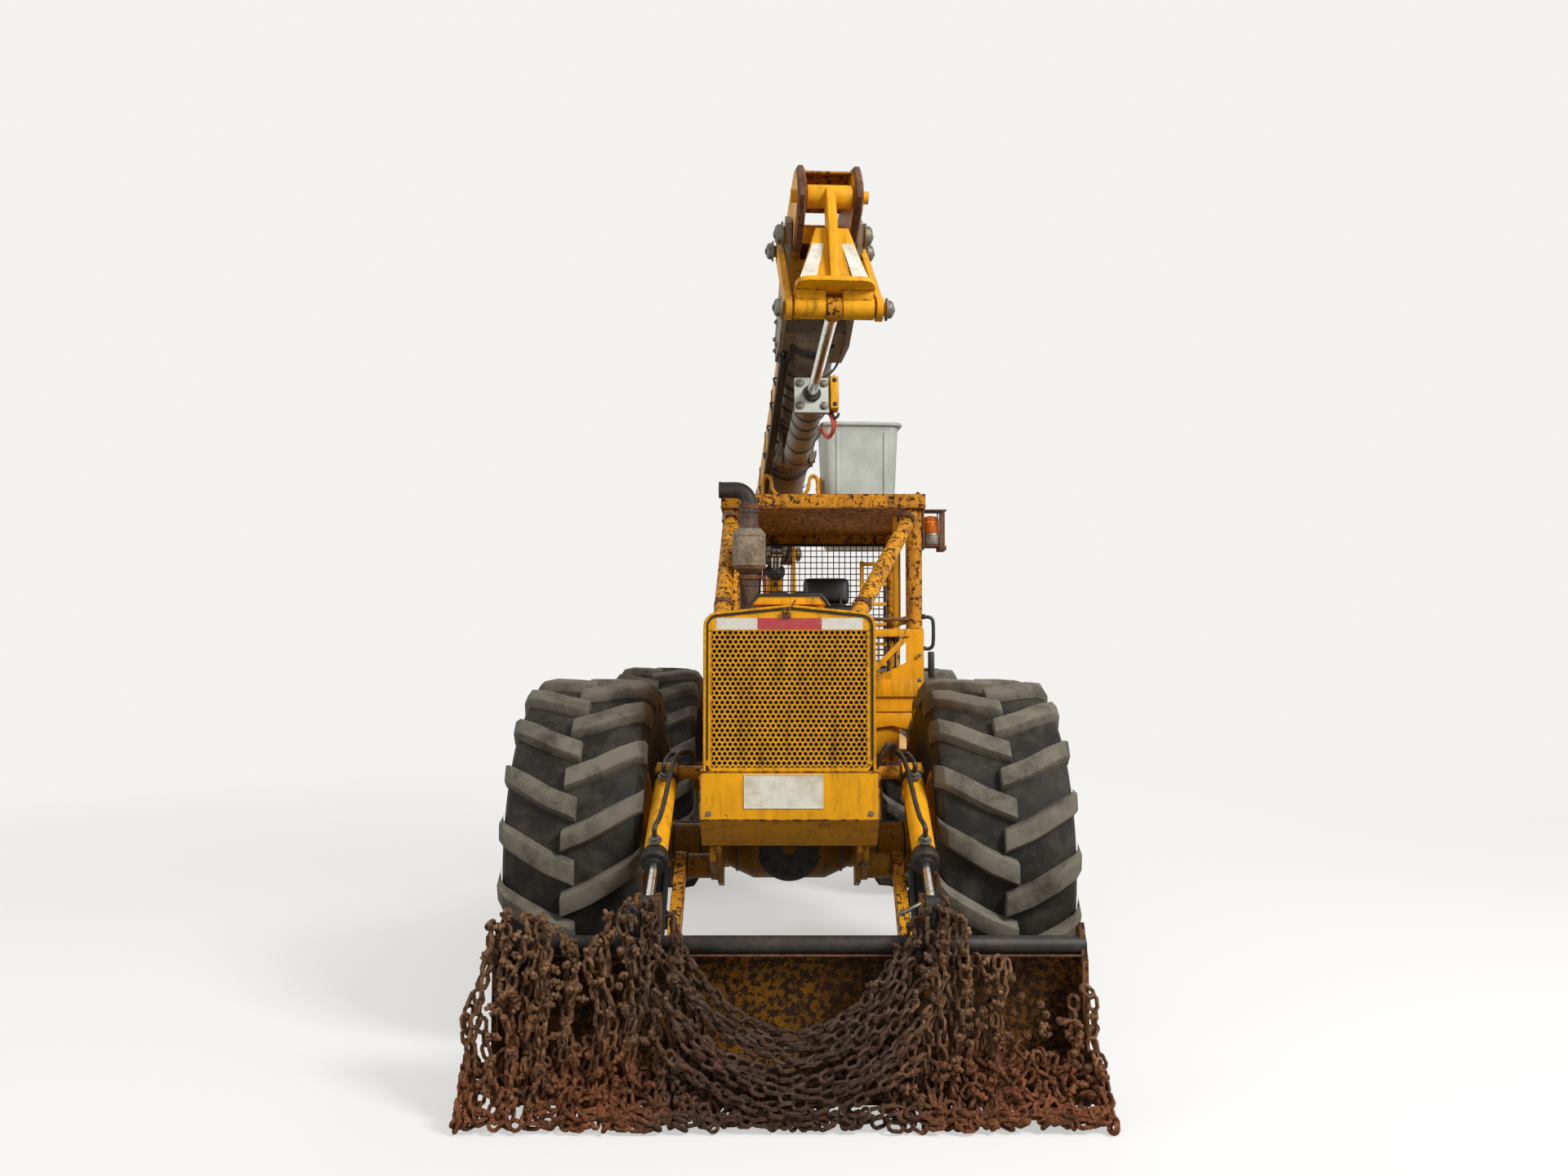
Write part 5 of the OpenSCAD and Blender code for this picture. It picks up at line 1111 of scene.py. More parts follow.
def make_seat():
    """Black vinyl seat with its back rest, head rest and frame, and the control levers in front of it."""
    seat = cushion((0.02, -0.13, 1.495), (0.48, 0.30, 1.605), 0.014)
    back = cushion((0.03, 0.24, 1.60), (0.47, 0.34, 2.02), 0.016)
    head = cushion((0.10, 0.29, 2.03), (0.40, 0.40, 2.205), 0.012)
    for piece, z, turn in ((back, 1.60, -0.17), (head, 1.60, -0.14)):
        hinge = Matrix.Translation((0, 0.27, z))
        moved(piece, hinge @ Matrix.Rotation(turn, 4, "X") @ hinge.inverted())
    for piece, name, hides in ((seat, "seat_cushion", ("seat",)), (back, "seat_back", ()),
                               (head, "seat_head_rest", ())):
        dress(piece, name, "vinyl", "root", "seat", hides=hides, angle=60)
    base = [block((0.10, -0.06, 1.18), (0.40, 0.26, 1.30), 0.01),
            block((0.13, -0.03, 1.30), (0.37, 0.22, 1.46), 0.02),
            block((0.05, -0.10, 1.455), (0.45, 0.28, 1.492), 0.006)]
    for x in (0.16, 0.34):
        base += [rod((x, 0.325, 1.98), (x, 0.36, 2.09), 0.008, 10),
                 block((x - 0.02, 0.34, 1.5), (x + 0.02, 0.352, 1.96), 0.003, (-0.17, 0, 0))]
    dress(base, "seat_frame", "trim", "root", "black")
    controls = []
    for x in (0.30, 0.35, 0.40, 0.56, 0.60):
        controls.append(pipe([(x, -0.62, 1.45), (x, -0.60, 1.66), (x + 0.01, -0.57, 1.78)], 0.006, 8,
                             smooth=1))
        clear()
        bpy.ops.mesh.primitive_uv_sphere_add(segments=16, ring_count=10, radius=0.021,
                                             location=(x + 0.01, -0.57, 1.79))
        knob = bpy.context.object
        knob.scale = (1, 1, 1.25)
        controls.append(place_in_mesh(knob))
    controls.append(block((0.27, -0.70, 1.36), (0.64, -0.55, 1.46), 0.01))
    dress(controls, "cab_control_levers", "vinyl", "root", "black")


def make_dash():
    """Sagging black cover over the dash, gauge panel, column and wheel."""
    clear()
    bpy.ops.mesh.primitive_grid_add(x_subdivisions=28, y_subdivisions=16, size=1, location=(0, 0, 0))
    cover = bpy.context.object
    rng = random.Random(3)
    waves = [(rng.uniform(6, 17), rng.uniform(5, 12), rng.uniform(0, 6.3), rng.uniform(0.002, 0.005))
             for _ in range(7)]
    for vertex in cover.data.vertices:
        u, v = vertex.co.x * 2, vertex.co.y * 2
        fold = sum(a * math.sin(fx * u + fy * v + ph) for fx, fy, ph, a in waves)
        edge = max(abs(u), abs(v)) ** 6
        vertex.co = Vector((-0.01 + 0.255 * u, -0.69 + 0.15 * v,
                            1.995 + 0.045 * (1 - u * u) - 0.03 * v * v + fold - 0.14 * edge - 0.03 * v))
    apply(cover, "SOLIDIFY", thickness=0.004)
    apply(cover, "SUBSURF", levels=1, render_levels=1)
    dress(cover, "dash_cover", "rubber", "root", "black", hides=("dash",), angle=60)
    dress([block((-0.20, -0.81, 1.18), (0.18, -0.60, 1.70), 0.01),
           block((-0.21, -0.81, 1.69), (0.19, -0.57, 1.965), 0.02)], "dash_box", "trim", "root", "black")
    axis = Vector((0, math.sin(math.radians(24)), math.cos(math.radians(24))))
    hub = Vector((0.02, -0.44, 1.87))
    wheel = [turned([(0.0, 0.19 - 0.015), (0.011, 0.19 - 0.011), (0.015, 0.19), (0.011, 0.19 + 0.011),
                     (0, 0.19 + 0.015), (-0.011, 0.19 + 0.011), (-0.015, 0.19), (-0.011, 0.19 - 0.011),
                     (0.0, 0.19 - 0.015)], hub, axis, 56),
             rod(hub - axis * 0.03, hub + axis * 0.02, 0.045, 24, 0.006),
             rod((0.02, -0.60, 1.78), hub - axis * 0.02, 0.022, 16)]
    side = Vector(AXIS_X)
    for turn in (0, 120, 240):
        reach = Matrix.Rotation(math.radians(turn + 90), 3, axis) @ side
        wheel.append(rod(hub, hub + reach * 0.185, 0.009, 10))
    dress(wheel, "steering_wheel", "vinyl", "root", "black", angle=50)
    gauges = []
    for i in range(4):
        spot = Vector((-0.15 + i * 0.09, -0.572, 1.90))
        gauges.append(turned([(0.0, 0.0), (0.0, 0.030), (0.008, 0.033), (0.012, 0.036), (0.0, 0.038)], spot,
                             AXIS_Y, 24))
    dress(gauges, "dash_gauges", "zinc", "root", "black")


def make_cab_extras():
    """Warning lamp in its open guard, the grab loop, and the mirror below it."""
    y = -0.70
    dress([turned([(0.0, 0.0), (0.0, 0.064), (0.010, 0.067), (0.05, 0.066), (0.054, 0.060), (0.062, 0.058),
                   (0.062, 0.0)], (0.79, y, 2.309), AXIS_Z, 48)],
          "beacon_base", "zinc", "root", "steel", hides=("beacon",))
    ribs = [(0.0, 0.0), (0.0, 0.052)]
    for i in range(8):
        z = 0.004 + i * 0.0105
        ribs += [(z, 0.054 - 0.0008 * i), (z + 0.006, 0.0565 - 0.0008 * i), (z + 0.008, 0.053 - 0.0008 * i)]
    ribs += [(0.094, 0.040), (0.100, 0.020), (0.101, 0.0)]
    dress(turned(ribs, (0.79, y, 2.371), AXIS_Z, 48), "beacon_lens", "amber", "root", "glass")
    dress(turned([(0.0, 0.02), (0.03, 0.034), (0.06, 0.03), (0.07, 0.0)], (0.79, y, 2.374), AXIS_Z, 24),
          "beacon_reflector", "chrome", "root", "steel")
    guard = [block((0.737, y - 0.07, 2.297), (0.862, y + 0.07, 2.305), 0.002),
             block((0.737, y - 0.07, 2.494), (0.872, y + 0.07, 2.502), 0.002),
             block((0.738, y - 0.07, 2.28), (0.748, y + 0.07, 2.51), 0.002)]
    for dy in (-0.06, 0.06):
        guard += [block((0.848, y + dy - 0.008, 2.30), (0.862, y + dy + 0.008, 2.498), 0.002),
                  rod((0.838, y + dy, 2.30), (0.838, y + dy, 2.497), 0.004, 8)]
    guard.append(block((0.83, y - 0.07, 2.276), (0.87, y + 0.07, 2.302), 0.004))
    dress(guard, "beacon_guard", "rust", "root", "rust")
    y = -0.755
    loop = pipe([(0.735, y, 1.905), (0.768, y, 1.912), (0.792, y, 1.90), (0.797, y, 1.87), (0.797, y, 1.78),
                 (0.792, y, 1.745), (0.768, y, 1.732), (0.735, y, 1.74)], 0.010, 14, smooth=3)
    mirror = block((0.766, y - 0.018, 1.575), (0.80, y + 0.012, 1.72), 0.007)
    clip = [block((0.737, y - 0.02, 1.90), (0.752, y + 0.02, 1.925), 0.003),
            block((0.737, y - 0.02, 1.725), (0.752, y + 0.02, 1.75), 0.003),
            rod((0.738, y, 1.62), (0.77, y, 1.62), 0.008, 10)]
    dress([loop, mirror] + clip, "grab_loop_and_mirror", "rubber", "root", "black", hides=("hand_loop",))


def make_exhaust():
    """Stack with weld seams, clamps, a banded muffler, a bent outlet and its open end."""
    x, y = -0.2, -1.32
    profile = [(1.64, 0.0), (1.64, 0.045), (2.05, 0.045), (2.052, 0.050), (2.078, 0.050), (2.08, 0.045),
               (2.108, 0.045), (2.134, 0.070), (2.146, 0.0795), (2.15, 0.084), (2.158, 0.084),
               (2.162, 0.0815), (2.21, 0.0825), (2.26, 0.0825), (2.298, 0.0815), (2.302, 0.084),
               (2.31, 0.084), (2.316, 0.079), (2.34, 0.060), (2.352, 0.047), (2.40, 0.0455), (2.42, 0.0455),
               (2.421, 0.050), (2.445, 0.050), (2.446, 0.045), (2.47, 0.045)]
    dress(turned(profile, (x, y, 0), AXIS_Z, 48),
          "exhaust_stack", "stack", "root", "rust", hides=("exhaust",), angle=30)
    dress(turned([(2.136, 0.0725), (2.147, 0.0812), (2.152, 0.0852), (2.159, 0.0852), (2.163, 0.0828),
                  (2.21, 0.0838), (2.26, 0.0838), (2.297, 0.0828), (2.301, 0.0852), (2.311, 0.0852),
                  (2.317, 0.0805), (2.338, 0.0625)], (x, y, 0), AXIS_Z, 48),
          "muffler_can", "muffler", "root", "rust", angle=30)
    bend = []
    for i in range(13):
        a = math.radians(90 * i / 12)
        bend.append((x - 0.07 + 0.07 * math.cos(a), y, 2.466 + 0.07 * math.sin(a)))
    bend.append((x - 0.152, y, 2.536))
    tip = pipe(bend, 0.041, 32)
    end = turned([(0.0, 0.041), (0.012, 0.0425), (0.014, 0.038), (-0.06, 0.036), (-0.06, 0.0)],
                 (x - 0.138, y, 2.536), (-1, 0, 0), 36)
    clamp = [turned([(0, 0.046), (0, 0.052), (0.022, 0.052), (0.022, 0.046)], (x, y, 2.44), AXIS_Z, 36),
             block((x + 0.045, y - 0.012, 2.443), (x + 0.075, y + 0.012, 2.459), 0.003),
             turned([(0, 0.044), (0, 0.052), (0.02, 0.052), (0.02, 0.044)], (x, y, 2.085), AXIS_Z, 36),
             block((x + 0.045, y - 0.012, 2.087), (x + 0.075, y + 0.012, 2.103), 0.003)]
    dress([tip, end], "exhaust_outlet", "cast", "root", "rust", angle=50)
    dress(clamp, "exhaust_clamps", "rust", "root", "rust")
    dress(turned([(0, 0.056), (0, 0.082), (0.006, 0.082), (0.010, 0.060), (0.030, 0.054), (0.030, 0.048)],
                 (x, y, 1.905), AXIS_Z, 36), "exhaust_collar", "rust", "root", "rust")


# Boom: w runs across it, u along the stowed lower boom and v square to it
BOOM_TIP = (-0.492, 0.526)
BOOM_FRAME = (Matrix.Translation((TURRET.x, TURRET.y, TURRET.z)) @ Matrix.Rotation(BOOM_YAW, 4, "Z")
              @ Matrix.Rotation(-BOOM_SLOPE, 4, "X"))


def boom(w, u, v):
    """A point of the stowed boom in the row frame."""
    return BOOM_FRAME @ Vector((w, -u, v))


def boom_way(w, u, v):
    return (BOOM_FRAME.to_3x3() @ Vector((w, -u, v))).normalized()


def boom_plate(outline, w, thickness, bevel=0.003):
    """A plate square to the pins: (u, v) outline at w."""
    return plate([boom(w, u, v) for u, v in outline], boom_way(1, 0, 0) * thickness, bevel)


def pin_end(w, u, v, radius, sign, height=0.030):
    """The washer, castle nut and turned end of a pin."""
    out = boom_way(sign, 0, 0)
    spot = boom(w, u, v)
    return join([turned([(0, 0), (0, radius * 1.5), (height * 0.2, radius * 1.5),
                         (height * 0.22, radius * 1.2), (height * 0.75, radius * 1.15),
                         (height, radius * 0.85), (height, 0.0)], spot, out, 32),
                 nut(spot + out * height * 0.9, out, radius * 0.55, 0.008)])


def make_elbow():
    """Head cover, edges, pin ends and the push link's top sleeve of the elbow."""
    for name, body, w, u, v, radius, height in (("elbow_pin_ends", "upper_boom", 0.176, 4.10, 0.14, 0.036,
                                                 0.034),
                                                ("idler_top_pin_ends", "lower_boom", 0.2075, 3.95, 0.15,
                                                 0.030, 0.030),
                                                ("idler_foot_pin_ends", "idlers", 0.2075, 4.38, -0.37,
                                                 0.030, 0.030)):
        dress([pin_end(sign * w, u, v, radius, sign, height) for sign in SIDES],
              name, "zinc", body, "steel", angle=40)
    cover = [plate([boom(-0.10, 4.26, 0.338), boom(0.10, 4.26, 0.338), boom(0.10, 3.9, 0.391),
                    boom(-0.10, 3.9, 0.391)], boom_way(0, 0, -1) * 0.010, 0.002),
             plate([boom(-0.10, 4.345, 0.287), boom(0.10, 4.345, 0.287), boom(0.10, 4.258, 0.337),
                    boom(-0.10, 4.258, 0.337)], boom_way(0, -0.5, -1) * 0.009, 0.001)]
    dress(cover, "elbow_head_cover", "paint_rust", "upper_boom", "paint")
    rims = []
    outline = [(3.4, 0.235), (3.4, 0.4), (3.9, 0.395), (4.25, 0.345), (4.35, 0.29), (4.402, 0.19),
               (4.4, 0.13), (4.35, 0.1), (4.2, 0.075), (4.1, 0.07)]
    for w in (-0.1175, 0.1175):
        rims.append(pipe([boom(w, u, v) for u, v in outline], 0.0185, 8))
    dress(rims, "elbow_head_edges", "rust", "upper_boom", "rust", angle=40)
    dress(rod(boom(-0.094, 4.35, 0.16), boom(0.094, 4.35, 0.16), 0.047, 36, 0.005),
          "push_link_top_sleeve", "paint", "push_link", "paint")


def make_push_link():
    """Wedge link at the elbow: middle gusset, two wings with white reflector patches and a foot plate."""
    gusset = boom_plate([(4.315, 0.17), (4.33, 0.205), (4.37, 0.20), (4.405, 0.165), (4.445, -0.02),
                         (4.47, -0.30), (4.35, -0.31)], -0.019, 0.038, 0.004)
    wings = [plate([boom(sign * 0.018, 4.405, -0.02), boom(sign * 0.066, 4.405, -0.02),
                    boom(sign * 0.15, 4.425, -0.30), boom(sign * 0.018, 4.455, -0.30)],
                   boom_way(0, -1, 0) * 0.012, 0.002) for sign in SIDES]
    half, corner = 0.158, 0.055
    ring = [(-half, 4.335), (half, 4.335), (half, 4.45)]
    for middle, first in ((half - corner, 0), (corner - half, 90)):
        for i in range(7):
            a = math.radians(first + 15 * i)
            ring.append((middle + corner * math.cos(a), 4.45 + corner * math.sin(a)))
    ring.append((-half, 4.45))
    foot = [plate([boom(w, u, -0.318) for w, u in ring], boom_way(0, 0, 1) * 0.022, 0.004)]
    for sign in SIDES:
        foot += [turned([(0, 0.026), (0, 0.043), (0.125, 0.043), (0.125, 0.026)],
                        boom(sign * 0.034, 4.38, -0.37), boom_way(sign, 0, 0), 32),
                 plate([boom(sign * 0.034, 4.345, -0.36), boom(sign * 0.034, 4.415, -0.36),
                        boom(sign * 0.034, 4.44, -0.31), boom(sign * 0.034, 4.34, -0.31)],
                       boom_way(sign, 0, 0) * 0.12, 0.002)]
    dress([gusset] + wings + foot, "push_link_wedge", "paint", "push_link", "paint", hides=("push_link",))
    dress([plate([boom(sign * 0.036, 4.4135, -0.10), boom(sign * 0.082, 4.4145, -0.10),
                  boom(sign * 0.138, 4.4355, -0.27), boom(sign * 0.075, 4.448, -0.285)],
                 boom_way(0, 1, 0) * 0.002, 0) for sign in SIDES],
          "push_link_reflectors", "patch", "push_link", "paint", angle=0)


RAM_FOOT = (2.45, -0.215)
RAM_EYE = (4.38, -0.37)
RAM_TILT = math.atan2(RAM_EYE[1] - RAM_FOOT[1], RAM_EYE[0] - RAM_FOOT[0])


def ram(w, along_it, square):
    """A point measured from the elbow cylinder's foot along it."""
    u = RAM_FOOT[0] + along_it * math.cos(RAM_TILT) - square * math.sin(RAM_TILT)
    v = RAM_FOOT[1] + along_it * math.sin(RAM_TILT) + square * math.cos(RAM_TILT)
    return boom(w, u, v)


def make_elbow_ram():
    """Gland plate bolts, rod ring, weld rings, side box, hook and orange hose loop of the elbow ram."""
    way = (ram(0, 1, 0) - ram(0, 0, 0)).normalized()
    face = 0.9905
    dress([nut(ram(w, face, s), way, 0.0155, 0.014)
           for w, s in ((-0.058, 0.052), (-0.058, -0.060), (0.058, 0.052), (0.058, -0.060))],
          "gland_bolts", "zinc", "elbow_barrel", "steel")
    dress(turned([(0, 0.026), (0, 0.040), (0.012, 0.043), (0.026, 0.036), (0.026, 0.0258)], ram(0, face, 0),
                 way, 40), "gland_wiper_ring", "cast", "elbow_barrel", "cast")
    dress(plate([ram(-0.0825, face - 0.001, -0.0925), ram(0.0825, face - 0.001, -0.0925),
                 ram(0.0825, face - 0.001, 0.0805), ram(-0.0825, face - 0.001, 0.0805)], way * 0.0035,
                0.001), "gland_plate_face", "shell", "elbow_barrel", "steel")
    dress([turned([(-0.014, 0.070), (-0.011, 0.0735), (0.011, 0.0735), (0.014, 0.070)], ram(0, share, 0),
                  way, 36) for share in (0.09, 0.3, 0.52, 0.66, 0.8, 0.93)],
          "elbow_barrel_bands", "cast", "elbow_barrel", "cast")
    dress([plate([ram(0.088, face - 0.055, -0.075), ram(0.128, face - 0.055, -0.075),
                  ram(0.128, face - 0.055, 0.088), ram(0.088, face - 0.055, 0.088)], way * 0.072, 0.005)],
          "elbow_side_box", "paint", "elbow_barrel", "paint")
    hook = pipe([ram(0.10, face - 0.02, -0.085), ram(0.102, face - 0.01, -0.11), ram(0.118, face, -0.118),
                 ram(0.128, face, -0.095)], 0.007, 10, smooth=2)
    screws = [nut(ram(0.108, face + 0.017, s), way, 0.008, 0.006) for s in (-0.055, 0.066)]
    dress([hook] + screws, "elbow_side_hook", "cast", "elbow_barrel", "cast")
    loop = pipe([ram(0.062, 0.90, -0.045), ram(0.085, 0.95, -0.075), ram(0.10, 0.985, -0.13),
                 ram(0.098, 0.98, -0.185), ram(0.085, 0.93, -0.20), ram(0.075, 0.87, -0.17),
                 ram(0.066, 0.80, -0.115), ram(0.062, 0.72, -0.08)], 0.0085, 12, smooth=3)
    loop2 = pipe([ram(0.066, 0.88, -0.04), ram(0.095, 0.94, -0.07), ram(0.114, 0.97, -0.12),
                  ram(0.110, 0.955, -0.17), ram(0.095, 0.90, -0.18), ram(0.082, 0.84, -0.15),
                  ram(0.072, 0.78, -0.10), ram(0.068, 0.70, -0.072)], 0.0075, 12, smooth=3)
    dress([loop, loop2], "elbow_hose_loop", "orange", "elbow_barrel", "black")
    eye = turned([(-0.030, 0.0425), (-0.026, 0.0455), (0.026, 0.0455), (0.030, 0.0425)], boom(0, *RAM_EYE),
                 boom_way(1, 0, 0), 36)
    neck = rod(ram(0, 1.873, 0), ram(0, 1.905, 0), 0.034, 24, 0.004)
    dress([eye, neck], "elbow_rod_eye", "paint_rust", "elbow_rod", "paint")


def make_boom_tube():
    """Bands, straps, hose bundle, wear plates and bolts along the lower boom's tube."""
    way = boom_way(0, 1, 0)
    bands = [turned([(-width, 0.1302), (-width * 0.8, 0.130 + grow), (width * 0.8, 0.130 + grow),
                     (width, 0.1302)], boom(0, u, 0), way, 56)
             for u, grow, width in ((0.62, 0.010, 0.03), (1.35, 0.006, 0.02), (1.9, 0.006, 0.018),
                                    (2.2, 0.009, 0.03), (2.62, 0.005, 0.016), (2.85, 0.005, 0.016),
                                    (3.10, 0.006, 0.018), (3.52, 0.010, 0.030))]
    dress(bands, "boom_tube_bands", "cast", "lower_boom", "cast")
    hoses = []
    rng = random.Random(11)
    for k in range(6):
        angle = math.radians(-62 - 13 * k)
        path = []
        for i in range(19):
            u = 0.42 + i * 0.17
            wave = math.radians(rng.uniform(-3, 3))
            r = 0.1435 + (0.004 if k % 2 else 0)
            path.append(boom(r * math.sin(-angle + wave) * -1, u,
                             -r * math.cos(angle + wave + math.radians(62 + 45))))
        hoses.append(pipe(path, HOSE, 10, smooth=2))
    dress(hoses, "boom_hose_bundle", "rubber", "lower_boom", "black")
    straps = []
    for u in (0.9, 1.5, 2.05, 2.45, 2.75, 3.05, 3.3):
        loop = []
        for i in range(25):
            a = math.radians(100 + i * 7.0)
            r = 0.158
            loop.append(boom(r * math.sin(a) * -1, u, r * math.cos(a)))
        loop = [boom(-0.128, u, -0.020)] + loop + [boom(0.0, u, -0.135)]
        straps.append(pipe(loop, 0.006, 8))
    dress(straps, "boom_hose_straps", "trim", "lower_boom", "black")
    bolts = []
    for sign in SIDES:
        for u, v in ((3.36, 0.03), (3.36, -0.03), (3.48, 0.06), (3.48, -0.06), (0.45, 0.035),
                     (0.45, -0.035), (0.30, 0.045), (0.30, -0.045)):
            w = 0.164 if u > 3 else 0.142
            bolts.append(nut(boom(sign * w, u, v), boom_way(sign, 0, 0), 0.012, 0.010))
    dress(bolts, "boom_side_bolts", "zinc", "lower_boom", "steel")
    dress([pin_end(sign * 0.205, 0.0, 0.0, 0.045, sign, 0.03) for sign in SIDES],
          "boom_heel_pin_ends", "zinc", "turret", "steel")
    dress(boom_plate([(0.555, 0.352), (0.555, 0.372), (0.645, 0.372), (0.645, 0.352)], -0.05, 0.10, 0.003),
          "boom_rest_pad", "trim", "lower_boom", "black")


def make_cradle():
    """Cross tube on the roof with its two bent-rod horns, and end caps."""
    y, base = -0.35, 2.5545
    dress([block((-0.177, y + 0.002, base - 0.012), (0.213, y + 0.062, base + 0.046), 0.005),
           block((0.213, y + 0.004, base - 0.012), (0.293, y + 0.058, base + 0.038), 0.004)],
          "cradle_cross_tube", "paint", "root", "paint", hides=("boom_cradle",))
    horns = []
    for dy in (0.012, 0.052):
        low = base + 0.046
        path = [(-0.150, y + dy, low - 0.02), (-0.150, y + dy, low + 0.10), (-0.143, y + dy, low + 0.145),
                (-0.118, y + dy, low + 0.155), (-0.098, y + dy, low + 0.13)]
        for i in range(13):
            a = math.radians(200 + i * 140 / 12)
            path.append((0.013 + 0.118 * math.cos(a), y + dy, low + 0.125 + 0.118 * math.sin(a)))
        path += [(0.124, y + dy, low + 0.13), (0.144, y + dy, low + 0.155), (0.169, y + dy, low + 0.145),
                 (0.176, y + dy, low + 0.10), (0.176, y + dy, low - 0.02)]
        horns.append(pipe(path, 0.0095, 12, smooth=2))
    dress(horns, "cradle_horns", "paint", "root", "paint")


def make_bucket():
    """Glass-fibre bucket: a moulded shell with a rolled rim and liner, stiffening ribs and a step box."""
    tip = Matrix.Translation(boom(0, *BOOM_TIP))
    tilt = tip @ Matrix.Rotation(BOOM_YAW, 4, "Z") @ Matrix.Translation((0.75, 0, 0))

    def ring(half, z, corner=0.075, steps=6):
        pts = []
        for qx, qy, a0 in ((1, 1, 0), (-1, 1, 90), (-1, -1, 180), (1, -1, 270)):
            for i in range(steps + 1):
                a = math.radians(a0 + 90 * i / steps)
                pts.append(tilt
                           @ Vector((qx * (half - corner) + corner * math.cos(a),
                                     qy * (half - corner) + corner * math.sin(a), z)))
        return pts

    def half_at(z):
        return 0.26 + 0.04 * (z + 0.31) / 0.99

    levels = [(0.12, -0.3095, 0.05), (0.22, -0.3095, 0.06), (0.248, -0.302, 0.07),
              (half_at(-0.27), -0.27, 0.075)]
    levels += [(half_at(z), z, 0.075) for z in (-0.15, 0.0, 0.15, 0.3, 0.45, 0.6, 0.643)]
    levels += [(0.306, 0.652, 0.078), (0.327, 0.6535, 0.09), (0.3295, 0.658, 0.09), (0.3295, 0.674, 0.09),
               (0.327, 0.679, 0.09), (0.296, 0.679, 0.07), (0.289, 0.672, 0.065),
               (half_at(0.6) - 0.012, 0.6, 0.065), (half_at(-0.25) - 0.012, -0.25, 0.065),
               (0.235, -0.29, 0.06), (0.12, -0.296, 0.05)]
    rings = [ring(*level) for level in levels]
    count = len(rings[0])
    points = [p for held in rings for p in held]
    faces = []
    for first in range(0, len(points) - count, count):
        for j in range(count):
            a, b = first + j, first + (j + 1) % count
            faces.append((a, b, b + count, a + count))
    faces += [tuple(reversed(range(count))), tuple(range(len(points) - count, len(points)))]
    parts = [mesh_of(points, faces),
             moved(block((-0.125, -0.334, -0.062), (0.125, -0.262, 0.042), 0.012), tilt),
             moved(block((-0.3037, -0.105, -0.205), (-0.255, 0.105, 0.235), 0.006), tilt)]
    for x in (-0.19, 0.19):
        for sign in SIDES:
            rib = block((x - 0.018, sign * 0.262 - 0.012, -0.27), (x + 0.018, sign * 0.262 + 0.012, 0.60),
                        0.008)
            for vertex in rib.data.vertices:
                vertex.co.y += sign * 0.04 * (vertex.co.z + 0.31) / 0.99
            parts.append(moved(rib, tilt))
    dress(parts, "work_bucket", "shell", "bucket", "shell", hides=("bucket",), angle=38)
    bolts = []
    for z in (-0.16, 0.0, 0.19):
        for yy in (-0.08, 0.08):
            spot = tilt @ Vector((-0.3215, yy, z))
            bolts.append(nut(spot, tilt.to_3x3() @ Vector((-1, 0, 0)), 0.012, 0.010))
    dress(bolts, "bucket_mount_bolts", "zinc", "bucket", "steel")
    box = [block((-0.06, 0.262, 0.50), (0.10, 0.335, 0.62), 0.01)]
    box += [rod((x, 0.31, 0.61), (x, 0.315, 0.672), 0.006, 10) for x in (-0.03, 0.02, 0.07)]
    dress(moved(join(box), tilt), "bucket_controls", "trim", "bucket", "black")


# Turret, pedestal, deck and running gear
def spin_about(centre, axis, radius, count, first=0.0):
    """Points evenly round a circle, with the outward direction of each."""
    centre, axis = Vector(centre), Vector(axis).normalized()
    side = axis.orthogonal().normalized()
    for i in range(count):
        out = Matrix.Rotation(first + i * math.tau / count, 3, axis) @ side
        yield centre + out * radius, out


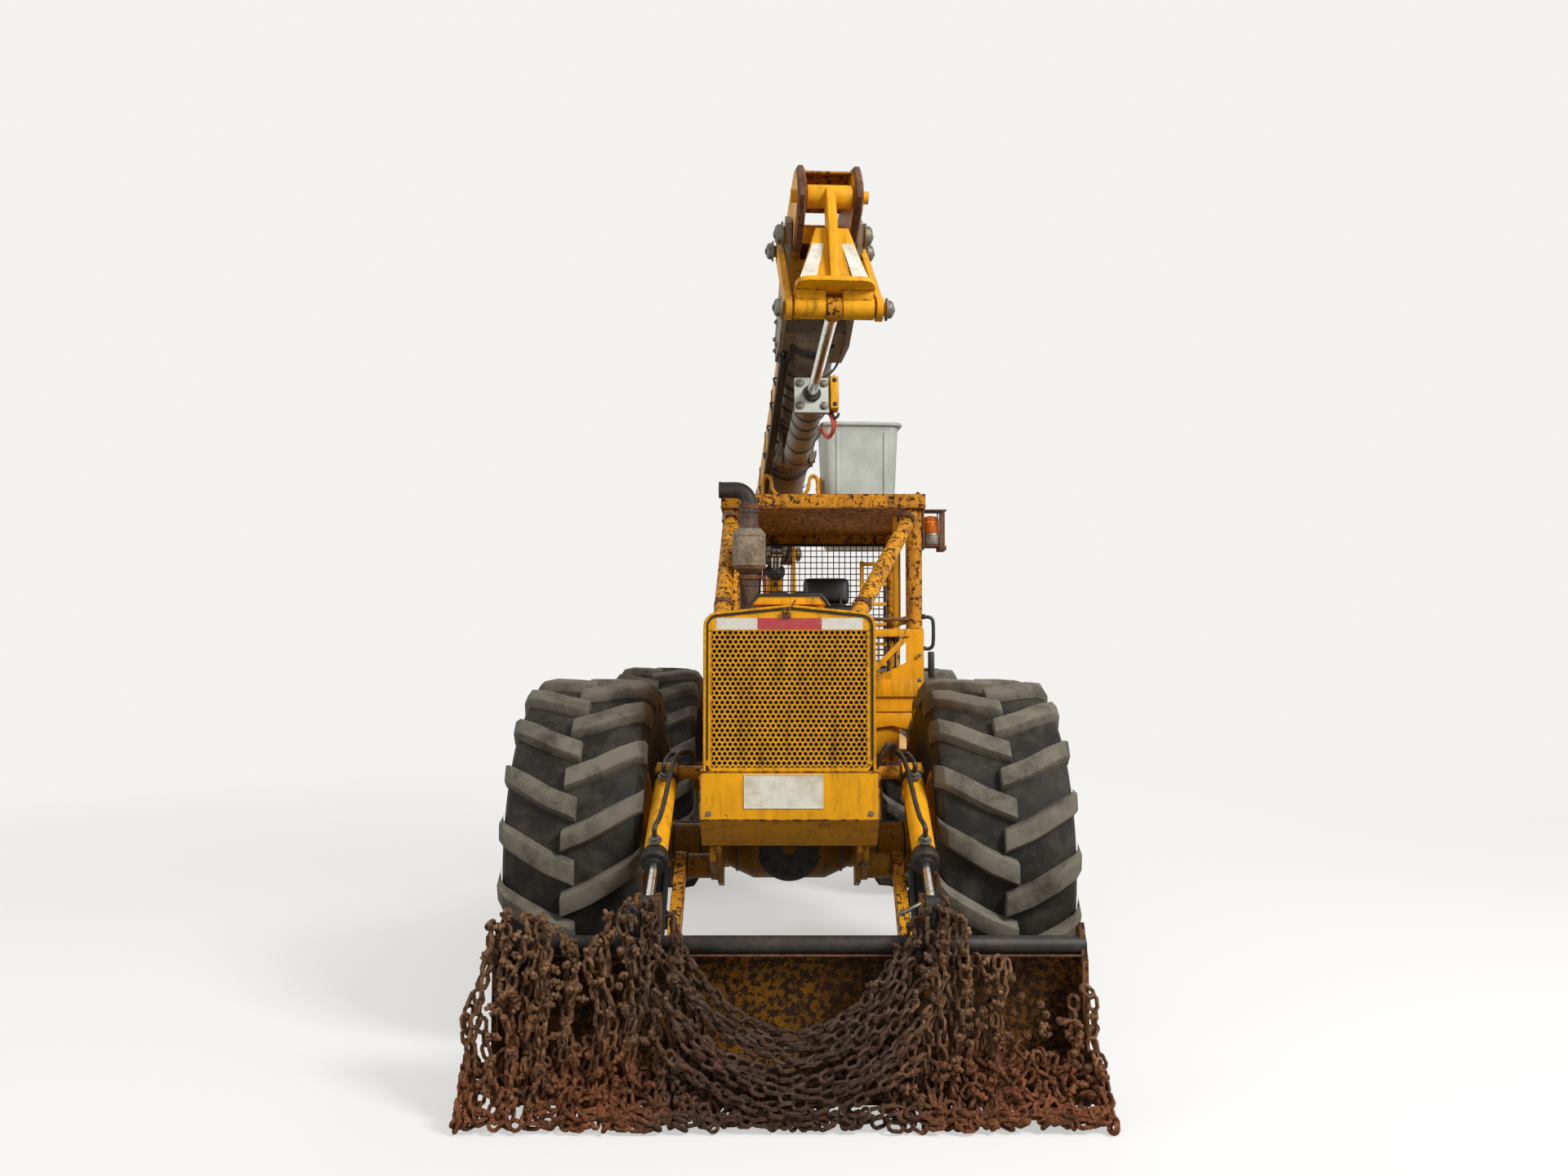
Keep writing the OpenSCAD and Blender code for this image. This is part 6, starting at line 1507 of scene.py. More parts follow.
def make_turret():
    """Slewing ring bolts and teeth, welds, hoses, swivel and pin ends of the turret."""
    top = []
    for spot, out in spin_about((TURRET.x, TURRET.y, 1.7803), AXIS_Z, 0.262, 24, 0.13):
        local = Matrix.Rotation(-BOOM_YAW, 3, "Z") @ (spot - Vector((TURRET.x, TURRET.y, 1.7803)))
        if 0.135 < abs(local.x) < 0.22 or local.y > 0.12:
            continue
        top.append(nut(spot, AXIS_Z, 0.013, 0.013))
    dress(top, "slew_ring_bolts", "zinc", "turret", "steel")
    low = []
    for i in range(20):
        a = i * math.tau / 20
        spot = Vector((TURRET.x + 0.266 * math.cos(a), TURRET.y + 0.266 * math.sin(a), 1.7))
        if max(abs(spot.x - TURRET.x), abs(spot.y - TURRET.y)) < 0.238:
            continue
        low.append(nut(spot, (0, 0, -1), 0.013, 0.013))
    teeth = [rod(spot - Vector((0, 0, 0.010)), spot + Vector((0, 0, 0.010)), 0.006, 6)
             for spot, out in spin_about((TURRET.x, TURRET.y, 1.715), AXIS_Z, 0.288, 60)]
    dress(low, "pedestal_ring_bolts", "zinc", "rear", "steel")
    dress(teeth, "slew_ring_teeth", "cast", "rear", "cast")
    frame_way = Matrix.Translation((TURRET.x, TURRET.y, 0)) @ Matrix.Rotation(BOOM_YAW, 4, "Z")
    hoses = []
    for k in range(4):
        x = -0.03 + 0.028 * k
        path = [(x, 0.10, 1.80), (x, 0.085, 1.95), (x * 1.3, 0.07, 2.15), (x * 1.5, 0.09, 2.33),
                (x, 0.115, 2.42)]
        hoses.append(pipe([frame_way @ Vector(p) for p in path], 0.0115, 12, smooth=3))
    dress(hoses, "turret_hoses_red", "orange", "turret", "black")
    black = []
    for k in range(3):
        x = -0.09 - 0.026 * k
        path = [(x, 0.11, 1.80), (x, 0.10, 1.95), (x * 0.9, 0.09, 2.10), (x * 0.8, 0.12, 2.25),
                (x * 0.7, 0.13, 2.34)]
        black.append(pipe([frame_way @ Vector(p) for p in path], HOSE, 12, smooth=3))
    dress(black, "turret_hoses_black", "rubber", "turret", "black")
    dress([turned([(0, 0), (0, 0.075), (0.09, 0.075), (0.10, 0.065), (0.15, 0.065), (0.155, 0.05),
                   (0.155, 0)], frame_way @ Vector((0, 0.04, 1.781)), AXIS_Z, 40)],
          "hydraulic_swivel", "cast", "turret", "cast")
    dress([pipe([frame_way @ Vector((side * w, y, 1.7835)) for y in (-0.225, 0.185)], 0.005, 8)
           for side in SIDES for w in (0.1655, 0.1885)],
          "turret_weld_beads", "paint_rust", "turret", "paint")
    pins = []
    for side in SIDES:
        spot = frame_way @ Vector((side * 0.195, -0.22, 1.85))
        out = frame_way.to_3x3() @ Vector((side, 0, 0))
        pins.append(turned([(0, 0), (0, 0.044), (0.008, 0.044), (0.010, 0.034), (0.020, 0.030), (0.020, 0)],
                           spot, out, 28))
    dress(pins, "lift_foot_pin_ends", "zinc", "turret", "steel")


def make_pedestal():
    """Weld beads, an access cover, bolts, the slewing motor and the valve bank with its levers and hoses."""
    x, y = TURRET.x, TURRET.y
    beads = [pipe([(x + sx * 0.22, y + sy * 0.22, 1.276), (x + sx * 0.22, y + sy * 0.22, 1.698)], 0.005, 8)
             for sx, sy in ((1, 1), (1, -1), (-1, -1), (-1, 1))]
    beads.append(pipe([(x - 0.221, y - 0.221, 1.277), (x + 0.221, y - 0.221, 1.277),
                       (x + 0.221, y + 0.221, 1.277), (x - 0.221, y + 0.221, 1.277)], 0.006, 8,
                      closed=True))
    dress(beads, "pedestal_weld_beads", "paint_rust", "rear", "paint")
    cover = [block((x + 0.2195, y + 0.03, 1.36), (x + 0.226, y + 0.19, 1.62), 0.002)]
    for yy in (0.045, 0.175):
        for z in (1.375, 1.49, 1.605):
            cover.append(nut((x + 0.226, y + yy, z), AXIS_X, 0.007, 0.006))
    dress(cover, "pedestal_access_cover", "paint", "rear", "paint")
    dress([nut((x + sx, y + sy, 1.274), AXIS_Z, 0.016, 0.014) for sx in (-0.27, 0.27)
           for sy in (-0.27, -0.14, 0.14, 0.27)], "pedestal_foot_bolts", "zinc", "rear", "steel")
    motor = [turned([(0, 0), (0, 0.062), (0.02, 0.062), (0.025, 0.05), (0.15, 0.05), (0.16, 0.042),
                     (0.16, 0)], (x - 0.20, y + 0.23, 1.52), AXIS_Z, 36),
             block((x - 0.255, y + 0.219, 1.50), (x - 0.145, y + 0.30, 1.53), 0.004),
             rod((x - 0.25, y + 0.23, 1.60), (x - 0.29, y + 0.23, 1.60), 0.014, 14, 0.002),
             rod((x - 0.25, y + 0.23, 1.645), (x - 0.29, y + 0.23, 1.645), 0.014, 14, 0.002)]
    dress(motor, "slew_motor", "cast", "rear", "cast")
    bank = [block((x - 0.302, y - 0.20, 1.34), (x - 0.2195, y + 0.10, 1.44), 0.005)]
    for i in range(5):
        yy = y - 0.17 + 0.058 * i
        bank += [block((x - 0.298, yy - 0.021, 1.438), (x - 0.226, yy + 0.021, 1.468), 0.004),
                 rod((x - 0.262, yy, 1.465), (x - 0.275, yy, 1.545), 0.0055, 10, 0.001),
                 rod((x - 0.262, yy, 1.342), (x - 0.262, yy, 1.315), 0.012, 12, 0.002)]
    dress(bank, "valve_bank", "cast", "rear", "cast")
    runs = []
    for i in range(5):
        yy = y - 0.17 + 0.058 * i
        runs.append(pipe([(x - 0.262, yy, 1.318), (x - 0.262, yy, 1.29), (x - 0.25, yy - 0.02, 1.272),
                          (x - 0.25, yy - 0.12, 1.267), (x - 0.16 - 0.02 * i, y - 0.34, 1.266),
                          (x - 0.10 - 0.025 * i, 1.02, 1.266)], HOSE, 12, smooth=3))
    dress(runs, "valve_bank_hoses", "rubber", "rear", "black")


def make_deck():
    """Tread plate on the deck, rolled edges, and the lamps, welds and bolts of the rear plate."""
    places = []
    for x0, x1, y0, y1 in ((-0.55, 0.20, 0.99, 1.36), (-0.55, -0.46, 1.40, 2.07), (0.22, 0.56, 1.55, 2.06),
                           (-0.17, 0.56, 2.09, 2.88)):
        y, k = y0, 0
        while y < y1:
            x = x0 + (0.03 if k % 2 else 0.0)
            while x < x1:
                turn = Matrix.Rotation(math.radians(45 if (k + round(x / 0.06)) % 2 else -45), 4, "Z")
                places.append(Matrix.Translation((x, y, 1.2495)) @ turn)
                x += 0.06
            y += 0.03
            k += 1
    lozenge = block((-0.013, -0.0035, 0), (0.013, 0.0035, 0.0028), 0)
    dress(copies(lozenge, places), "deck_tread_pattern", "paint_rust", "rear", "paint", angle=0)
    dress([pipe([(-0.588, 0.962, 1.245), (-0.588, 2.914, 1.245)], 0.0075, 8),
           pipe([(0.588, 0.962, 1.245), (0.588, 2.914, 1.245)], 0.0075, 8),
           pipe([(-0.588, 0.962, 1.245), (0.588, 0.962, 1.245)], 0.0075, 8)],
          "deck_rolled_edge", "paint_rust", "rear", "paint")
    lamps, lenses = [], []
    for side in SIDES:
        lamps.append(turned([(0, 0), (0, 0.052), (0.010, 0.055), (0.022, 0.053), (0.024, 0.047),
                             (0.018, 0.044), (0.018, 0)], (side * 0.44, 2.9405, 1.235), AXIS_Y, 32))
        lenses.append(turned([(0.018, 0.0), (0.018, 0.0445), (0.026, 0.042), (0.031, 0.028), (0.033, 0)],
                             (side * 0.44, 2.9405, 1.235), AXIS_Y, 32))
    dress(lamps, "rear_lamp_housings", "trim", "rear", "black")
    dress(lenses, "rear_lamp_lenses", "red_lens", "rear", "glass")
    welds = [pipe([(-0.56, 2.9415, 1.151), (0.56, 2.9415, 1.151)], 0.0055, 8)]
    for side in SIDES:
        for x in (0.300, 0.324):
            welds.append(pipe([(side * x, 2.9165, 0.70), (side * x, 2.9165, 0.985)], 0.005, 8))
    dress(welds, "rear_plate_welds", "paint_rust", "rear", "paint")
    dress([nut((side * x, 2.9405, z), AXIS_Y, 0.014, 0.012) for side in SIDES for x in (0.22, 0.50)
           for z in (0.76, 1.09)], "rear_plate_bolts", "zinc", "rear", "steel")


def make_deck_boxes():
    """Lid, hinges and hasp of the tool box; filler, gauge, straps and pipes of the oil tank."""
    lid = [block((-0.588, 2.097, 1.455), (-0.197, 2.853, 1.462), 0.002)]
    for y in (2.25, 2.70):
        lid += [rod((-0.5875, y - 0.05, 1.478), (-0.5875, y + 0.05, 1.478), 0.008, 12, 0.002),
                block((-0.589, y - 0.04, 1.44), (-0.584, y + 0.04, 1.505), 0.001)]
    dress(lid, "tool_box_lid_seam", "paint_rust", "rear", "paint")
    hasp = [block((-0.2005, 2.44, 1.43), (-0.195, 2.51, 1.50), 0.002),
            rod((-0.198, 2.475, 1.455), (-0.185, 2.475, 1.455), 0.006, 10),
            pipe([(-0.188, 2.462, 1.455), (-0.186, 2.462, 1.43), (-0.186, 2.475, 1.42),
                  (-0.186, 2.488, 1.43), (-0.188, 2.488, 1.455)], 0.004, 8, smooth=2),
            block((-0.196, 2.455, 1.385), (-0.174, 2.495, 1.422), 0.005)]
    for y in (2.22, 2.73):
        hasp.append(pipe([(-0.199, y - 0.05, 1.37), (-0.178, y - 0.05, 1.37), (-0.178, y + 0.05, 1.37),
                          (-0.199, y + 0.05, 1.37)], 0.005, 8, smooth=2))
    dress(hasp, "tool_box_hasp_and_handles", "zinc", "rear", "steel")
    cap = [turned([(0, 0), (0, 0.062), (0.010, 0.062), (0.012, 0.047), (0.038, 0.047), (0.040, 0.053),
                   (0.062, 0.052), (0.066, 0.046), (0.068, 0)], (0.46, 1.22, 1.459), AXIS_Z, 40)]
    for spot, out in spin_about((0.46, 1.22, 1.511), AXIS_Z, 0.053, 24):
        cap.append(rod(spot - Vector((0, 0, 0.010)), spot + Vector((0, 0, 0.010)), 0.003, 6))
    dress(cap, "oil_tank_filler", "cast", "rear", "black")
    dress([block((0.227, y - 0.016, 1.252), (0.583, y + 0.016, 1.4645), 0.003) for y in (1.17, 1.41)],
          "oil_tank_straps", "steel", "rear", "steel")
    dress([block((0.578, 1.27, 1.30), (0.590, 1.30, 1.43), 0.004),
           rod((0.584, 1.285, 1.305), (0.592, 1.285, 1.305), 0.009, 12),
           rod((0.584, 1.285, 1.425), (0.592, 1.285, 1.425), 0.009, 12),
           nut((0.30, 1.0805, 1.28), (0, -1, 0), 0.014, 0.012)], "oil_tank_gauge", "zinc", "rear", "steel")
    dress([pipe([(0.29 + 0.07 * k, 1.502, 1.30), (0.29 + 0.07 * k, 1.54, 1.30),
                 (0.27 + 0.05 * k, 1.57, 1.272), (0.20 + 0.02 * k, 1.62 + 0.03 * k, 1.268),
                 (0.085, 1.64 + 0.04 * k, 1.285)], 0.013, 12, smooth=3) for k in range(3)],
          "oil_tank_hoses", "rubber", "rear", "black")


def make_axles():
    """Bowl covers with their bolts, ribs, brake lines and clamps on both axles."""
    for end, sign, body in (("front", -1, "root"), ("rear", 1, "rear")):
        y = sign * AXLE_Y
        parts = [turned([(0.152, 0.0), (0.163, 0.045), (0.163, 0.135), (0.155, 0.150), (0.135, 0.152)],
                        (0, y, AXLE_Z), (0, sign, 0), 48)]
        for spot, out in spin_about((0, y + sign * 0.162, AXLE_Z), (0, sign, 0), 0.118, 12, 0.2):
            parts.append(nut(spot, (0, sign, 0), 0.011, 0.010))
        parts.append(nut((0, y + sign * 0.160, AXLE_Z - 0.055), (0, sign, 0), 0.016, 0.012))
        for side in SIDES:
            for x in (0.21, 0.25, 0.42, 0.55):
                grow = 0.108 if x > 0.3 else 0.130
                parts.append(turned([(-0.005, 0.09), (-0.005, grow), (0.005, grow), (0.005, 0.09)],
                                    (side * x, y, AXLE_Z), AXIS_X, 40))
        dress(parts, f"axle_bowl_cover_{end}", "cast", body, "cast")
        lines = [pipe([(side * 0.12, y + sign * 0.05, AXLE_Z + 0.158),
                       (side * 0.22, y + sign * 0.04, AXLE_Z + 0.135),
                       (side * 0.34, y + sign * 0.06, AXLE_Z + 0.112),
                       (side * 0.56, y + sign * 0.06, AXLE_Z + 0.112),
                       (side * 0.66, y + sign * 0.05, AXLE_Z + 0.15)], 0.005, 8, smooth=2)
                 for side in SIDES]
        dress(lines, f"axle_brake_lines_{end}", "steel", body, "steel")


def make_steering():
    """Glands, base rings and ports of the steering cylinders."""
    for hand, side in (("left", 1), ("right", -1)):
        foot, eye = Vector((side * 0.23, -0.61, 0.88)), Vector((side * 0.15, 0.2, 0.88))
        way = (eye - foot).normalized()
        parts = [turned([(-0.012, 0.0445), (-0.012, 0.051), (0.014, 0.051), (0.018, 0.038),
                         (0.018, 0.0225)], foot + way * 0.548, way, 36),
                 turned([(-0.012, 0.0445), (-0.010, 0.0485), (0.010, 0.0485), (0.012, 0.0445)],
                        foot + way * 0.095, way, 36)]
        for share in (0.13, 0.50):
            spot = foot + way * share
            parts.append(rod(spot, spot + Vector((0, 0, 0.062)), 0.013, 14, 0.002))
        dress(parts, f"steer_cylinder_gland_{hand}", "cast", f"steer_barrel_{hand}", "cast")


def make_lift():
    """Gland, base ring and ports of the lift cylinder."""
    foot = Vector((0, -0.22, 1.85))
    way = Vector((0, -0.6863, 0.7273)).normalized()
    frame_way = Matrix.Translation((TURRET.x, TURRET.y, 0)) @ Matrix.Rotation(BOOM_YAW, 4, "Z")
    turn = frame_way.to_3x3()
    parts = [turned([(-0.02, 0.0615), (-0.02, 0.070), (0.012, 0.070), (0.018, 0.050), (0.018, 0.033)],
                    frame_way @ (foot + way * 0.588), turn @ way, 40),
             turned([(-0.015, 0.0615), (-0.012, 0.0665), (0.012, 0.0665), (0.015, 0.0615)],
                    frame_way @ (foot + way * 0.075), turn @ way, 40)]
    over = Vector((0, way.z, -way.y))
    for share in (0.12, 0.53):
        spot = foot + way * share
        parts.append(rod(frame_way @ spot, frame_way @ (spot + over * -0.085), 0.016, 14, 0.002))
    dress(parts, "lift_cylinder_gland", "cast", "lift_barrel", "cast")


def make_upper_boom():
    """Bands, hose run, levelling cable and bolts along the upper boom, and the tip's bearing plates."""
    start_at, end_at = (3.7, 0.30), BOOM_TIP
    slope = math.atan2(end_at[1] - start_at[1], end_at[0] - start_at[0])

    def beam(w, t, up):
        """A point along the upper boom from its elbow end, in metres, and up from its middle."""
        u = start_at[0] + t * math.cos(slope) + up * math.sin(slope)
        v = start_at[1] + t * math.sin(slope) - up * math.cos(slope)
        return boom(w, u, v)

    bands = [plate([beam(w0, t, low), beam(w1, t, low), beam(w1, t, high), beam(w0, t, high)],
                   beam(0, t + 0.03, 0) - beam(0, t, 0), 0.001) for t in (0.45, 1.15, 1.9, 2.65, 3.4, 3.95)
             for w0, w1, low, high in ((-0.0875, 0.0875, 0.0955, 0.1005),
                                       (-0.0875, 0.0875, -0.1005, -0.0955),
                                       (0.0855, 0.0905, -0.1005, 0.1005),
                                       (-0.0905, -0.0855, -0.1005, 0.1005))]
    dress(bands, "upper_boom_bands", "paint_rust", "upper_boom", "paint")
    hoses = []
    for k in range(3):
        w = -0.035 + 0.032 * k
        path = [beam(w, 0.5 + 0.3 * i, 0.113 + 0.004 * ((i + k) % 2)) for i in range(12)]
        hoses.append(pipe(path, bpy.context.scene.skidder_sizes.hose, 10, smooth=2))
    dress(hoses, "upper_boom_hoses", "rubber", "upper_boom", "black")
    dress([pipe([beam(-0.062, t, 0.097), beam(-0.055, t, 0.128), beam(0.050, t, 0.128),
                 beam(0.058, t, 0.097)], 0.004, 8, smooth=1) for t in (0.8, 1.5, 2.2, 2.9, 3.6)],
          "upper_boom_hose_clips", "zinc", "upper_boom", "steel")
    cable = [pipe([beam(0.104, 0.55, 0.02), beam(0.104, 2.2, 0.016), beam(0.104, 3.9, 0.02)], 0.005, 8,
                  smooth=1), rod(beam(0.104, 1.9, 0.017), beam(0.104, 2.15, 0.0165), 0.011, 10, 0.002)]
    for t in (0.5, 3.92):
        cable.append(rod(beam(0.084, t, 0.02), beam(0.112, t, 0.02), 0.014, 12, 0.002))
    dress(cable, "levelling_cable", "steel", "upper_boom", "steel")
    dress([nut(beam(sign * 0.1022, t, up), boom_way(sign, 0, 0), 0.012, 0.010) for sign in SIDES
           for t, up in ((0.12, 0.045), (0.12, -0.045), (0.24, 0.045), (0.24, -0.045))],
          "upper_boom_root_bolts", "zinc", "upper_boom", "steel")
    dress([turned([(0, 0.031), (0, 0.072), (0.012, 0.070), (0.012, 0.031)], boom(sign * 0.0705, *end_at),
                  boom_way(sign, 0, 0), 40) for sign in SIDES],
          "boom_tip_bearings", "cast", "upper_boom", "cast")


def make_level_gear():
    """Grooved rim of the levelling sheave, its hub ring and the bolts on its face."""
    centre = boom(0.0, *BOOM_TIP)
    out = boom_way(1, 0, 0)
    rim = turned([(0.094, 0.1195), (0.094, 0.128), (0.104, 0.128), (0.107, 0.1215), (0.113, 0.1215),
                  (0.116, 0.128), (0.126, 0.128), (0.126, 0.1195)], centre, out, 64)
    parts = [rim, turned([(0.126, 0.03), (0.126, 0.055), (0.134, 0.052), (0.134, 0.03)], centre, out, 36)]
    for spot, way in spin_about(centre + out * 0.1255, out, 0.082, 6):
        parts.append(nut(spot, out, 0.010, 0.008))
    dress(parts, "level_sheave_rim", "steel", "leveller", "steel")


def make_under_hood():
    """Sump pan with its bolts, and the hoses below the hood and beside it."""
    parts = [block((-0.17, -1.90, 0.955), (0.17, -1.20, 1.0), 0.02)]
    for y in np.arange(-1.85, -1.21, 0.09):
        for side in SIDES:
            parts.append(nut((side * 0.172, y, 0.998), (0, 0, -1), 0.008, 0.008))
    parts.append(nut((0.0, -1.55, 0.957), (0, 0, -1), 0.018, 0.014))
    dress(parts, "engine_sump", "cast", "root", "cast")
    dress([pipe([(side * 0.25, y + 0.02, 1.23), (side * 0.27, y + 0.03, 1.12),
                 (side * 0.26, y + 0.10, 1.02), (side * 0.24, y + 0.28, 0.96),
                 (side * 0.20, y + 0.48, 0.945)], 0.016, 14, smooth=3)
           for side, y in ((1, -1.99), (-1, -1.98))], "engine_bay_hoses", "rubber", "root", "black")
    dress([pipe([(0.378, -1.99 + 0.03 * k, 1.20), (0.40 + 0.01 * k, -2.03, 1.27 + 0.02 * k),
                 (0.43 + 0.012 * k, -2.0, 1.32), (0.455 + 0.01 * k, -1.95, 1.30),
                 (0.46, -1.885, 1.24 + 0.012 * k)], HOSE, 12, smooth=3) for k in range(3)],
          "ram_feed_hoses", "rubber", "root", "black")


# Stage, camera and lamps
def make_stage():
    """Pale floor, plain studio lamps and the camera at the photograph's place."""
    held = bpy.context.scene.skidder_stage
    clear()
    bpy.ops.mesh.primitive_plane_add(size=240, location=(0, 0, 0))
    floor = bpy.context.object
    floor.name = "floor"
    made, add, shader, where = start("floor_pale")
    camera_ray = add("LightPath", {}, "Is Camera Ray")
    paths = camera_ray.node.outputs
    mirrored = add("Math", {0: paths["Is Glossy Ray"], 1: paths["Is Transmission Ray"]},
                   operation="MAXIMUM")
    seen = add("Math", {0: camera_ray, 1: mirrored}, operation="MAXIMUM")
    reach = add("VectorMath", {0: where}, "Value", operation="LENGTH")
    far = add("MapRange", {"Value": reach, "From Min": 2.0, "From Max": 11.0})
    share = add("Math", {0: far, 1: 0.45, 2: 0.55}, operation="MULTIPLY_ADD")
    fill(shader,
         {"Base Color": add("Mix", {0: camera_ray, 6: linear(held.ground), 7: linear(held.floor)}, 2,
                            data_type="RGBA"), "Roughness": 0.9, "Specular IOR Level": 0.0})
    glow = add("Emission", {"Color": linear(held.floor), "Strength": 1.0})
    white = add("Math", {0: share, 1: seen}, operation="MULTIPLY")
    fill(made.node_tree.nodes["Material Output"],
         {"Surface": add("MixShader", {0: white, 1: shader.outputs[0], 2: glow})})
    floor.data.materials.append(made)
    world = bpy.data.worlds.new("studio")
    bpy.context.scene.world = world
    world.use_nodes = True
    world.node_tree.nodes.clear()
    add = partial(node, world.node_tree)
    camera_ray = add("LightPath", {}, "Is Camera Ray")
    paths = camera_ray.node.outputs
    mirrored = add("Math", {0: paths["Is Glossy Ray"], 1: paths["Is Transmission Ray"]},
                   operation="MAXIMUM")
    seen = add("Math", {0: camera_ray, 1: mirrored}, operation="MAXIMUM")
    soft = add("Background", {"Color": linear("#e9e8e4"), "Strength": 0.55})
    pale = add("Background", {"Color": linear(held.floor), "Strength": 1.0})
    fill(world.node_tree.nodes.new("ShaderNodeOutputWorld"),
         {"Surface": add("MixShader", {0: seen, 1: soft, 2: pale})})
    for name, spot, aim, size, watts in (("key_lamp", (6.5, -7.5, 7.5), (0, 0, 1.2), 3.0, held.key),
                                         ("fill_lamp", (-7.5, -6.0, 4.0), (0, -1, 1.2), 5.0, held.fill),
                                         ("back_lamp", (1.5, 9.0, 7.0), (0, 1, 1.5), 5.0, held.rim)):
        bpy.ops.object.light_add(type="AREA", location=spot)
        lamp = bpy.context.object
        lamp.name = name
        lamp.data.size = size
        lamp.data.energy = watts
        lamp.rotation_euler = (Vector(aim) - Vector(spot)).to_track_quat("-Z", "Y").to_euler()
    bpy.ops.object.camera_add(location=(-0.024, -7.22, 1.755), rotation=(math.radians(92.78), 0, 0))
    camera = bpy.context.object
    camera.name = "photo_camera"
    camera.data.lens = 27.0
    camera.data.sensor_width = 36.0
    bpy.context.scene.camera = camera
    bpy.context.scene.view_settings.view_transform = "Standard"


# Operators, panel and registration
class SKIDDER_OT_stage(bpy.types.Operator):
    """Adds the pale floor, the studio lamps and the camera"""
    bl_idname = "skidder.stage"
    bl_label = "Stage"

    def execute(self, context):
        make_stage()
        return {"FINISHED"}


class SKIDDER_OT_finishes(bpy.types.Operator):
    """Makes every finish and gives the CAD nodes theirs"""
    bl_idname = "skidder.finishes"
    bl_label = "Finishes"

    def execute(self, context):
        make_finishes()
        finish_cad()
        return {"FINISHED"}


class SKIDDER_OT_wheels(bpy.types.Operator):
    """Builds the forestry tyres with their lugs, lock rings and nuts"""
    bl_idname = "skidder.wheels"
    bl_label = "Wheels"

    def execute(self, context):
        make_wheels()
        return {"FINISHED"}


class SKIDDER_OT_chains(bpy.types.Operator):
    """Heaps the rusted tyre chains over the blade"""
    bl_idname = "skidder.chains"
    bl_label = "Tyre chains"

    def execute(self, context):
        make_chains()
        return {"FINISHED"}


class SKIDDER_OT_blade(bpy.types.Operator):
    """Adds the blade's top pipe, edge bolts, weld beads and pins"""
    bl_idname = "skidder.blade"
    bl_label = "Blade"

    def execute(self, context):
        make_blade()
        return {"FINISHED"}


class SKIDDER_OT_blade_rams(bpy.types.Operator):
    """Adds glands, ports and hoses to the blade cylinders"""
    bl_idname = "skidder.blade_rams"
    bl_label = "Blade cylinders"

    def execute(self, context):
        make_blade_rams()
        return {"FINISHED"}


class SKIDDER_OT_grille(bpy.types.Operator):
    """Builds the perforated nose sheet and the radiator behind it"""
    bl_idname = "skidder.grille"
    bl_label = "Grille"

    def execute(self, context):
        make_grille()
        return {"FINISHED"}


class SKIDDER_OT_nose(bpy.types.Operator):
    """Adds the blank sign plate, folds and bolts of the nose box"""
    bl_idname = "skidder.nose"
    bl_label = "Nose box"

    def execute(self, context):
        make_nose()
        return {"FINISHED"}


class SKIDDER_OT_hood(bpy.types.Operator):
    """Adds the scoop, latch, louvres and hinges of the hood"""
    bl_idname = "skidder.hood"
    bl_label = "Hood"

    def execute(self, context):
        make_hood()
        return {"FINISHED"}


class SKIDDER_OT_under_hood(bpy.types.Operator):
    """Adds the sump and the hoses of the engine bay"""
    bl_idname = "skidder.under_hood"
    bl_label = "Engine bay"

    def execute(self, context):
        make_under_hood()
        return {"FINISHED"}


class SKIDDER_OT_cab_mesh(bpy.types.Operator):
    """Weaves the rear screen and the front window's wire"""
    bl_idname = "skidder.cab_mesh"
    bl_label = "Cab mesh"

    def execute(self, context):
        make_cab_mesh()
        return {"FINISHED"}


class SKIDDER_OT_cab_front(bpy.types.Operator):
    """Adds the ribs, arch and bolts of the cab's front plate"""
    bl_idname = "skidder.cab_front"
    bl_label = "Cab front"

    def execute(self, context):
        make_cab_front()
        return {"FINISHED"}


class SKIDDER_OT_cab_body(bpy.types.Operator):
    """Adds collars, lips, gussets, ladder and step grips to the cab"""
    bl_idname = "skidder.cab_body"
    bl_label = "Cab body"

    def execute(self, context):
        make_cab_body()
        return {"FINISHED"}


class SKIDDER_OT_seat(bpy.types.Operator):
    """Builds the padded vinyl seat and the control levers"""
    bl_idname = "skidder.seat"
    bl_label = "Seat"

    def execute(self, context):
        make_seat()
        return {"FINISHED"}


class SKIDDER_OT_dash(bpy.types.Operator):
    """Builds the dash with its loose cover, gauges and steering wheel"""
    bl_idname = "skidder.dash"
    bl_label = "Dash"

    def execute(self, context):
        make_dash()
        return {"FINISHED"}


class SKIDDER_OT_cab_extras(bpy.types.Operator):
    """Builds the warning lamp, the grab loop and the mirror"""
    bl_idname = "skidder.cab_extras"
    bl_label = "Lamp and mirror"

    def execute(self, context):
        make_cab_extras()
        return {"FINISHED"}


class SKIDDER_OT_exhaust(bpy.types.Operator):
    """Builds the exhaust stack with its muffler and outlet"""
    bl_idname = "skidder.exhaust"
    bl_label = "Exhaust"

    def execute(self, context):
        make_exhaust()
        return {"FINISHED"}


class SKIDDER_OT_running_gear(bpy.types.Operator):
    """Dresses the axles and the steering cylinders"""
    bl_idname = "skidder.running_gear"
    bl_label = "Running gear"

    def execute(self, context):
        make_axles()
        make_steering()
        return {"FINISHED"}


class SKIDDER_OT_deck(bpy.types.Operator):
    """Adds the tread plate, lamps and boxes of the rear deck"""
    bl_idname = "skidder.deck"
    bl_label = "Rear deck"

    def execute(self, context):
        make_deck()
        make_deck_boxes()
        return {"FINISHED"}


class SKIDDER_OT_pedestal(bpy.types.Operator):
    """Adds the slewing motor, valve bank and welds of the pedestal"""
    bl_idname = "skidder.pedestal"
    bl_label = "Pedestal"

    def execute(self, context):
        make_pedestal()
        return {"FINISHED"}


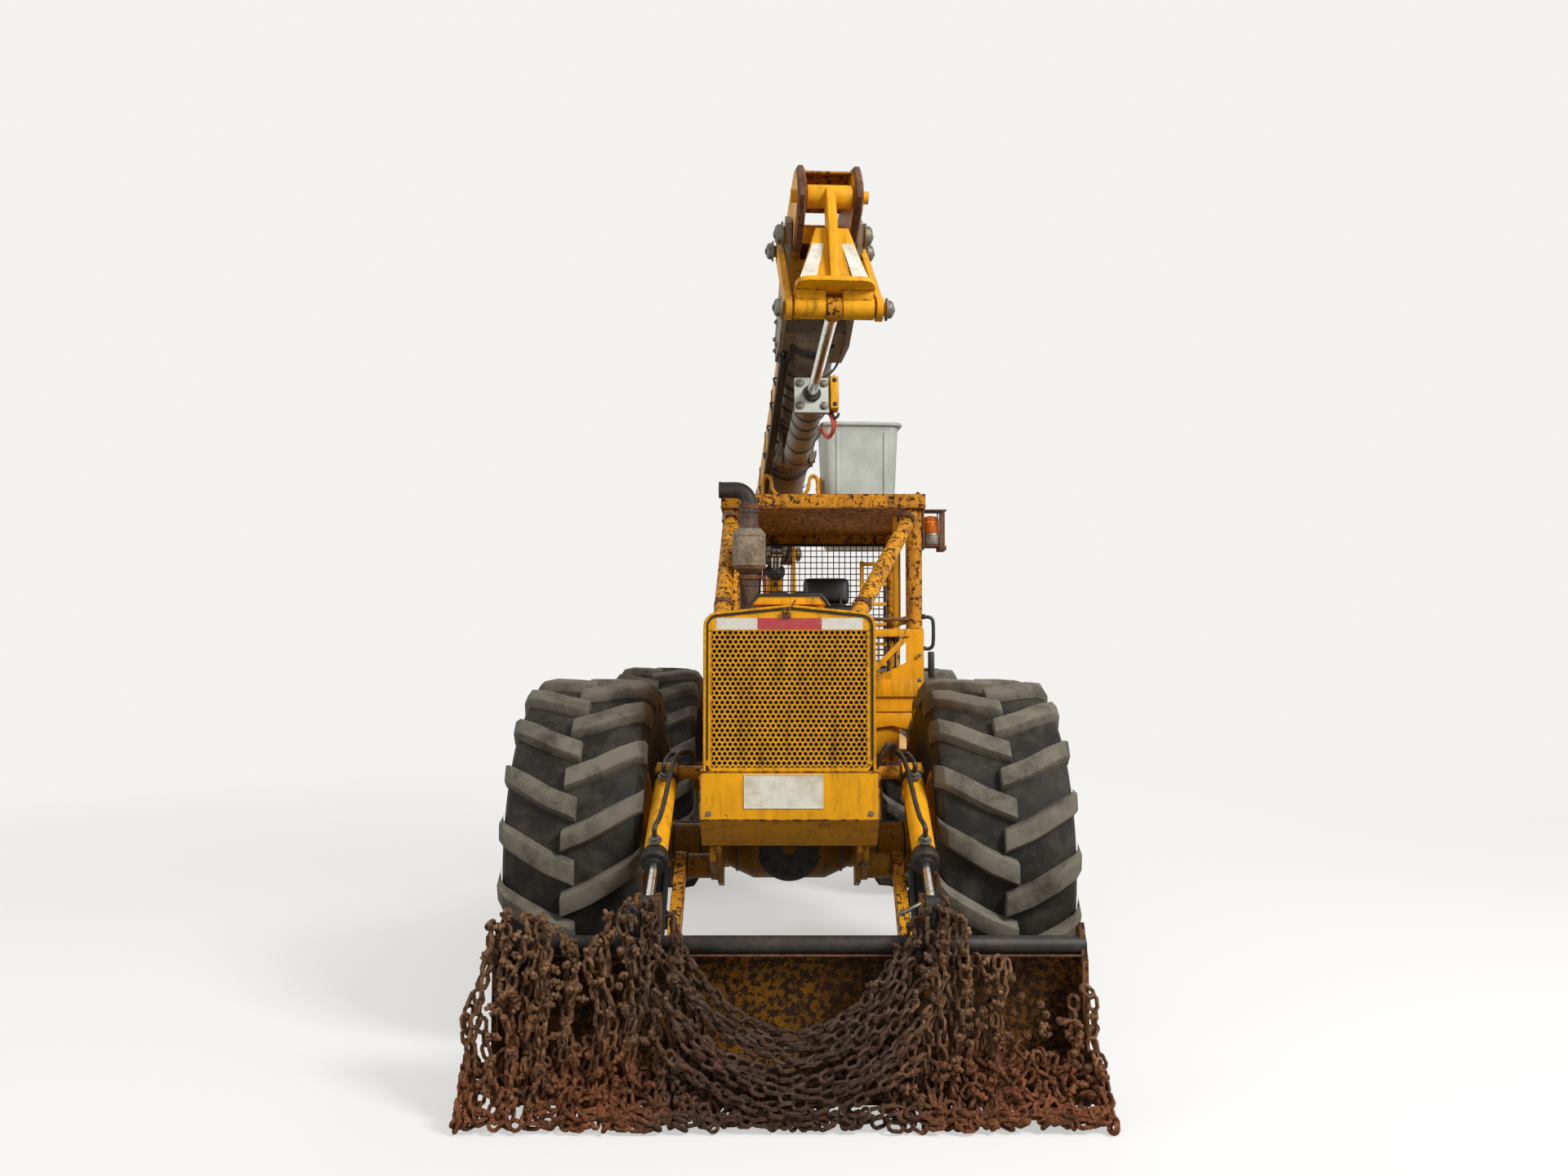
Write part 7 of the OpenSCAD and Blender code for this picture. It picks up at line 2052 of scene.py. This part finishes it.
class SKIDDER_OT_turret(bpy.types.Operator):
    """Adds the slewing ring, hoses and pins of the turret"""
    bl_idname = "skidder.turret"
    bl_label = "Turret"

    def execute(self, context):
        make_turret()
        make_lift()
        return {"FINISHED"}


class SKIDDER_OT_boom_tube(bpy.types.Operator):
    """Adds bands, hoses and bolts along the lower boom"""
    bl_idname = "skidder.boom_tube"
    bl_label = "Lower boom"

    def execute(self, context):
        make_boom_tube()
        return {"FINISHED"}


class SKIDDER_OT_elbow(bpy.types.Operator):
    """Builds the head plates' cover, pins and wedge link of the elbow"""
    bl_idname = "skidder.elbow"
    bl_label = "Elbow"

    def execute(self, context):
        make_elbow()
        make_push_link()
        return {"FINISHED"}


class SKIDDER_OT_elbow_ram(bpy.types.Operator):
    """Adds the gland plate, box, hook and hose loop of the elbow cylinder"""
    bl_idname = "skidder.elbow_ram"
    bl_label = "Elbow cylinder"

    def execute(self, context):
        make_elbow_ram()
        return {"FINISHED"}


class SKIDDER_OT_upper_boom(bpy.types.Operator):
    """Adds bands, hoses and the levelling cable to the upper boom"""
    bl_idname = "skidder.upper_boom"
    bl_label = "Upper boom"

    def execute(self, context):
        make_upper_boom()
        make_level_gear()
        return {"FINISHED"}


class SKIDDER_OT_cradle(bpy.types.Operator):
    """Builds the cross tube and the bent horns that hold the boom"""
    bl_idname = "skidder.cradle"
    bl_label = "Boom cradle"

    def execute(self, context):
        make_cradle()
        return {"FINISHED"}


class SKIDDER_OT_bucket(bpy.types.Operator):
    """Builds the moulded glass-fibre bucket and its controls"""
    bl_idname = "skidder.bucket"
    bl_label = "Bucket"

    def execute(self, context):
        make_bucket()
        return {"FINISHED"}


OPERATORS = (SKIDDER_OT_stage, SKIDDER_OT_finishes, SKIDDER_OT_wheels, SKIDDER_OT_chains, SKIDDER_OT_blade,
             SKIDDER_OT_blade_rams, SKIDDER_OT_grille, SKIDDER_OT_nose, SKIDDER_OT_hood,
             SKIDDER_OT_under_hood, SKIDDER_OT_cab_mesh, SKIDDER_OT_cab_front, SKIDDER_OT_cab_body,
             SKIDDER_OT_seat, SKIDDER_OT_dash, SKIDDER_OT_cab_extras, SKIDDER_OT_exhaust,
             SKIDDER_OT_running_gear, SKIDDER_OT_deck, SKIDDER_OT_pedestal, SKIDDER_OT_turret,
             SKIDDER_OT_boom_tube, SKIDDER_OT_elbow, SKIDDER_OT_elbow_ram, SKIDDER_OT_upper_boom,
             SKIDDER_OT_cradle, SKIDDER_OT_bucket,)
SETTINGS = (("skidder_finishes", SkidderFinishes), ("skidder_sizes", SkidderSizes),
            ("skidder_stage", SkidderStage),)


class SKIDDER_PT_panel(bpy.types.Panel):
    """Lists the machine's settings and the operators that build it"""
    bl_label = "Skidder"
    bl_idname = "SKIDDER_PT_panel"
    bl_space_type = "VIEW_3D"
    bl_region_type = "UI"
    bl_category = "Skidder"

    def draw(self, context):
        for key, kind in SETTINGS:
            box = self.layout.box()
            for name in kind.__annotations__:
                box.prop(getattr(context.scene, key), name)
        column = self.layout.column(align=True)
        for operator in OPERATORS:
            column.operator(operator.bl_idname)


CLASSES = tuple(kind for _, kind in SETTINGS) + OPERATORS + (SKIDDER_PT_panel,)


def register():
    """Registers the classes and hangs the settings on the scene."""
    for cls in CLASSES:
        bpy.utils.register_class(cls)
    for key, kind in SETTINGS:
        setattr(bpy.types.Scene, key, PointerProperty(type=kind))


def unregister():
    """Takes the settings and classes away again."""
    for key, _ in SETTINGS:
        delattr(bpy.types.Scene, key)
    for cls in reversed(CLASSES):
        bpy.utils.unregister_class(cls)


def main():
    """Builds the whole machine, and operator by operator."""
    register()
    for operator in OPERATORS:
        group, name = operator.bl_idname.split(".")
        getattr(getattr(bpy.ops, group), name)()


if __name__ == "__main__":
    main()
